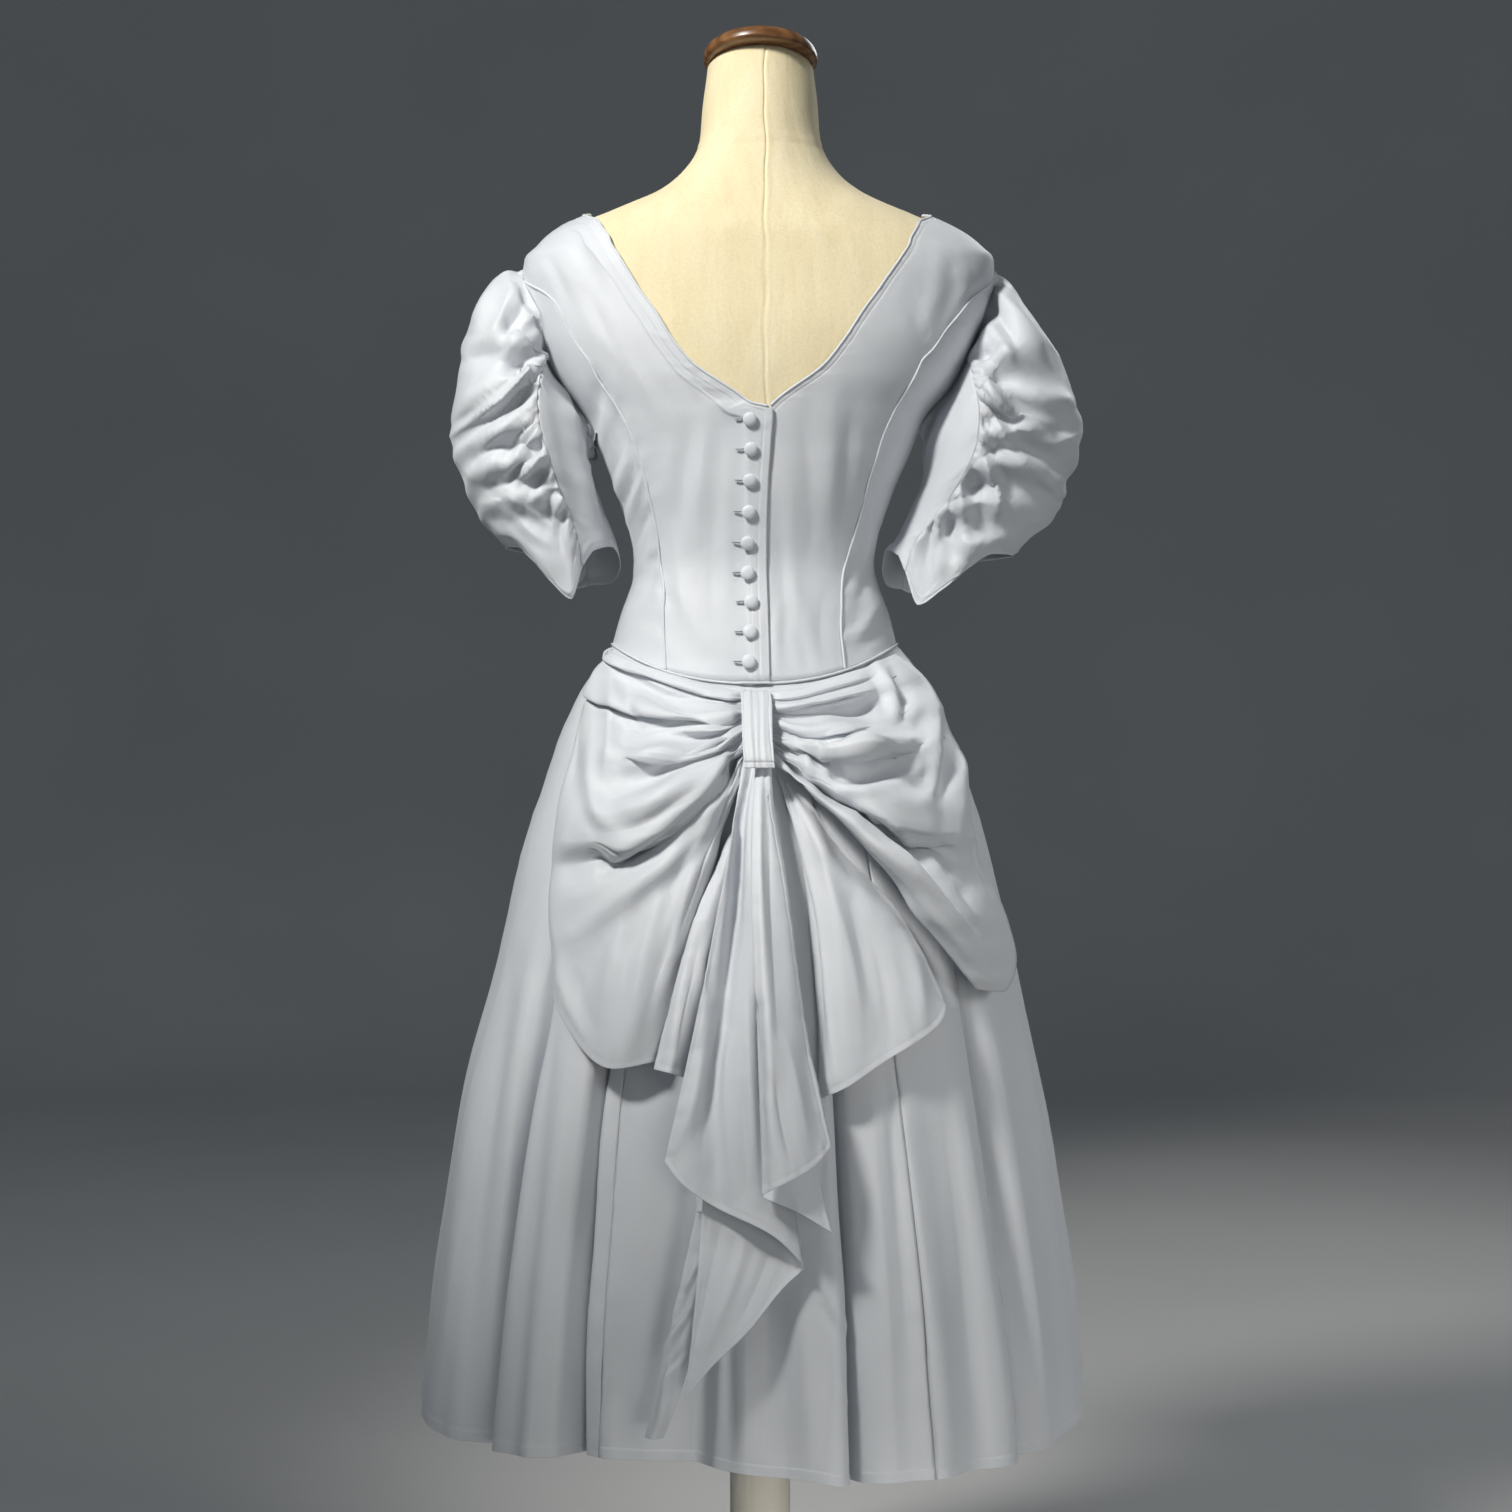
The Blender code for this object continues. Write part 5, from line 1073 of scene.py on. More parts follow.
t_fine = np.linspace(0, 1, 120)
PANEL = {}
for side, tag in ((-1, "left"), (1, "right")):
    seam_rows = table_path(PRINCESS, side)
    seam_rows[0] = (seam_rows[0][0], float(waist(seam_rows[0][0])))
    princess[side] = path(seam_rows)
    neck_rows = table_path(NECK, side)
    neck_rows[-1] = (side * half_pi, 1350 * MM)
    edge = centre_turn if side < 0 else lap_under
    centre = [(edge, float(waist(edge))), (edge, 1.0), (edge, 1.08), (edge, 1150 * MM)]
    corner_row = (edge * 0.9, 1164 * MM) if side < 0 else (edge * 0.5 + centre_turn * 0.5, 1162 * MM)
    centre_path = path(centre + [corner_row] + neck_rows[1:])
    neck_line[side] = centre_path
    top_path = path([seam_rows[-1], (side * half_pi, 1309 * MM), (side * half_pi, 1330 * MM), (side * half_pi, 1350 * MM)])
    a0 = seam_rows[0][0]
    bottom = lambda s, a=a0, b=edge: np.stack([a + (b - a) * s, waist(a + (b - a) * s)], -1)
    lap_s = abs((lap_under - a0) / (centre_turn - a0))
    s = np.unique(np.round(np.concatenate([np.linspace(0, 1, 84), 1 - np.linspace(0, 0.13, 26)]), 5))
    if side < 0:
        s = np.unique(np.concatenate([s, np.linspace(lap_s - 0.02, lap_s + 0.02, 9)]))
    t = np.unique(np.round(np.concatenate([t_fine, np.linspace(0.40, 0.62, 60)]), 5))
    g = coons(bottom, top_path, princess[side], centre_path, s, t)
    p, n = body(g[..., 0], g[..., 1])
    if side < 0:
        low = np.maximum(step((1.176 - g[..., 1]) / 0.012), 0.35)
        rise = np.interp(s, [0, 0.76, 0.85, lap_s, 1.0], [0, 0, 0.25, 1.0, 1.0])[None] * low
        rise = smooth_grid(np.repeat(rise[..., None], 3, -1), 3)[..., 0]
        p = p + n * (LAP_RISE * rise)[..., None]
    p[0, :, 2] += 0.5 * MM
    # distance to the neck and centre edge, for its stitched turning
    edge_dist = np.abs(run_along(p[:, ::-1], 1)[:, ::-1])
    edge_dist = edge_dist * 1.0
    p = p + n * hem_shape(edge_dist, run_along(p, 0), 5 + side, (8.2 if side < 0 else 5.5) * MM, 0.75)[..., None]
    p = soft(p, n, 0.10, 0.7 * MM, 21 + side)
    p = p + n * (1.6 * crease(p, BODICE_CREASES))[..., None]
    # drag lines run square off the princess seam
    from_seam = run_along(p, 1)
    along = run_along(p, 0)[:, :1]
    drag = sum(np.sin(along * 2 * np.pi / w_ + ph + from_seam * 25) * a_ for w_, a_, ph in ((0.017, 0.5, 0.4), (0.027, 0.7, 2.1), (0.041, 0.6, 4.0)))
    p = p + n * (0.34 * MM * drag * np.exp(-from_seam / 0.012) * step(from_seam / 0.002))[..., None]
    PANEL["back_" + tag] = (p, n, s, t)
    cloth("back_" + tag + "_cloth", p, n, ["bodice_back_" + tag], seams="l")
    # side back
    arm_rows = table_path(ARMHOLE, side)
    arm_rows[0] = (side * half_pi, 1152 * MM)
    cut = arm_rows[:-1]
    cut[-1] = seam_rows[-1]
    armhole[side] = path(cut)
    side_seam = path([(side * half_pi, WAIST_SIDE), (side * half_pi, 1.03), (side * half_pi, 1.09), (side * half_pi, 1152 * MM)])
    bottom = lambda s, a=side * half_pi, b=a0: np.stack([a + (b - a) * s, waist(a + (b - a) * s)], -1)
    s = np.linspace(0, 1, 56)
    g = coons(bottom, armhole[side], side_seam, princess[side], s, t_fine)
    p, n = body(g[..., 0], g[..., 1])
    p[0, :, 2] += 0.5 * MM
    n0 = n
    p = soft(p, n, 0.07, 1.0 * MM, 31 + side)
    p = p + n * (1.6 * crease(p, BODICE_CREASES))[..., None]
    to_seam = np.abs(run_along(p[:, ::-1], 1)[:, ::-1])
    along = run_along(p, 0)[:, -1:]
    drag = sum(np.sin(along * 2 * np.pi / w_ + ph - to_seam * 40) * a_ for w_, a_, ph in ((0.014, 0.5, 1.4), (0.022, 0.9, 0.1), (0.034, 0.8, 3.0)))
    p = p + n * (0.75 * MM * drag * np.exp(-to_seam / 0.016) * step(to_seam / 0.002) * step(along / 0.03))[..., None]
    PANEL["side_back_" + tag] = (p, n0)
    cloth("side_back_" + tag + "_cloth", p, n0, ["bodice_side_back_" + tag], seams="lr")

    def flip(f, side=side):
        def turned(t):
            v = np.array(f(t))
            v[..., 0] = side * math.pi - v[..., 0]
            low = waist(v[..., 0]) - waist(side * math.pi - v[..., 0])
            v[..., 1] = v[..., 1] + low * np.clip((1.0 - v[..., 1]) / (1.0 - 0.944), 0, 1)
            return v
        return turned
    fb = lambda s, a=side * half_pi, b=side * math.pi - a0: np.stack([a + (b - a) * s, waist(a + (b - a) * s)], -1)
    seam_front[side] = flip(princess[side])
    g = coons(fb, flip(armhole[side]), side_seam, seam_front[side], s, t_fine)
    g[0, :, 1] = waist(g[0, :, 0])
    p, n = body(g[..., 0], g[..., 1])
    p[0, :, 2] += 0.5 * MM
    n0 = n
    p = soft(p, n, 0.07, 0.9 * MM, 41 + side)
    to_seam = np.abs(run_along(p[:, ::-1], 1)[:, ::-1])
    along = run_along(p, 0)[:, -1:]
    drag = sum(np.sin(along * 2 * np.pi / w_ + ph - to_seam * 40) * a_ for w_, a_, ph in ((0.015, 0.5, 2.4), (0.024, 0.9, 1.1), (0.037, 0.8, 5.0)))
    p = p + n * (0.7 * MM * drag * np.exp(-to_seam / 0.016) * step(to_seam / 0.002) * step(along / 0.03))[..., None]
    PANEL["side_front_" + tag] = (p, n0)
    cloth("side_front_" + tag + "_cloth", p, n0, ["bodice_side_front_" + tag], seams="lr")

# front
right_shift = lambda t: seam_front[1](t) - np.array([2 * math.pi, 0])
neck_up, neck_half = column(NECK_FRONT, 0, MM), column(NECK_FRONT, 1, MM)
nf_turn = body_turn(neck_half - 0.003, neck_up)
nf_turn[0] = half_pi
left_neck = [(-math.pi + a, z) for a, z in zip(nf_turn, neck_up)]
right_neck = [(-math.pi - a, z) for a, z in zip(nf_turn, neck_up)][::-1]


def with_shoulder(seam, shoulder_turn):
    over = path([tuple(seam(1.0)), (shoulder_turn, 1309 * MM), (shoulder_turn, 1330 * MM), (shoulder_turn, 1350 * MM)])

    def curve(t):
        t = np.asarray(t, float)
        return np.where((t <= 0.8)[..., None], seam(np.minimum(t / 0.8, 1)), over(np.maximum((t - 0.8) / 0.2, 0)))
    return curve


front_left, front_right = with_shoulder(seam_front[-1], -half_pi), with_shoulder(right_shift, -3 * half_pi)
l0, r0 = seam_front[-1](0.0), right_shift(0.0)
front_bottom = lambda s: np.stack([l0[0] + (r0[0] - l0[0]) * s, waist(l0[0] + (r0[0] - l0[0]) * s)], -1)
front_neck = path(left_neck + right_neck[1:])
g = coons(front_bottom, front_neck, front_left, front_right, np.linspace(0, 1, 150), np.concatenate([np.linspace(0, 0.8, 90), np.linspace(0.8, 1, 40)[1:]]))
p, n = body(g[..., 0], g[..., 1])
p[0, :, 2] += 0.5 * MM
top_dist = np.abs(run_along(p[::-1], 0)[::-1])
p = p + n * hem_shape(top_dist, run_along(p, 1), 9, 6.0 * MM, 0.75)[..., None]
p = soft(p, n, 0.11, 1.1 * MM, 51)
# soft folds from the bust to the waist, like those of the back
across = run_along(p, 1) - 0.5 * run_along(p, 1)[:, -1:]
for at, wide, high in ((-0.085, 0.010, 1.1), (-0.05, 0.014, -1.2), (0.015, 0.012, 0.9), (0.06, 0.011, -1.1), (0.09, 0.012, 1.2)):
    p = p + n * (high * MM * np.exp(-((across - at - 0.1 * (p[..., 2] - 1.05)) / wide) ** 2) * step((1.14 - p[..., 2]) / 0.1))[..., None]
PANEL["front"] = (p, n)
cloth("front_cloth", p, n, ["bodice_front"], seams="lr")

# the edge of each armhole, round all its panels
ARM_EDGE = {}
for side, tag in ((-1, "left"), (1, "right")):
    front_col = PANEL["front"][0][:, 0 if side < 0 else -1]
    back_top = PANEL["back_" + tag][0][-1]
    pts = [PANEL["side_back_" + tag][0][-1], PANEL["side_front_" + tag][0][-1], back_top[back_top[:, 2] < 1.3095],
           front_col[(front_col[:, 2] < 1.3095) & (np.arange(len(front_col)) > 89)]]
    ARM_EDGE[side] = np.concatenate([refine(q_, 0.5 * MM)[0] if len(q_) > 3 else q_ for q_ in pts])

# ------------------------------------------------------------------ piping
for side, tag in ((-1, "left"), (1, "right")):
    g = princess[side](np.linspace(0, 1, 260))
    p, n = body(g[:, 0], g[:, 1])
    p = p + n * (0.95 * MM)
    p[:, 0] += 0.25 * MM * np.sin(np.linspace(0, 30, len(p))) * np.sin(np.linspace(0, 17, len(p)))
    p[0, 2] += 2.0 * MM
    cord_mesh("piping_back_" + tag, p, 1.15 * MM, n, 14, nodes=["piping_princess_" + tag], ripple=0.035)
    g = seam_front[side](np.linspace(0, 1, 200))
    p, n = body(g[:, 0], g[:, 1])
    p = p + n * (0.9 * MM)
    p[0, 2] += 2.0 * MM
    cord_mesh("piping_front_" + tag, p, 1.1 * MM, n, 10, ripple=0.035)

turns = np.linspace(-math.pi, math.pi, 560)[:-1]
p, n = body(turns, waist(turns) + 0.3 * MM)
over_lap = step((p[:, 0] + 24 * MM) / (12 * MM)) * step((10 * MM - p[:, 0]) / (3 * MM)) * (p[:, 1] < 0)
p = p + n * (1.35 * MM + LAP_RISE * over_lap)[:, None]
cord_mesh("piping_round_waist", p, 1.2 * MM, n, 14, closed=True, nodes=["piping_waist"], ripple=0.04)

# the neck piping runs up the left back, round the front and down the right back
loop, normal = [], []
for key in ("back_left", "front", "back_right"):
    p, n = PANEL[key][:2]
    if key == "front":
        e, m = p[-1], n[-1]
    else:
        keep = p[:, -1, 2] > 1.1655
        e, m = p[:, -1][keep], n[:, -1][keep]
        if key == "back_right":
            e, m = e[::-1], m[::-1]
    loop.append(e)
    normal.append(m)
loop, normal = np.concatenate(loop), np.concatenate(normal)
keep = np.concatenate([[True], np.linalg.norm(np.diff(loop, axis=0), axis=1) > 0.4 * MM])
loop, normal = loop[keep], normal[keep]
fine, tt = refine(loop, 1.6 * MM)
run = run_along(loop[None], 1)[0]
nn = unit(np.stack([np.interp(tt, run, normal[:, c]) for c in range(3)], -1))
for _ in range(4):
    fine[1:-1] = fine[1:-1] * 0.5 + 0.25 * (fine[2:] + fine[:-2])
cord_mesh("piping_round_neck", fine + nn * 0.5 * MM, 1.2 * MM, nn, 14, nodes=["piping_neck"], ripple=0.03)

# ------------------------------------------------------------------ buttons
BUTTON_UP = [1167, 1140, 1112, 1084, 1056, 1028, 1002, 975, 948]
BUTTON_ACROSS = [-9, -8, -9, -10, -11, -11, -8, -9, -10]
DOME = [(0.30, -0.30), (0.62, -0.22), (0.86, -0.08), (0.965, 0.06), (1.0, 0.20), (0.99, 0.33), (0.95, 0.47), (0.88, 0.61), (0.77, 0.74), (0.62, 0.86),
        (0.45, 0.945), (0.25, 0.99), (0.06, 1.0)]
for i, (up, across) in enumerate(zip(BUTTON_UP, BUTTON_ACROSS)):
    turn, z = on_back(np.array([across * MM]), np.array([up * MM]))
    p, n = body(turn, z)
    p, n = p[0], n[0]
    lean = RNG.normal(0, 0.05, 2)
    n2 = unit(n + np.array([lean[0], 0, lean[1] - 0.05]))
    base = p + n * (LAP_RISE + CLOTH / 2 + 1.5 * MM)
    a = unit(np.cross(n2, [0, 0, 1.0]))
    b = np.cross(a, n2)
    verts, faces = [], []
    sides = 48
    for j, (r, h) in enumerate(DOME):
        for k in range(sides):
            w_ = 2 * math.pi * k / sides
            gather = 1 + (0.018 * math.sin(w_ * 11 + i) * max(0, 0.30 - h) if h < 0.3 else 0)
            verts.append(base + (a * math.cos(w_) + b * math.sin(w_)) * r * gather * BUTTON_R * 1.0 + n2 * (h * 3.3 + 0.2) * MM)
    m = len(DOME)
    for r in range(m - 1):
        for k in range(sides):
            l = (k + 1) % sides
            faces.append((r * sides + k, (r + 1) * sides + k, (r + 1) * sides + l, r * sides + l))
    faces.append(tuple(range(sides)))
    faces.append(tuple((m - 1) * sides + k for k in range(sides))[::-1])
    solid("button_dome_%d" % (i + 1), verts, faces, "button", ["button_%d" % (i + 1)])
    # the button's shank of thread, and its buttonhole reaching out to the left; its slit is a near-black cord of
    # painted shade
    shank = [base - n * 1.2 * MM, base - n * 0.2 * MM, base + n * 0.6 * MM]
    cord_mesh("button_shank_%d" % (i + 1), shank, 1.5 * MM, np.tile(a, (3, 1)), 10, mat="thread")
    x0 = across * MM + VIEW_X * 0
    hole = []
    for f in np.linspace(0, 1, 15):
        tu, zz = on_back(np.array([(across - 2.0 - 11.5 * f) * MM]), np.array([(up + 0.2 + 0.25 * math.sin(f * 5 + i)) * MM]))
        q, m_ = body(tu, zz)
        hole.append((q[0], m_[0]))
    ln = np.array([h[0] for h in hole])
    nm = np.array([h[1] for h in hole])
    lift = (LAP_RISE + 0.95 * MM) * np.clip(1 - (np.linspace(0, 1, 15) - 0.72) / 0.9, 0.8, 1)
    along = unit(np.gradient(ln, axis=0))
    square = np.cross(nm, along)
    # the slit cord is painted shade, near-black where the cut through the cloth lies in shadow
    for name, off, mat_, rad in (("a", 0.62, "thread", 0.42), ("b", -0.62, "thread", 0.42), ("slit", 0, "dark_thread", 0.30)):
        cord_mesh("buttonhole_%d_%s" % (i + 1, name), ln + nm * (lift + (0.05 if name != "slit" else -0.12) * MM)[:, None] + square * off * MM, rad * MM, nm, 8,
                  mat=mat_)



# ------------------------------------------------------------------ sleeves
#   start        middle       end          width height
PUFF_CREASES_LEFT = [
    (-193.5, 1224, -229.5, 1188, -279, 1150.2, 3.6, -6.5),
    (-195.3, 1209.6, -223.2, 1182.6, -261, 1162.8, 5, 3),
    (-197.1, 1229.4, -229.5, 1206.9, -243, 1193.4, 5, 2.5),
    (-190.8, 1186.2, -220.5, 1166.4, -252, 1139.4, 5, -3.5),
    (-187.2, 1177.2, -216, 1152, -229.5, 1134.9, 4.5, 3),
    (-184.5, 1166.4, -207, 1148.4, -221.4, 1128.6, 3.5, -2.5),
    (-183.6, 1155.6, -208.8, 1132.2, -232.2, 1101.6, 3.2, 4.2),
    (-180, 1143, -201.6, 1128.6, -225, 1107, 3.4, -4),
    (-229.5, 1099.8, -212.4, 1089, -193.5, 1076.4, 4, -1.6),
    (-229.5, 1139.4, -243, 1121.4, -244.8, 1096.2, 12, -4),
    (-253.8, 1112.4, -234, 1094.4, -235.8, 1094.4, 6, 1.5),
    (-219.6, 1292.4, -229.5, 1265.4, -244.8, 1233.9, 5.5, -3.2),
    (-212.4, 1278, -223.2, 1254.6, -234, 1233.9, 5, 2.4),
    (-235.8, 1297.8, -248.4, 1274.4, -261, 1254.6, 7, -2),
    (-201.6, 1265.4, -216, 1249.2, -229.5, 1233.9, 4, -2),
    (-198, 1245.6, -220.5, 1233.9, -231.3, 1218.6, 8, -3),
    (-262.8, 1247.4, -268.2, 1233.9, -261, 1218.6, 9, -2.4),
    (-229.5, 1227.6, -252, 1224, -271.8, 1218.6, 6, 2),
    (-172.8, 1116, -180, 1094.4, -187.2, 1067.4, 4, -4.2),
    (-167.4, 1094.4, -172.8, 1071.9, -171, 1044.9, 3.2, -3.6),
    (-178.2, 1128.6, -193.5, 1107.9, -202.5, 1094.4, 4, -2.4),
    (-187.2, 1121.4, -205.2, 1103.4, -216, 1080.9, 5, 2.4),
    (-216, 1076.4, -202.5, 1062.9, -187.2, 1053.9, 4, -2),
    (-279, 1139.4, -265.5, 1121.4, -253.8, 1112.4, 5, -1.2),
    (-246.6, 1076.4, -234, 1067.4, -223.2, 1051.2, 5, -1.4),
    (-171, 1058.4, -153, 1051.2, -133.2, 1049.4, 4, -1.4),
    (-198, 1184.4, -234, 1148.4, -261, 1128.6, 6, 1.6),
]
PUFF_CREASES_RIGHT = [
    (212.4, 1287, 235.8, 1254.6, 282.6, 1206, 6.5, -5),
    (208.8, 1274.4, 221.4, 1251, 234, 1233, 8, 3.2),
    (207, 1254.6, 219.6, 1233.9, 226.8, 1218.6, 4, -2.4),
    (201.6, 1227.6, 219.6, 1206, 248.4, 1188, 9, 4),
    (200.7, 1211.4, 218.7, 1179, 261, 1159.2, 5, -6.5),
    (196.2, 1191.6, 216, 1157.4, 237.6, 1134, 4.6, -5),
    (216, 1173.6, 243, 1153.8, 271.8, 1152, 8, 2.6),
    (186.3, 1166.4, 199.8, 1150.2, 219.6, 1139.4, 5, -4.5),
    (190.8, 1177.2, 207, 1162.8, 219.6, 1152, 5, 2.4),
    (212.4, 1146.6, 257.4, 1134, 284.4, 1099.8, 6, 4),
    (202.5, 1137.6, 243, 1121.4, 273.6, 1089, 6, -3.6),
    (196.2, 1134, 210.6, 1108.8, 212.4, 1074.6, 5, -6.5),
    (178.2, 1137.6, 194.4, 1094.4, 207, 1058.4, 9, 4.2),
    (181.8, 1061.1, 190.8, 1053.9, 199.8, 1058.4, 6, -5),
    (166.5, 1128.6, 181.8, 1094.4, 185.4, 1063.8, 4.4, -3.6),
    (160.2, 1112.4, 162, 1085.4, 159.3, 1058.4, 3.6, -4),
    (149.4, 1098.9, 145.8, 1071, 138.6, 1040.4, 3.6, -4),
    (138.6, 1083.6, 133.2, 1058.4, 130.5, 1031.4, 3.4, -3),
    (153, 1094.4, 153, 1058.4, 149.4, 1022.4, 5, 2.6),
    (169.2, 1094.4, 171, 1058.4, 171, 1022.4, 6, 2.4),
    (171, 1040.4, 178.2, 1027.8, 181.8, 1015.2, 4, -2.4),
    (252, 1116, 266.4, 1112.4, 280.8, 1121.4, 4, -2),
    (261, 1101.6, 270, 1094.4, 277.2, 1098, 3.6, 1.8),
    (243, 1148.4, 266.4, 1146.6, 291.6, 1157.4, 5, -2.2),
    (248.4, 1180.8, 270, 1173.6, 291.6, 1179, 5, 1.8),
    (225, 1085.4, 246.6, 1076.4, 266.4, 1085.4, 7, -2.2),
    (217.8, 1067.4, 225, 1053.9, 232.2, 1047.6, 4, -1.8),
]
UNDER_CREASES = [
    (-178.2, 1206, -169.2, 1157.4, -153, 1076.4, 5, -3.2),
    (-167.4, 1191.6, -149.4, 1139.4, -133.2, 1058.4, 6, 2.6),
    (-183.6, 1202.4, -174.6, 1189.8, -162, 1180.8, 4, -2.2),
    (-180, 1184.4, -162, 1148.4, -147.6, 1103.4, 7, -1.6),
    (-166.5, 1157.4, -147.6, 1121.4, -138.6, 1076.4, 5, 1.3),
    (-157.5, 1121.4, -147.6, 1085.4, -138.6, 1049.4, 5, -1.3),
    (-169.2, 1112.4, -158.4, 1076.4, -147.6, 1051.2, 5, 1),
    (-178.2, 1170, -163.8, 1162.8, -151.2, 1157.4, 3.5, -0.9),
    (-172.8, 1148.4, -158.4, 1143, -144, 1141.2, 3.5, -0.9),
    (-162, 1125, -151.2, 1125, -140.4, 1128.6, 3.5, -0.8),
    (181.8, 1229.4, 160.2, 1175.4, 130.5, 1103.4, 6, 2.8),
    (171, 1184.4, 153, 1143, 122.4, 1076.4, 5, -2.6),
    (171, 1202.4, 148.5, 1148.4, 126, 1094.4, 7, -1.6),
    (157.5, 1148.4, 135, 1103.4, 117, 1058.4, 5, 1.2),
    (139.5, 1112.4, 121.5, 1076.4, 111.6, 1049.4, 5, -1.2),
    (162, 1184.4, 154.8, 1161.9, 144, 1139.4, 4, 0.9),
]


def gathers(run, reach, seed, pitch, strong=1.0):
    """Height of the gathers at a seam: sharp uneven valleys between round ridges, each with its own length and slant."""
    rng = np.random.default_rng(seed)
    out = np.zeros(np.broadcast(run, reach).shape)
    at, end = 0.003, float(np.max(run))
    while at < end:
        deep, far, slant = rng.uniform(1.2, 2.7), rng.uniform(0.008, 0.020), rng.normal(0.75, 0.2)
        if rng.random() < 0.32:
            deep, far = deep * 1.6, far * 2.6
        wide = rng.uniform(0.0020, 0.0032) + 0.17 * reach
        u = (run - at - slant * reach) / wide
        out -= deep * MM * np.exp(-np.abs(u) ** 1.2) * np.exp(-(reach / far) ** 1.4)
        at += rng.uniform(0.55, 1.5) * pitch
    return strong * out


def meet(p, side):
    """Bring the top row of a sleeve piece to the edge of the armhole, and the rows below it part of the way."""
    top, edge = p[0], ARM_EDGE[side]
    near = edge[np.argmin(((top[:, None] - edge[None]) ** 2).sum(-1), 1)]
    away = unit(p[min(6, len(p) - 1)] - p[0])
    d = near + away * 0.5 * MM - top
    for _ in range(6):
        d[1:-1] = 0.5 * d[1:-1] + 0.25 * (d[2:] + d[:-2])
    return p + d[None] * np.exp(-(run_along(p, 0) / 0.020) ** 1.5)[..., None]


# tucks of the puff: row along the gathers, depth near the seam and outside, width in rows
TUCKS = [
    (1.9, 2.0, 0.5, 0.30), (3.0, 3.0, 1.2, 0.22), (4.05, 4.5, 2.2, 0.20), (5.1, 3.0, 1.5, 0.22), (6.0, 6.5, 4.5, 0.17), (6.9, 2.5, 1.6, 0.22),
    (8.0, 6.0, 3.0, 0.20), (9.1, 2.5, 1.0, 0.24), (10.0, 5.0, 2.0, 0.22), (11.2, 2.5, 0.8, 0.28), (12.0, 4.5, 1.2, 0.26), (13.1, 2.5, 0.6, 0.3),
    (14.0, 2.5, 0.6, 0.3),
]
for side, tag, table, creases in ((-1, "left", SLEEVE_L, PUFF_CREASES_LEFT), (1, "right", SLEEVE_R, PUFF_CREASES_RIGHT)):
    q1 = np.sin(np.linspace(-1, 1, 190) * math.pi / 2)
    q1 = 0.45 * q1 + 0.55 * np.linspace(-1, 1, 190)
    r1 = np.unique(np.round(np.concatenate([np.linspace(0, 15, 205)] + [np.linspace(k[0] - 0.3, k[0] + 0.3, 7) for k in TUCKS]), 4))
    Q, R = np.meshgrid(q1, r1)
    p, n = puff(table, side, Q, R)
    n0 = n
    # outside, the puff is a smooth balloon: the gathers melt away
    h = 1 - np.abs(Q) ** 1.4
    flat_out = pchip(np.arange(len(GATHERS)), column(GATHERS, 4, MM), R) * h * step((1 - np.abs(Q)) / 0.14)
    p = p + n * (-0.92 * flat_out)[..., None]
    full = smooth_grid(p, 40, False)
    p = p + (full - p) * step((h - 0.25) / 0.5)[..., None] * step(R / 1.0)[..., None] * step((15 - R) / 1.0)[..., None]
    like = n
    n = grid_normals(smooth_grid(p, 4, False))
    n = unit(smooth_grid(n * np.sign((n * like)[20:-20, 20:-20].sum()), 6, False))
    reach = np.minimum(run_along(p, 1), run_along(p[:, ::-1], 1)[:, ::-1])
    seam_back, seam_front_ = run_along(p, 0)[:, -1:], run_along(p, 0)[:, :1]
    seam_run = np.where(Q > 0, seam_back, seam_front_)
    # the armhole end is gathered too, over the shoulder
    from_top = run_along(p, 0)
    top_run = run_along(p, 1)[:1]
    back_reach, front_reach = run_along(p[:, ::-1], 1)[:, ::-1], run_along(p, 1)
    seam_l, seam_r = run_along(p, 0)[:, :1], run_along(p, 0)[:, -1:]
    rise = gathers(seam_r, back_reach, 61 + side, 0.0105, 0.8) + gathers(seam_l, front_reach, 65 + side, 0.0105, 0.8)
    rise = rise * step(from_top / 0.008)
    rise += gathers(top_run, from_top, 71 + side, 0.010, 0.6) * step(reach / 0.008)
    near_hem = run_along(p[::-1], 0)[::-1]
    bend = 0.5 * np.sin(Q * 5 + side) + 0.35 * np.sin(Q * 9 + 2)
    out = 1 - np.abs(Q) ** 1.6
    for k, d_in, d_out, wide in TUCKS:
        depth = 0.5 * d_in * np.exp(-reach / 0.034) + 0.12 * d_out
        wv = wide * (1 + 1.2 * out)
        u = (R - k - 26 * np.minimum(reach, 0.07) - bend * wide * out) / wv
        rise += -depth * MM * (np.exp(-np.abs(u) ** 1.25) - 0.35 * np.exp(-((np.abs(u) - 2.0) / 1.0) ** 2)) * step(reach / 0.006)
    rise = rise * step(near_hem / 0.006)
    p = p + n * rise[..., None]
    p = p + n * (waves(p, 0.055, 81 + side, 12) * 1.9 * MM * step(reach / 0.02) * step(near_hem / 0.02))[..., None]
    n1 = grid_normals(smooth_grid(p, 3, False))
    n1 = n1 * np.sign((n1 * n).sum(-1, keepdims=True).mean())
    p = p + n1 * (1.3 * crease(p, creases) * step(reach / 0.004))[..., None]
    p = meet(p, side)
    # the hidden front takes like creases, mirrored
    front = p * np.array([1, -1, 1])
    shift = np.array([0.0, 0.0, -0.006])
    p = p + n1 * (crease(front + shift, creases) * step(reach / 0.004) * (p[..., 1] > 0.03))[..., None] * 0.8
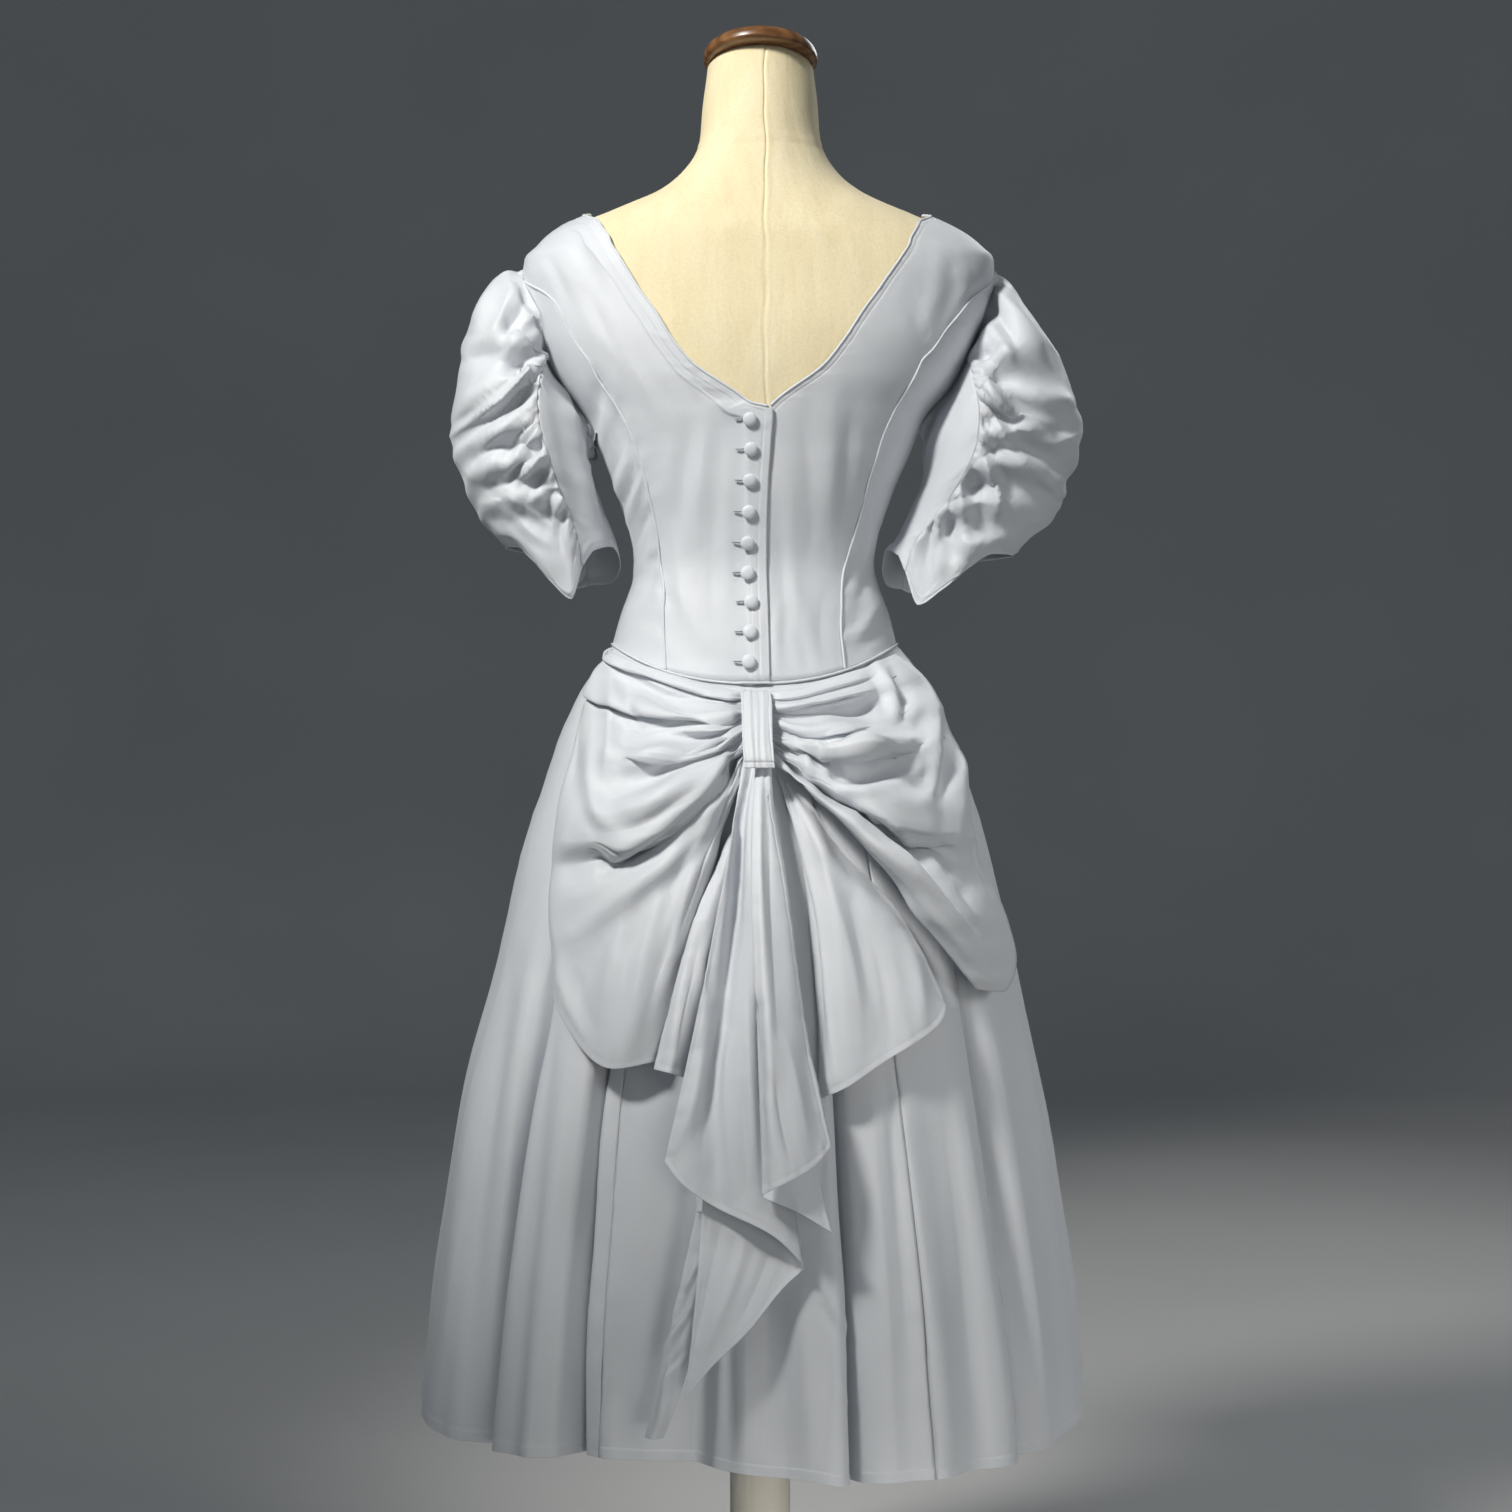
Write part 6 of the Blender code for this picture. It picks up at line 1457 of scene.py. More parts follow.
    # a narrow stitched hem
    p = rehem(p, HEM_STEPS, 0)
    n2 = grid_normals(p)
    n2 = n2 * np.sign((n2[60:-20, 20:-20] * rehem(n, HEM_STEPS, 0)[60:-20, 20:-20]).sum())
    dist = run_along(p[::-1], 0)[::-1]
    p = p + n2 * (hem_shape(dist, run_along(p, 1), 91 + side, 7.0 * MM, 0.9))[..., None]
    n2 = grid_normals(p)
    n2 = n2 * np.sign((n2[60:-20, 20:-20] * rehem(n, HEM_STEPS, 0)[60:-20, 20:-20]).sum())
    n2 = unit(smooth_grid(n2, 2, False))
    cloth("puff_%s_cloth" % tag, p, n2, ["sleeve_puff_" + tag], thick=0.8 * MM, seams="lr")
    # under sleeve, plain, with its own hem
    q1 = np.linspace(0, 1, 60)
    a1 = np.linspace(0, 1, 110)
    Q, A = np.meshgrid(q1, a1)
    p, n = under(table, side, Q, A)
    n0 = n
    edge_in = np.minimum(run_along(p, 1), run_along(p[:, ::-1], 1)[:, ::-1])
    seam_run = run_along(p, 0)[:, :1]
    pull = sum(np.sin(seam_run * 2 * np.pi / w_ + ph) * a_ for w_, a_, ph in ((0.009, 0.5, 0.3), (0.016, 0.8, 1.7), (0.029, 0.7, 4.4)))
    p = p + n * (0.5 * MM * pull * np.exp(-edge_in / 0.009) * step(edge_in / 0.002) * step(seam_run / 0.02))[..., None]
    p = soft(p, n, 0.06, 0.8 * MM, 101 + side)
    p = p + n * (1.5 * crease(p, UNDER_CREASES))[..., None]
    p = meet(p, side)
    dist = run_along(p[::-1], 0)[::-1]
    p = p + n * hem_shape(dist, run_along(p, 1), 95 + side, 7.0 * MM, 0.9)[..., None]
    cloth("under_%s_cloth" % tag, p, n0, ["sleeve_under_" + tag], thick=0.8 * MM, seams="lr")



# ------------------------------------------------------------------ skirt
SKIRT_CREASES = [
    (-138.6, 961.2, -147.6, 939.6, -157.5, 914.4, 5, -1.8),
    (122.4, 950.4, 131.4, 923.4, 142.2, 896.4, 5, -1.8),
    (113.4, 572.4, 126, 464.4, 144.9, 230.4, 3, -2.2),
    (100.8, 563.4, 108, 446.4, 118.8, 248.4, 7, 1.8),
    (127.8, 554.4, 148.5, 392.4, 171, 239.4, 8, 1.8),
    (-54, 554.4, -72, 419.4, -108, 248.4, 6, -1.6),
    (-220.5, 680.4, -243, 536.4, -268.2, 284.4, 9, -2.6),
    (-207, 662.4, -223.2, 518.4, -247.5, 284.4, 8, 2.4),
    (-183.6, 635.4, -198, 500.4, -216, 257.4, 6, -2),
    (-252, 572.4, -268.2, 464.4, -282.6, 302.4, 7, 2),
    (-144, 572.4, -153, 428.4, -153, 248.4, 8, 1.8),
    (-121.5, 572.4, -126, 428.4, -126, 248.4, 9, -1.6),
    (180, 635.4, 202.5, 482.4, 243, 293.4, 9, -2.4),
    (225, 653.4, 247.5, 509.4, 270, 329.4, 8, -2),
    (202.5, 635.4, 225, 500.4, 256.5, 302.4, 8, 2),
    (0, 419.4, 9, 338.4, 10.8, 239.4, 9, -2),
    (36, 383.4, 41.4, 302.4, 43.2, 221.4, 7, 1.8),
    (-18, 338.4, -16.2, 284.4, -16.2, 234.9, 7, 1.6),
    (59.4, 410.4, 61.2, 320.4, 59.4, 221.4, 6, -2),
    (50.4, 388.8, 64.8, 369, 78.3, 347.4, 2.8, 1.6),
    (46.8, 378, 61.2, 358.2, 73.8, 338.4, 3, -1.5),
    (66.6, 304.2, 72, 291.6, 77.4, 282.6, 3.6, 1),
    (90.9, 343.8, 102.6, 360, 115.2, 372.6, 3.2, -1.2),
    (91.8, 302.4, 106.2, 327.6, 120.6, 347.4, 4, 1.1),
    (37.8, 288, 28.8, 266.4, 21.6, 246.6, 5, 1.1),
    (95.4, 248.4, 111.6, 266.4, 127.8, 280.8, 4, -1.1),
]
names = [row[0] for row in FOLDS]
seams = [i for i, nm in enumerate(names) if nm == "SEAM"]
last = len(FOLDS) - 1
W1 = np.unique(np.round(np.concatenate([np.linspace(0, 0.12, 26), np.linspace(0.12, 1.0, 96)]), 5))
# loose lesser folds: turn at hem, height at hem, width in degrees, where they start
LESSER = [(-172, 3, 4, .3), (-147, -3, 3, .2), (-124, -5, 3, .25), (-115, 4, 4, .1), (-105, -3, 3, .4), (-85, -4, 3, .3), (-74, -4, 3.2, .2), (-62, 3, 3, .45),
          (-54, -3, 1.6, .5), (-41, -3, 1.6, .35), (-36, 3, 1.5, .5), (-24, 4, 2.2, .5), (-16, -4, 2.5, .6), (-3, 4, 3, .5), (5, -3, 2.2, .55), (10.5, 3, 1.6, .5),
          (24, -4, 1.6, .45), (32, 4, 2.4, .4), (38.5, -5, 2.0, .3), (54, 3, 2.5, .5), (61, -4, 3, .3), (74, -4, 3, .2), (86, 4, 4, .4), (108, -4, 3, .3),
          (118, -4, 3, .2), (127, 4, 3, .4), (143, -4, 3, .3), (163, 3, 3, .4), (176, -4, 3, .3)]


SLITS = [(i, 7.5, 3.0) for i, row in enumerate(FOLDS) if row[0] == "valley" and row[3] <= -40] + \
        [(i, 4.0, 1.5) for i, row in enumerate(FOLDS) if row[0] == "valley" and -40 < row[3] <= -30]


def skirt_gore(name, nodes, rows, turned=None):
    p, n = [], []
    for a, b in rows:
        r = []
        for i in range(a, b):
            steep = names[i] == "valley" or names[i + 1] == "valley"
            m = 16 if steep else 9
            r.extend(list(i + np.arange(m) / m))
        r.append(b)
        R, W = np.meshgrid(np.array(r, float), W1)
        q, m_ = skirt(R, W)
        # the folds wander a little on their way down
        turn = pchip(np.arange(len(FOLDS)), np.degrees(FOLD_H), R)
        extra = np.zeros_like(R)
        for at, high, wide, start in LESSER:
            drift = 1.2 * np.sin(W * 4 + at) + 0.5 * np.sin(W * 9 + at * 2)
            extra += high * MM * np.exp(-((turn - at - drift) / wide) ** 2) * step((W - start) / (1 - start)) ** 0.9
        for at, over, stand in SLITS:
            if a - 1 <= at <= b + 1:
                extra -= 2.2 * over * MM * np.exp(-np.abs(R - at) / 0.28) * W ** 1.2
        q = q + m_ * extra[..., None]
        # deep folds close up: the lip on one side hangs over the slit
        side_ways = unit(np.gradient(q, axis=1))
        for at, over, stand in SLITS:
            if a - 1 <= at <= b + 1:
                u = R - at
                lip = np.exp(-((u + 0.72) / 0.34) ** 2)
                other = np.exp(-((u - 0.72) / 0.34) ** 2)
                q = q + (side_ways * (over * MM * lip - 0.35 * over * MM * other)[..., None] + m_ * (stand * MM * lip)[..., None]) * (W ** 1.1)[..., None]
        if p:
            q, m_ = q[:, 1:], m_[:, 1:]
        p.append(q)
        n.append(m_)
    p, n = np.concatenate(p, 1), np.concatenate(n, 1)
    p[0, :, 2] -= 0.6 * MM
    n0 = n
    edge_in = np.minimum(run_along(p, 1), run_along(p[:, ::-1], 1)[:, ::-1])
    down = run_along(p, 0)
    fine_n = grid_normals(smooth_grid(p, 2, False))
    fine_n = fine_n * np.sign((fine_n * n0).sum())
    p = p + fine_n * (waves(p, 0.16, hash_of(name), 10) * 1.6 * MM * step(down / 0.08))[..., None]
    # seams draw the cloth up into small puckers
    seam_run = down[:, :1]
    pucker = sum(np.sin(seam_run * 2 * np.pi / w_ + ph + hash_of(name)) * a_ for w_, a_, ph in ((0.012, 0.6, 0.3), (0.021, 0.8, 1.9), (0.037, 0.8, 4.4)))
    p = p + fine_n * (0.75 * MM * pucker * np.exp(-edge_in / 0.010) * step(edge_in / 0.0015) * step((down - 0.05) / 0.1)
                      - 1.1 * MM * np.exp(-(edge_in / 0.004) ** 2) * step((down - 0.03) / 0.1))[..., None]
    # small pleats just under the waist seam
    around = run_along(p, 1)[40:41]
    tiny = sum(np.abs(np.sin(around * np.pi / w_ + ph)) * a_ for w_, a_, ph in ((0.017, 0.8, 0.3), (0.027, 1.0, 1.1)))
    p = p + fine_n * (1.1 * MM * (tiny - 1.1) * np.exp(-((down - 0.02) / 0.03) ** 2) * step(down / 0.006))[..., None]
    p = p + fine_n * (1.5 * crease(p, SKIRT_CREASES))[..., None]
    p = rehem(p, HEM_STEPS, 0)
    n2 = grid_normals(p)
    q0 = rehem_normals(n0, p)
    n2 = n2 * np.sign((n2 * q0).sum())
    dist = run_along(p[::-1], 0)[::-1]
    p = p + n2 * hem_shape(dist, run_along(p, 1), hash_of(name), 9.0 * MM, 0.9)[..., None]
    n2 = grid_normals(p)
    n2 = unit(smooth_grid(n2 * np.sign((n2 * q0).sum()), 1, False))
    cloth(name, p, n2, nodes, thick=0.9 * MM, seams="lr")


def hash_of(name):
    return sum(ord(c) * (i + 3) for i, c in enumerate(name)) % 97


def rehem_normals(n, p):
    """Old normals stretched onto a grid with more rows."""
    i = np.linspace(0, n.shape[0] - 1, p.shape[0]).round().astype(int)
    return n[i]


skirt_gore("skirt_side_front_left_cloth", ["skirt_side_front_left"], [(seams[0], seams[1])])
skirt_gore("skirt_side_back_left_cloth", ["skirt_side_back_left"], [(seams[1], seams[2])])
skirt_gore("skirt_back_cloth", ["skirt_back"], [(seams[2], seams[3])])
skirt_gore("skirt_side_back_right_cloth", ["skirt_side_back_right"], [(seams[3], seams[4])])
skirt_gore("skirt_side_front_right_cloth", ["skirt_side_front_right"], [(seams[4], seams[5])])
skirt_gore("skirt_front_cloth", ["skirt_front"], [(seams[5], last), (0, seams[0])])



# ------------------------------------------------------------------ bustle
BUSTLE_CREASES = [
    (-19.8, 907.2, -63, 914.4, -117, 943.2, 3, 3),
    (-18, 899.1, -54, 903.6, -99, 914.4, 4.6, -4.5),
    (-18, 893.7, -54, 887.4, -121.5, 880.2, 3.2, 3.2),
    (-19.8, 878.4, -40.5, 874.8, -72, 867.6, 6.5, -5.5),
    (-50.4, 899.1, -34.2, 898.2, -19.8, 898.2, 6, -4),
    (-121.5, 914.4, -113.4, 900, -108, 883.8, 3, -2),
    (-133.2, 946.8, -134.1, 887.4, -142.2, 831.6, 6, 3.2),
    (-158.4, 923.4, -167.4, 878.4, -171, 824.4, 8, -3.4),
    (-151.2, 873.9, -149.4, 824.4, -131.4, 797.4, 6, 3),
    (-145.8, 828.9, -108, 842.4, -59.4, 874.8, 7, -4.2),
    (-135, 860.4, -99, 864, -63, 876.6, 7, 2.4),
    (-108, 813.6, -79.2, 833.4, -50.4, 853.2, 7, 2.8),
    (-144, 797.4, -108, 801, -79.2, 819, 7, -2.2),
    (-19.8, 871.2, -54, 819, -140.4, 759.6, 4, -7.5),
    (-34.2, 846, -81, 795.6, -153, 763.2, 8, 5),
    (-19.8, 849.6, -63, 786.6, -180, 694.8, 7, 3.6),
    (-180, 833.4, -193.5, 779.4, -197.1, 716.4, 7, -2.6),
    (-144, 702.9, -162, 662.4, -171, 617.4, 9, -2.8),
    (-118.8, 729.9, -133.2, 662.4, -140.4, 594.9, 8, 2.6),
    (-54, 779.4, -82.8, 698.4, -108, 599.4, 9, -3.2),
    (-90, 734.4, -108, 662.4, -124.2, 590.4, 7, 2.2),
    (-40.5, 810.9, -63, 752.4, -82.8, 689.4, 6, 2.4),
    (-27, 833.4, -48.6, 772.2, -75.6, 691.2, 5, -3),
    (-180, 680.4, -174.6, 644.4, -153, 603.9, 6, 1.8),
    (-16.2, 833.4, -22.5, 734.4, -34.2, 626.4, 4.5, -3.2),
    (-34.2, 635.4, -41.4, 581.4, -52.2, 509.4, 5.5, -4),
    (-7.2, 842.4, -7.2, 752.4, -3.6, 644.4, 5, 2.6),
    (-2.7, 644.4, 0, 563.4, 1.8, 477.9, 4, -3.2),
    (7.2, 824.4, 10.8, 734.4, 16.2, 608.4, 5, -2),
    (-27, 608.4, -28.8, 554.4, -27, 473.4, 6, 2.6),
    (-54, 590.4, -63, 545.4, -75.6, 509.4, 5, 2.2),
    (22.5, 608.4, 32.4, 563.4, 43.2, 509.4, 6, 2.2),
    (13.5, 572.4, 19.8, 536.4, 27, 500.4, 5, -2.2),
    (-54, 680.4, -50.4, 644.4, -54, 608.4, 4, 1.6),
    (-16.2, 563.4, -13.5, 518.4, -10.8, 464.4, 5, -2),
    (11.7, 907.2, 63, 910.8, 102.6, 923.4, 3.6, 3.4),
    (57.6, 908.1, 81, 901.8, 102.6, 914.4, 5.5, -3.4),
    (11.7, 889.2, 46.8, 885.6, 73.8, 887.4, 4.2, -3),
    (13.5, 900, 63, 898.2, 108, 903.6, 5, 2.6),
    (104.4, 946.8, 117, 923.4, 123.3, 900, 4.4, 4.4),
    (119.7, 936, 129.6, 912.6, 127.8, 891, 5, -3.6),
    (73.8, 876.6, 100.8, 874.8, 122.4, 885.6, 11, 8),
    (61.2, 849.6, 108, 853.2, 148.5, 874.8, 7, -8.5),
    (73.8, 885.6, 97.2, 878.4, 112.5, 871.2, 3, -1.6),
    (41.4, 880.2, 57.6, 860.4, 59.4, 837.9, 4.5, 3.2),
    (16.2, 887.4, 36, 869.4, 49.5, 837.9, 5, 3),
    (13.5, 871.2, 27, 867.6, 37.8, 860.4, 2.4, -2.4),
    (59.4, 851.4, 63, 842.4, 72, 831.6, 8, -3),
    (127.8, 946.8, 153, 914.4, 160.2, 873.9, 6, 3.4),
    (160.2, 873.9, 159.3, 846.9, 148.5, 824.4, 5, 3.2),
    (166.5, 896.4, 169.2, 860.4, 158.4, 833.4, 5.5, -5),
    (175.5, 869.4, 180, 833.4, 178.2, 779.4, 7, 3.8),
    (130.5, 900, 142.2, 889.2, 136.8, 876.6, 6, -2.4),
    (122.4, 876.6, 136.8, 878.4, 145.8, 889.2, 4, 2),
    (91.8, 810.9, 130.5, 779.4, 190.8, 709.2, 3.6, -8.5),
    (108, 786.6, 148.5, 752.4, 202.5, 689.4, 9, 5.5),
    (91.8, 819, 126, 795.6, 171, 756, 7, 3),
    (139.5, 783, 156.6, 772.2, 158.4, 763.2, 6, 3.4),
    (76.5, 813.6, 108, 795.6, 139.5, 779.4, 4, 2.2),
    (191.7, 785.7, 198, 765, 207, 741.6, 2.6, -4),
    (180, 779.4, 187.2, 752.4, 184.5, 734.4, 7, -2),
    (126, 734.4, 162, 711.9, 207, 680.4, 9, 2.6),
    (153, 716.4, 180, 702.9, 216, 702.9, 8, -1.8),
    (180, 680.4, 202.5, 662.4, 219.6, 671.4, 8, 2),
    (54, 824.4, 90, 797.4, 135, 752.4, 5, 1.8),
    (21.6, 833.4, 41.4, 734.4, 55.8, 590.4, 9, -8),
    (36, 824.4, 64.8, 734.4, 81, 608.4, 9, 2),
    (27, 846.9, 81, 779.4, 130.5, 729.9, 9, -5),
    (63, 752.4, 81, 680.4, 91.8, 590.4, 8, 2.6),
    (97.2, 707.4, 112.5, 653.4, 117, 599.4, 7, -2.4),
    (130.5, 698.4, 142.2, 662.4, 145.8, 617.4, 6, 2),
    (79.2, 734.4, 91.8, 680.4, 100.8, 635.4, 5, -1.6),
    (40.5, 752.4, 55.8, 662.4, 67.5, 572.4, 5, 2.2),
    (-43.2, 752.4, -61.2, 689.4, -79.2, 608.4, 4, 2.2),
    (-52.2, 707.4, -63, 662.4, -73.8, 599.4, 4, -2.2),
    (-36, 437.4, -49.5, 374.4, -63, 311.4, 4.5, -2),
    (-13.5, 428.4, -27, 383.4, -49.5, 329.4, 5, 1.8),
    (9, 419.4, -4.5, 383.4, -22.5, 347.4, 4, -1.4),
    (-72, 374.4, -82.8, 311.4, -91.8, 257.4, 3.5, 1.6),
    (-91.8, 313.2, -79.2, 338.4, -63.9, 367.2, 2.6, 2.2),
    (-88.2, 308.7, -77.4, 318.6, -69.3, 329.4, 2.2, -1.8),
    (-72, 374.4, -63, 392.4, -56.7, 408.6, 2.2, 1.8),
    (-81, 345.6, -70.2, 363.6, -63, 383.4, 2.2, -1.8),
]


def near_rows(centres, spread=0.35, count=9):
    return np.concatenate([c + np.linspace(-spread, spread, count) for c in centres])


def fan_cloth(name, node, rows, s_n, k_n, tucks=(), hems="e", seed=1, wobble=1.2, pleats=0.0,
              thick=0.9 * MM, creases=True, gather_start=0.0, hem_rows=None, roll=None, smooth=10, hem_strong=1.1):
    """Cloth through fold lines, with folded-over tucks, creases and hems.
    tucks: row, how far its edge hangs over (mm), how far it stands out (mm), where it starts and ends."""
    last_row = len(rows) - 1
    s = np.linspace(0, 1, s_n)
    s = np.unique(np.round(np.concatenate([s, np.linspace(0, 0.2, s_n // 5)]), 5))
    k = [np.linspace(0, last_row, k_n)]
    for t in tucks:
        k.append(near_rows([t[0] + 0.08], 0.45, 21))
    k = np.unique(np.round(np.clip(np.concatenate(k), 0, last_row), 4))
    p = fan(rows, s, k)
    S, K = np.meshgrid(s, k)
    for _ in range(smooth):
        # soften the fold lines, evenly over the rows
        dk = np.diff(k)
        a, b = dk[1:], dk[:-1]
        wa, wb = (b / (a + b))[:, None, None], (a / (a + b))[:, None, None]
        mid_ = p[:-2] * (1 - wa) + p[2:] * wa
        p[1:-1] = p[1:-1] * 0.5 + mid_ * 0.5
    n = grid_normals(smooth_grid(p, 2, False))
    n = n * (1 if n[..., 1].mean() < 0 else -1)
    n = unit(smooth_grid(n, 4, False))
    down = np.gradient(p, axis=0)
    down = unit(down)
    for at, over, out, s0, s1 in tucks:
        m = step((S - s0) / 0.14) * step((s1 - S) / 0.16)
        u = K - at - 0.10 * np.sin(S * 6 + at)
        lip = np.where(u < 0, np.exp(-(u / 0.55) ** 2), np.exp(-(u / 0.085) ** 2))
        under_ = np.where(u > 0, np.exp(-((u - 0.24) / 0.15) ** 2), 0)
        hang = np.where(u < 0, np.exp(-(u / 0.40) ** 2), np.exp(-(u / 0.10) ** 2))
        p = p + n * ((out * MM * lip - 0.75 * out * MM * under_) * m)[..., None] + down * (over * MM * (hang - 0.35 * under_) * m)[..., None]
    if gather_start:
        # fine gathers fan out from under the strap
        run = run_along(p, 1)
        ph = K * 2 * np.pi * gather_start + 0.8 * np.sin(K * 2.3)
        p = p + n * (1.8 * MM * (np.abs(np.sin(ph / 2)) ** 0.8 * 2 - 1.2) * np.exp(-run / 0.035))[..., None]
    p = p + n * (waves(p, 0.075, seed, 12) * wobble * MM * step(S / 0.1))[..., None]
    if pleats:
        p = p + n * (pleats * MM * np.sin(K * 2.9 + seed) * S)[..., None]
    if creases:
        p = p + n * (1.5 * crease(p, BUSTLE_CREASES))[..., None]
    if "e" in hems:
        p, n = rehem(p, HEM_STEPS, 1), stretch(n, 1)
    if "b" in hems:
        p, n = rehem(p, HEM_STEPS, 0), stretch(n, 0)
    if "t" in hems:
        p, n = rehem(p[::-1], HEM_STEPS, 0)[::-1], stretch(n, 0)
    m_ = grid_normals(p)
    m_ = m_ * np.sign((m_ * n).sum())
    dists = []
    if "e" in hems:
        dists.append(run_along(p[:, ::-1], 1)[:, ::-1])
    if "b" in hems:
        dists.append(run_along(p[::-1], 0)[::-1])
    if "t" in hems:
        dists.append(run_along(p, 0))
    if dists:
        dist = np.minimum.reduce(dists)
        along = np.where(dist == dists[0], run_along(p, 0), run_along(p, 1))
        k_here = np.interp(np.linspace(0, 1, p.shape[0]), np.linspace(0, 1, len(k)), k)[:, None]
        part = step((k_here - hem_rows[0]) / 0.6) * step((hem_rows[1] - k_here) / 0.6) if hem_rows else 1.0
        p = p + m_ * (hem_shape(dist, along, seed, 5.0 * MM, hem_strong) * part)[..., None]
    if roll:
        # this edge turns back under the cloth in a soft roll
        k_here = np.interp(np.linspace(0, 1, p.shape[0]), np.linspace(0, 1, len(k)), k)[:, None]
        part = step((k_here - roll[0]) / 0.8) * step((roll[1] - k_here) / 1.2)
        edge = run_along(p[:, ::-1], 1)[:, ::-1]
        under_ = np.clip(1 - edge / (roll[2] * MM), 0, 1) ** 2
        p = p - m_ * (roll[3] * MM * under_ * part)[..., None]
    m_ = grid_normals(p)
    m_ = unit(smooth_grid(m_ * np.sign((m_ * n).sum()), 2, False))
    return cloth(name, p, m_, [node], thick=thick)


def stretch(n, axis):
    count = n.shape[axis] + len(HEM_STEPS)
    i = np.linspace(0, n.shape[axis] - 1, count).round().astype(int)
    return np.take(n, i, axis=axis)


fan_cloth("swag_left_cloth", "bustle_left", SWAG_LEFT, 130, 190,
          tucks=[(1.0, 6, 5, 0.0, 1.05), (3.0, 7, 6, 0.0, 1.05), (5.0, 6, 4, 0.0, 0.75), (8.35, 12, 9, 0.04, 0.80)],
          hems="e", seed=4, gather_start=2.0, hem_rows=(11.2, 14.6), roll=(0.3, 11.6, 22, 13), hem_strong=0.6)
fan_cloth("swag_right_cloth", "bustle_right", SWAG_RIGHT, 130, 190,
          tucks=[(1.0, 4, 3, 0.0, 0.85), (2.0, 6, 5, 0.0, 0.8), (4.0, 5, 5, 0.0, 0.7), (6.0, 8, 6, 0.15, 0.72), (9.2, 9, 6, 0.35, 0.90)],
          hems="", seed=8, gather_start=2.0)
fan_cloth("fall_right_cloth", "bustle_fall_right", FALL_RIGHT, 120, 90, hems="eb", seed=12, wobble=0.9, gather_start=0.5, smooth=90)
fan_cloth("tail_second_cloth", "bustle_tail_second", TAIL_SECOND, 90, 60, hems="et", seed=16, wobble=0.6)
fan_cloth("tail_left_cloth", "bustle_tail_left", TAIL_LEFT, 150, 90, hems="et", seed=20, wobble=0.6, gather_start=0.45, smooth=44)
fan_cloth("tail_right_cloth", "bustle_tail_right", TAIL_RIGHT, 130, 80, hems="etb", seed=24, wobble=0.8, smooth=16)
fan_cloth("tail_middle_cloth", "bustle_tail_middle", TAIL_MIDDLE, 50, 60, hems="eb", seed=28, wobble=0.4)
fan_cloth("tail_end_cloth", "bustle_tail_end", TAIL_END, 90, 90, hems="et", seed=32, wobble=0.6, smooth=40)
fan_cloth("tail_strip_cloth", "bustle_tail_strip", TAIL_STRIP, 90, 44, hems="et", seed=36, wobble=0.4)

# ------------------------------------------------------------------ strap
STRAP = [(-18, 922, 14, 9), (-17, 914, 26, 9), (-16.5, 900, 36, 10), (-16, 880, 40, 10.5), (-15, 864, 40, 11), (-14, 853, 36, 12)]
table = np.array(STRAP, float) * MM
tt = np.linspace(0, 1, 90)
idx = np.arange(len(STRAP)) / (len(STRAP) - 1)
left_at, up_at, lift_at = (pchip(idx, table[:, i], tt) for i in (0, 1, 2))
cols = []
ff = np.linspace(0, 1, 56)
for f in ff:
    across = left_at + f * 27.5 * MM
    lift = lift_at + 1.0 * MM * math.sin(f * math.pi)
    y = np.zeros(len(tt))
    for _ in range(10):
        x, z = seen(across, up_at, y)
        y = skirt_back(x * 0 - 0.004, z) - lift
    cols.append(np.stack([x, y, z], -1))
p = np.stack(cols, 1)
n = grid_normals(p)
n = n * (-1 if n[..., 1].mean() > 0 else 1)
F, T_ = np.meshgrid(ff, tt)
# folded edges, two rows of stitches and soft ridges between them
shape = 0
for at, wide, high in ((0.085, 0.018, -0.9), (0.915, 0.018, -0.9), (0.29, 0.05, 0.9), (0.40, 0.018, -0.5), (0.60, 0.05, -0.8), (0.72, 0.05, 0.7), (0.0, 0.03, -0.6), (1.0, 0.03, -0.6)):
    shape = shape + high * MM * np.exp(-((F - at - 0.02 * np.sin(T_ * 7 + at * 9)) / wide) ** 2)
shape = shape + 0.5 * MM * (np.exp(-((1 - T_) / 0.05) ** 2)) - 0.6 * MM * np.exp(-((1 - T_ - 0.10) / 0.018) ** 2)
p = p + n * (shape + waves(p, 0.018, 44) * 0.25 * MM)[..., None]
cloth("strap_cloth", p, n, ["bustle_strap"], thick=1.5 * MM)



# ------------------------------------------------------------------ dress form
FORM_BOTTOM, NECK_TOP, NECK_TILT = 776 * MM, 1486 * MM, math.radians(14.5)
CAP_R, CAP_H, BASE_R, BASE_H, POLE_R = 51.5 * MM, 17 * MM, 190 * MM, 20 * MM, 27 * MM
even = np.linspace(-math.pi, math.pi, 181)[:-1]
turns = np.sort(np.concatenate([even, np.linspace(-0.12, 0.2, 60)]))
turns = turns[np.concatenate([[True], np.diff(turns) > 1e-4])]
ups = np.concatenate([np.linspace(FORM_BOTTOM, 1.15, 30), np.linspace(1.155, 1.42, 96), np.linspace(1.4225, NECK_TOP, 24)])
T, U = np.meshgrid(turns, ups)
torso, normal = body(T, U, 0.0)
torso = torso + normal * (-FORM_GAP)
for _ in range(14):
    # even out the slope from ring to ring
    torso[31:-1] = torso[31:-1] * 0.5 + 0.25 * (torso[32:] + torso[30:-2])
neck_centre = torso[-1].mean(0)
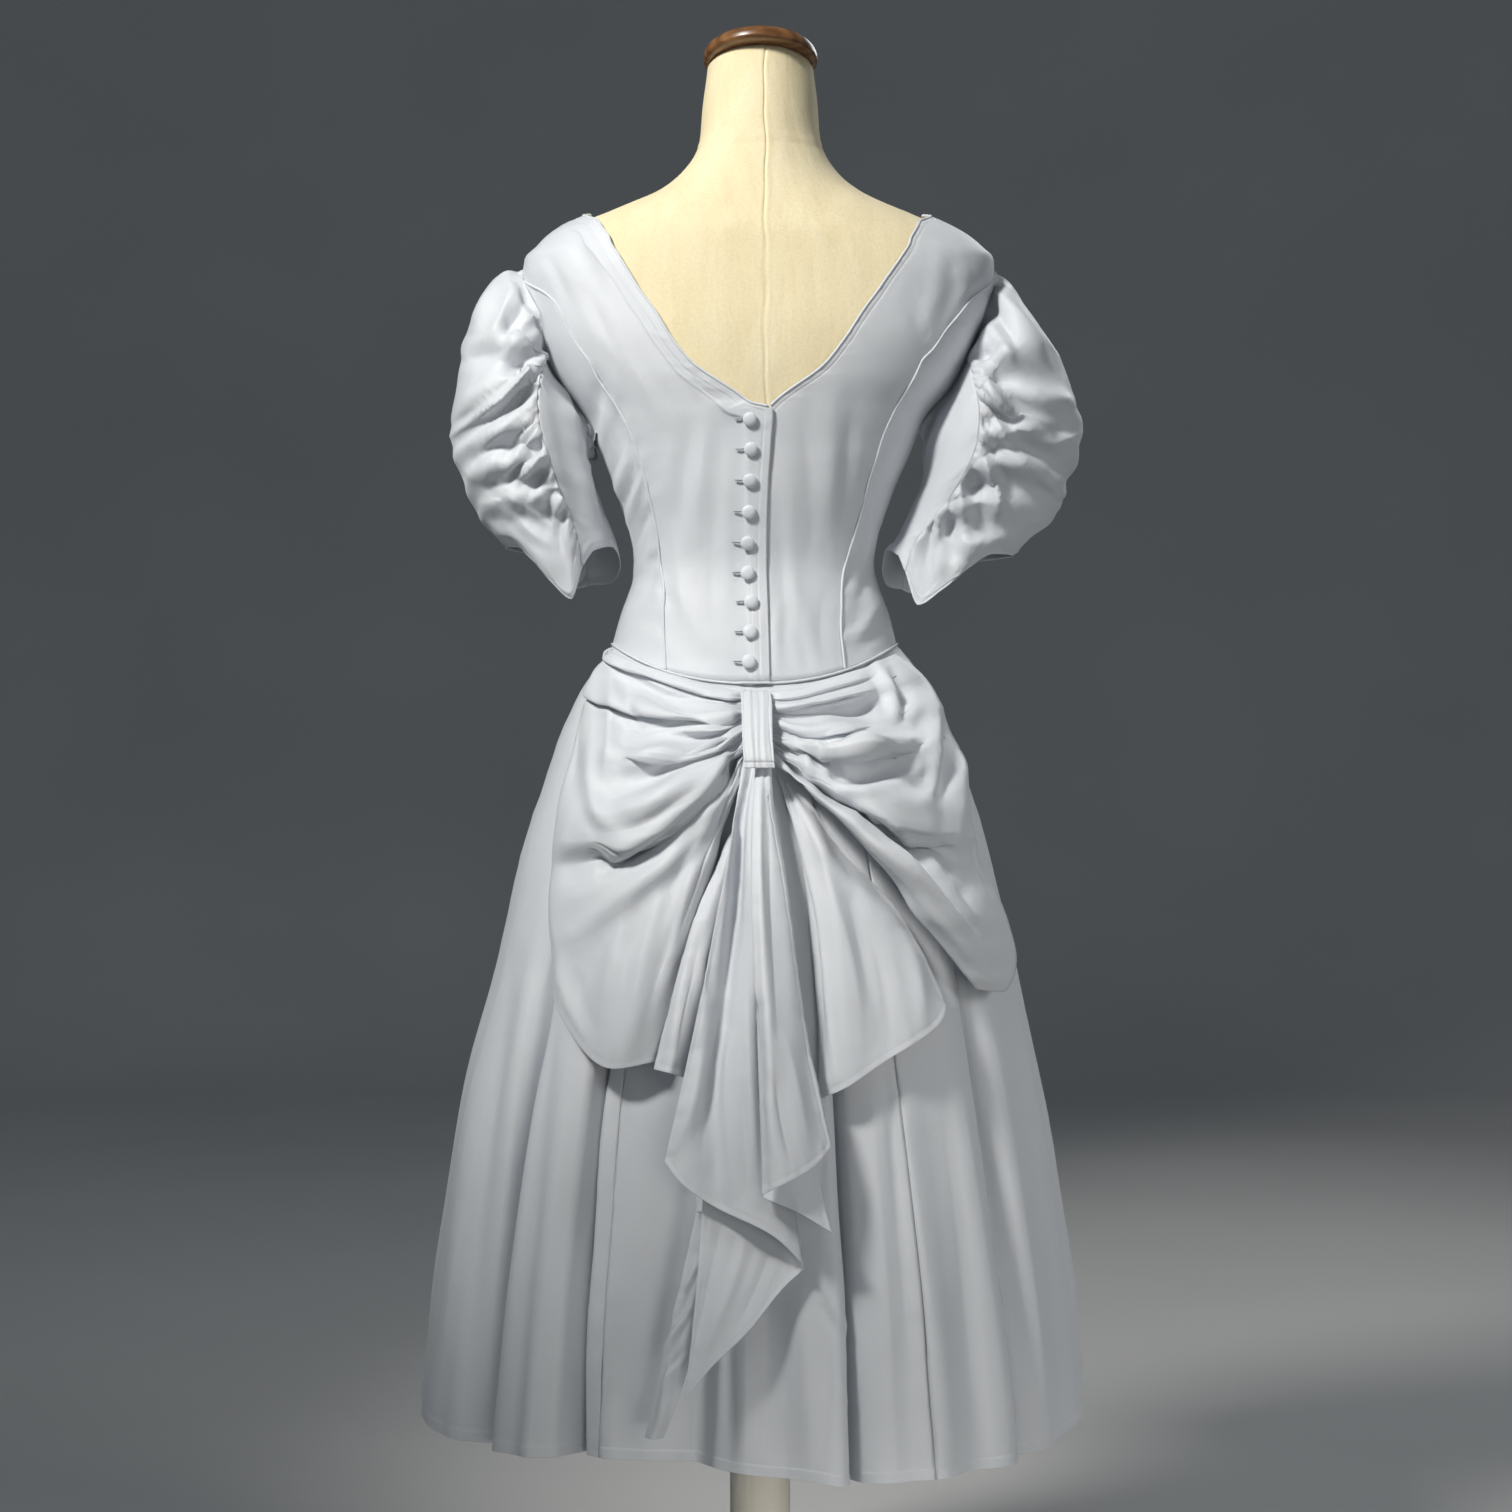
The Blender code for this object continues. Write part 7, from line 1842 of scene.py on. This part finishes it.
# seams of the canvas cover: the centre back and front, the shoulders and the base of the neck
x, z = torso[..., 0], torso[..., 2]
line = 0.0008 * np.sin(z * 55) + 0.0005 * np.sin(z * 130 + 1)
dent = 0
for want in (1, -1):
    on = np.cos(T) * want > 0
    d = np.abs(x - line - 0.0045 * (want > 0))
    dent = dent + on * (np.exp(-(d / (0.9 * MM)) ** 2) * -0.9 + np.exp(-((d - 2.8 * MM) / (2.0 * MM)) ** 2) * 0.2)
neck_base = 1.4125 + 0.0115 * np.cos(T) * -1 + 0.001 * np.sin(T * 5)
d = U - neck_base
dent = dent + np.exp(-(d / (1.1 * MM)) ** 2) * -0.9 + np.exp(-((d - 3.2 * MM) / (2.0 * MM)) ** 2) * 0.45
shoulder = np.abs(np.abs(T) - math.pi / 2) * 0.1
dent = dent + (U < neck_base) * (U > 1.30) * (np.exp(-(shoulder / (0.9 * MM)) ** 2) * -0.6)
wrinkle = waves(torso * np.array([1, 1, 0.28]), 0.016, 55, 14) * 0.22 + waves(torso * np.array([1, 1, 0.5]), 0.05, 56, 10) * 0.4
torso = torso + normal * ((dent + wrinkle) * MM)[..., None]
torso[0, :, 2] = FORM_BOTTOM
verts = list(torso.reshape(-1, 3))
cols, faces = len(turns), []
for i in range(len(ups) - 1):
    for j in range(cols):
        k = (j + 1) % cols
        faces.append((i * cols + j, i * cols + k, (i + 1) * cols + k, (i + 1) * cols + j))
verts.append(torso[0].mean(0))
verts.append(torso[-1].mean(0))
for j in range(cols):
    k = (j + 1) % cols
    faces.append((len(verts) - 2, k, j))
    top = (len(ups) - 1) * cols
    faces.append((len(verts) - 1, top + j, top + k))
solid("form_canvas_torso", verts, faces, "canvas", ["form_torso"])


def turned(name, rings, mat, node, slot_name, segments=128, centre=(0, 0, 0), tilt=0.0):
    verts, faces = [], []
    for r, z in rings:
        for k in range(segments):
            a = 2 * math.pi * k / segments
            x, y = r * math.cos(a), r * math.sin(a)
            verts.append((centre[0] + x, centre[1] + y * math.cos(tilt) + z * math.sin(tilt), centre[2] - y * math.sin(tilt) + z * math.cos(tilt)))
    for i in range(len(rings) - 1):
        for k in range(segments):
            l = (k + 1) % segments
            faces.append((i * segments + k, i * segments + l, (i + 1) * segments + l, (i + 1) * segments + k))
    faces.append(tuple(range(segments))[::-1])
    faces.append(tuple((len(rings) - 1) * segments + k for k in range(segments)))
    ob = solid(name, verts, faces, mat, [node])
    for poly in ob.data.polygons[-2:]:
        poly.use_smooth = False
    return ob


def rounded(rows, radius, steps=5):
    """Rows of (radius, up) with each inner corner rounded."""
    out = [rows[0]]
    for a, b, c in zip(rows, rows[1:], rows[2:]):
        a, b, c = (np.array(v, float) for v in (a, b, c))
        r = min(radius, np.linalg.norm(a - b) * 0.45, np.linalg.norm(c - b) * 0.45)
        s, e = b + unit(a - b) * r, b + unit(c - b) * r
        for t in np.linspace(0, 1, steps):
            out.append(tuple((1 - t) ** 2 * s + 2 * t * (1 - t) * b + t * t * e))
    out.append(rows[-1])
    return out


axis = np.array([0, math.sin(NECK_TILT), math.cos(NECK_TILT)])
CAP = [(0.90, 0.0), (0.965, 0.03), (1.0, 0.14), (1.0, 0.42), (0.975, 0.62), (0.92, 0.78), (0.80, 0.90), (0.55, 0.98), (0.25, 1.0)]
turned("form_cap_turned", rounded([(r * CAP_R, z * CAP_H) for r, z in CAP], 4 * MM), "wood", "form_neck_cap", "form_wood",
       centre=tuple(neck_centre + axis * 0.4 * MM), tilt=NECK_TILT)
turned("form_base_disc", rounded([(0.05, 0), (BASE_R * 0.985, 0), (BASE_R, 3 * MM), (BASE_R, BASE_H - 5 * MM), (BASE_R - 4 * MM, BASE_H - 1 * MM),
                                  (BASE_R - 12 * MM, BASE_H), (0.05, BASE_H)], 2.5 * MM), "white_paint", "form_base", "form_metal", 160)
turned("form_pole_tube", [(POLE_R - 0.8 * MM, BASE_H + 0.3 * MM), (POLE_R, BASE_H + 1.2 * MM), (POLE_R, FORM_BOTTOM - 1.2 * MM), (POLE_R - 0.7 * MM, FORM_BOTTOM - 0.5 * MM)],
       "white_paint", "form_pole", "form_metal")



# ------------------------------------------------------------------ floor and light
def stage_mesh(name, verts, faces, mat):
    mesh = bpy.data.meshes.new(name)
    mesh.from_pydata(verts, [], faces)
    mesh.update()
    for poly in mesh.polygons:
        poly.use_smooth = True
    mesh.materials.append(MATERIAL[mat])
    ob = bpy.data.objects.new(name, mesh)
    bpy.context.scene.collection.objects.link(ob)
    ob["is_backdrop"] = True
    return ob


profile = [(-14.0, 0.0), (4.8, 0.0)] + [(4.8 + 1.8 * math.sin(a), 1.8 - 1.8 * math.cos(a)) for a in np.linspace(0.06, math.pi / 2, 20)] + [(6.6, 12.0)]
verts, faces = [], []
for y, z in profile:
    verts += [(-14.0, y, z - 0.0005), (14.0, y, z - 0.0005)]
for i in range(len(profile) - 1):
    faces.append((2 * i, 2 * i + 1, 2 * i + 3, 2 * i + 2))
stage_mesh("sweep", verts, faces, "floor")


def area_light(name, place, aim, size, power, colour, size_y=None, spread=180):
    data = bpy.data.lights.new(name, "AREA")
    data.shape = "RECTANGLE"
    data.size = size
    data.size_y = size_y or size
    data.energy = power
    data.color = colour
    ob = bpy.data.objects.new(name, data)
    ob.location = place
    data.spread = math.radians(spread)
    ob.rotation_euler = (Vector(aim) - Vector(place)).to_track_quat("-Z", "Y").to_euler()
    bpy.context.scene.collection.objects.link(ob)
    return ob


spot = bpy.data.lights.new("key", "SPOT")
spot.energy, spot.color = 302, (1.0, 0.975, 0.93)
spot.shadow_soft_size, spot.spot_size, spot.spot_blend = 0.24, math.radians(42), 0.55
key = bpy.data.objects.new("key", spot)
key.location = (-1.28, -1.58, 2.75)
key.rotation_euler = (Vector((0.0, 0.0, 1.36)) - key.location).to_track_quat("-Z", "Y").to_euler()
bpy.context.scene.collection.objects.link(key)
area_light("fill", (0.9, -2.9, 0.30), (0.0, 0.0, 0.28), 1.5, 2.6, (1.0, 0.94, 0.84), spread=70)
area_light("side", (1.7, -1.2, 1.25), (0.26, 0.0, 0.58), 0.7, 0.75, (1.0, 0.98, 0.95), spread=48)
area_light("low", (0.55, -2.3, 0.12), (0.0, 0.0, 0.08), 0.25, 0.18, (1.0, 0.96, 0.90), spread=14)
area_light("back", (1.6, 2.4, 2.6), (0.0, 0.0, 1.1), 1.2, 20, (0.95, 0.98, 1.0))
bpy.context.scene.view_settings.view_transform = "Standard"
world = bpy.data.worlds.new("studio")
bpy.context.scene.world = world
world.use_nodes = True
world.node_tree.nodes["Background"].inputs["Color"].default_value = (0.80, 0.90, 1.0, 1)
world.node_tree.nodes["Background"].inputs["Strength"].default_value = 0.145

low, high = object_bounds()
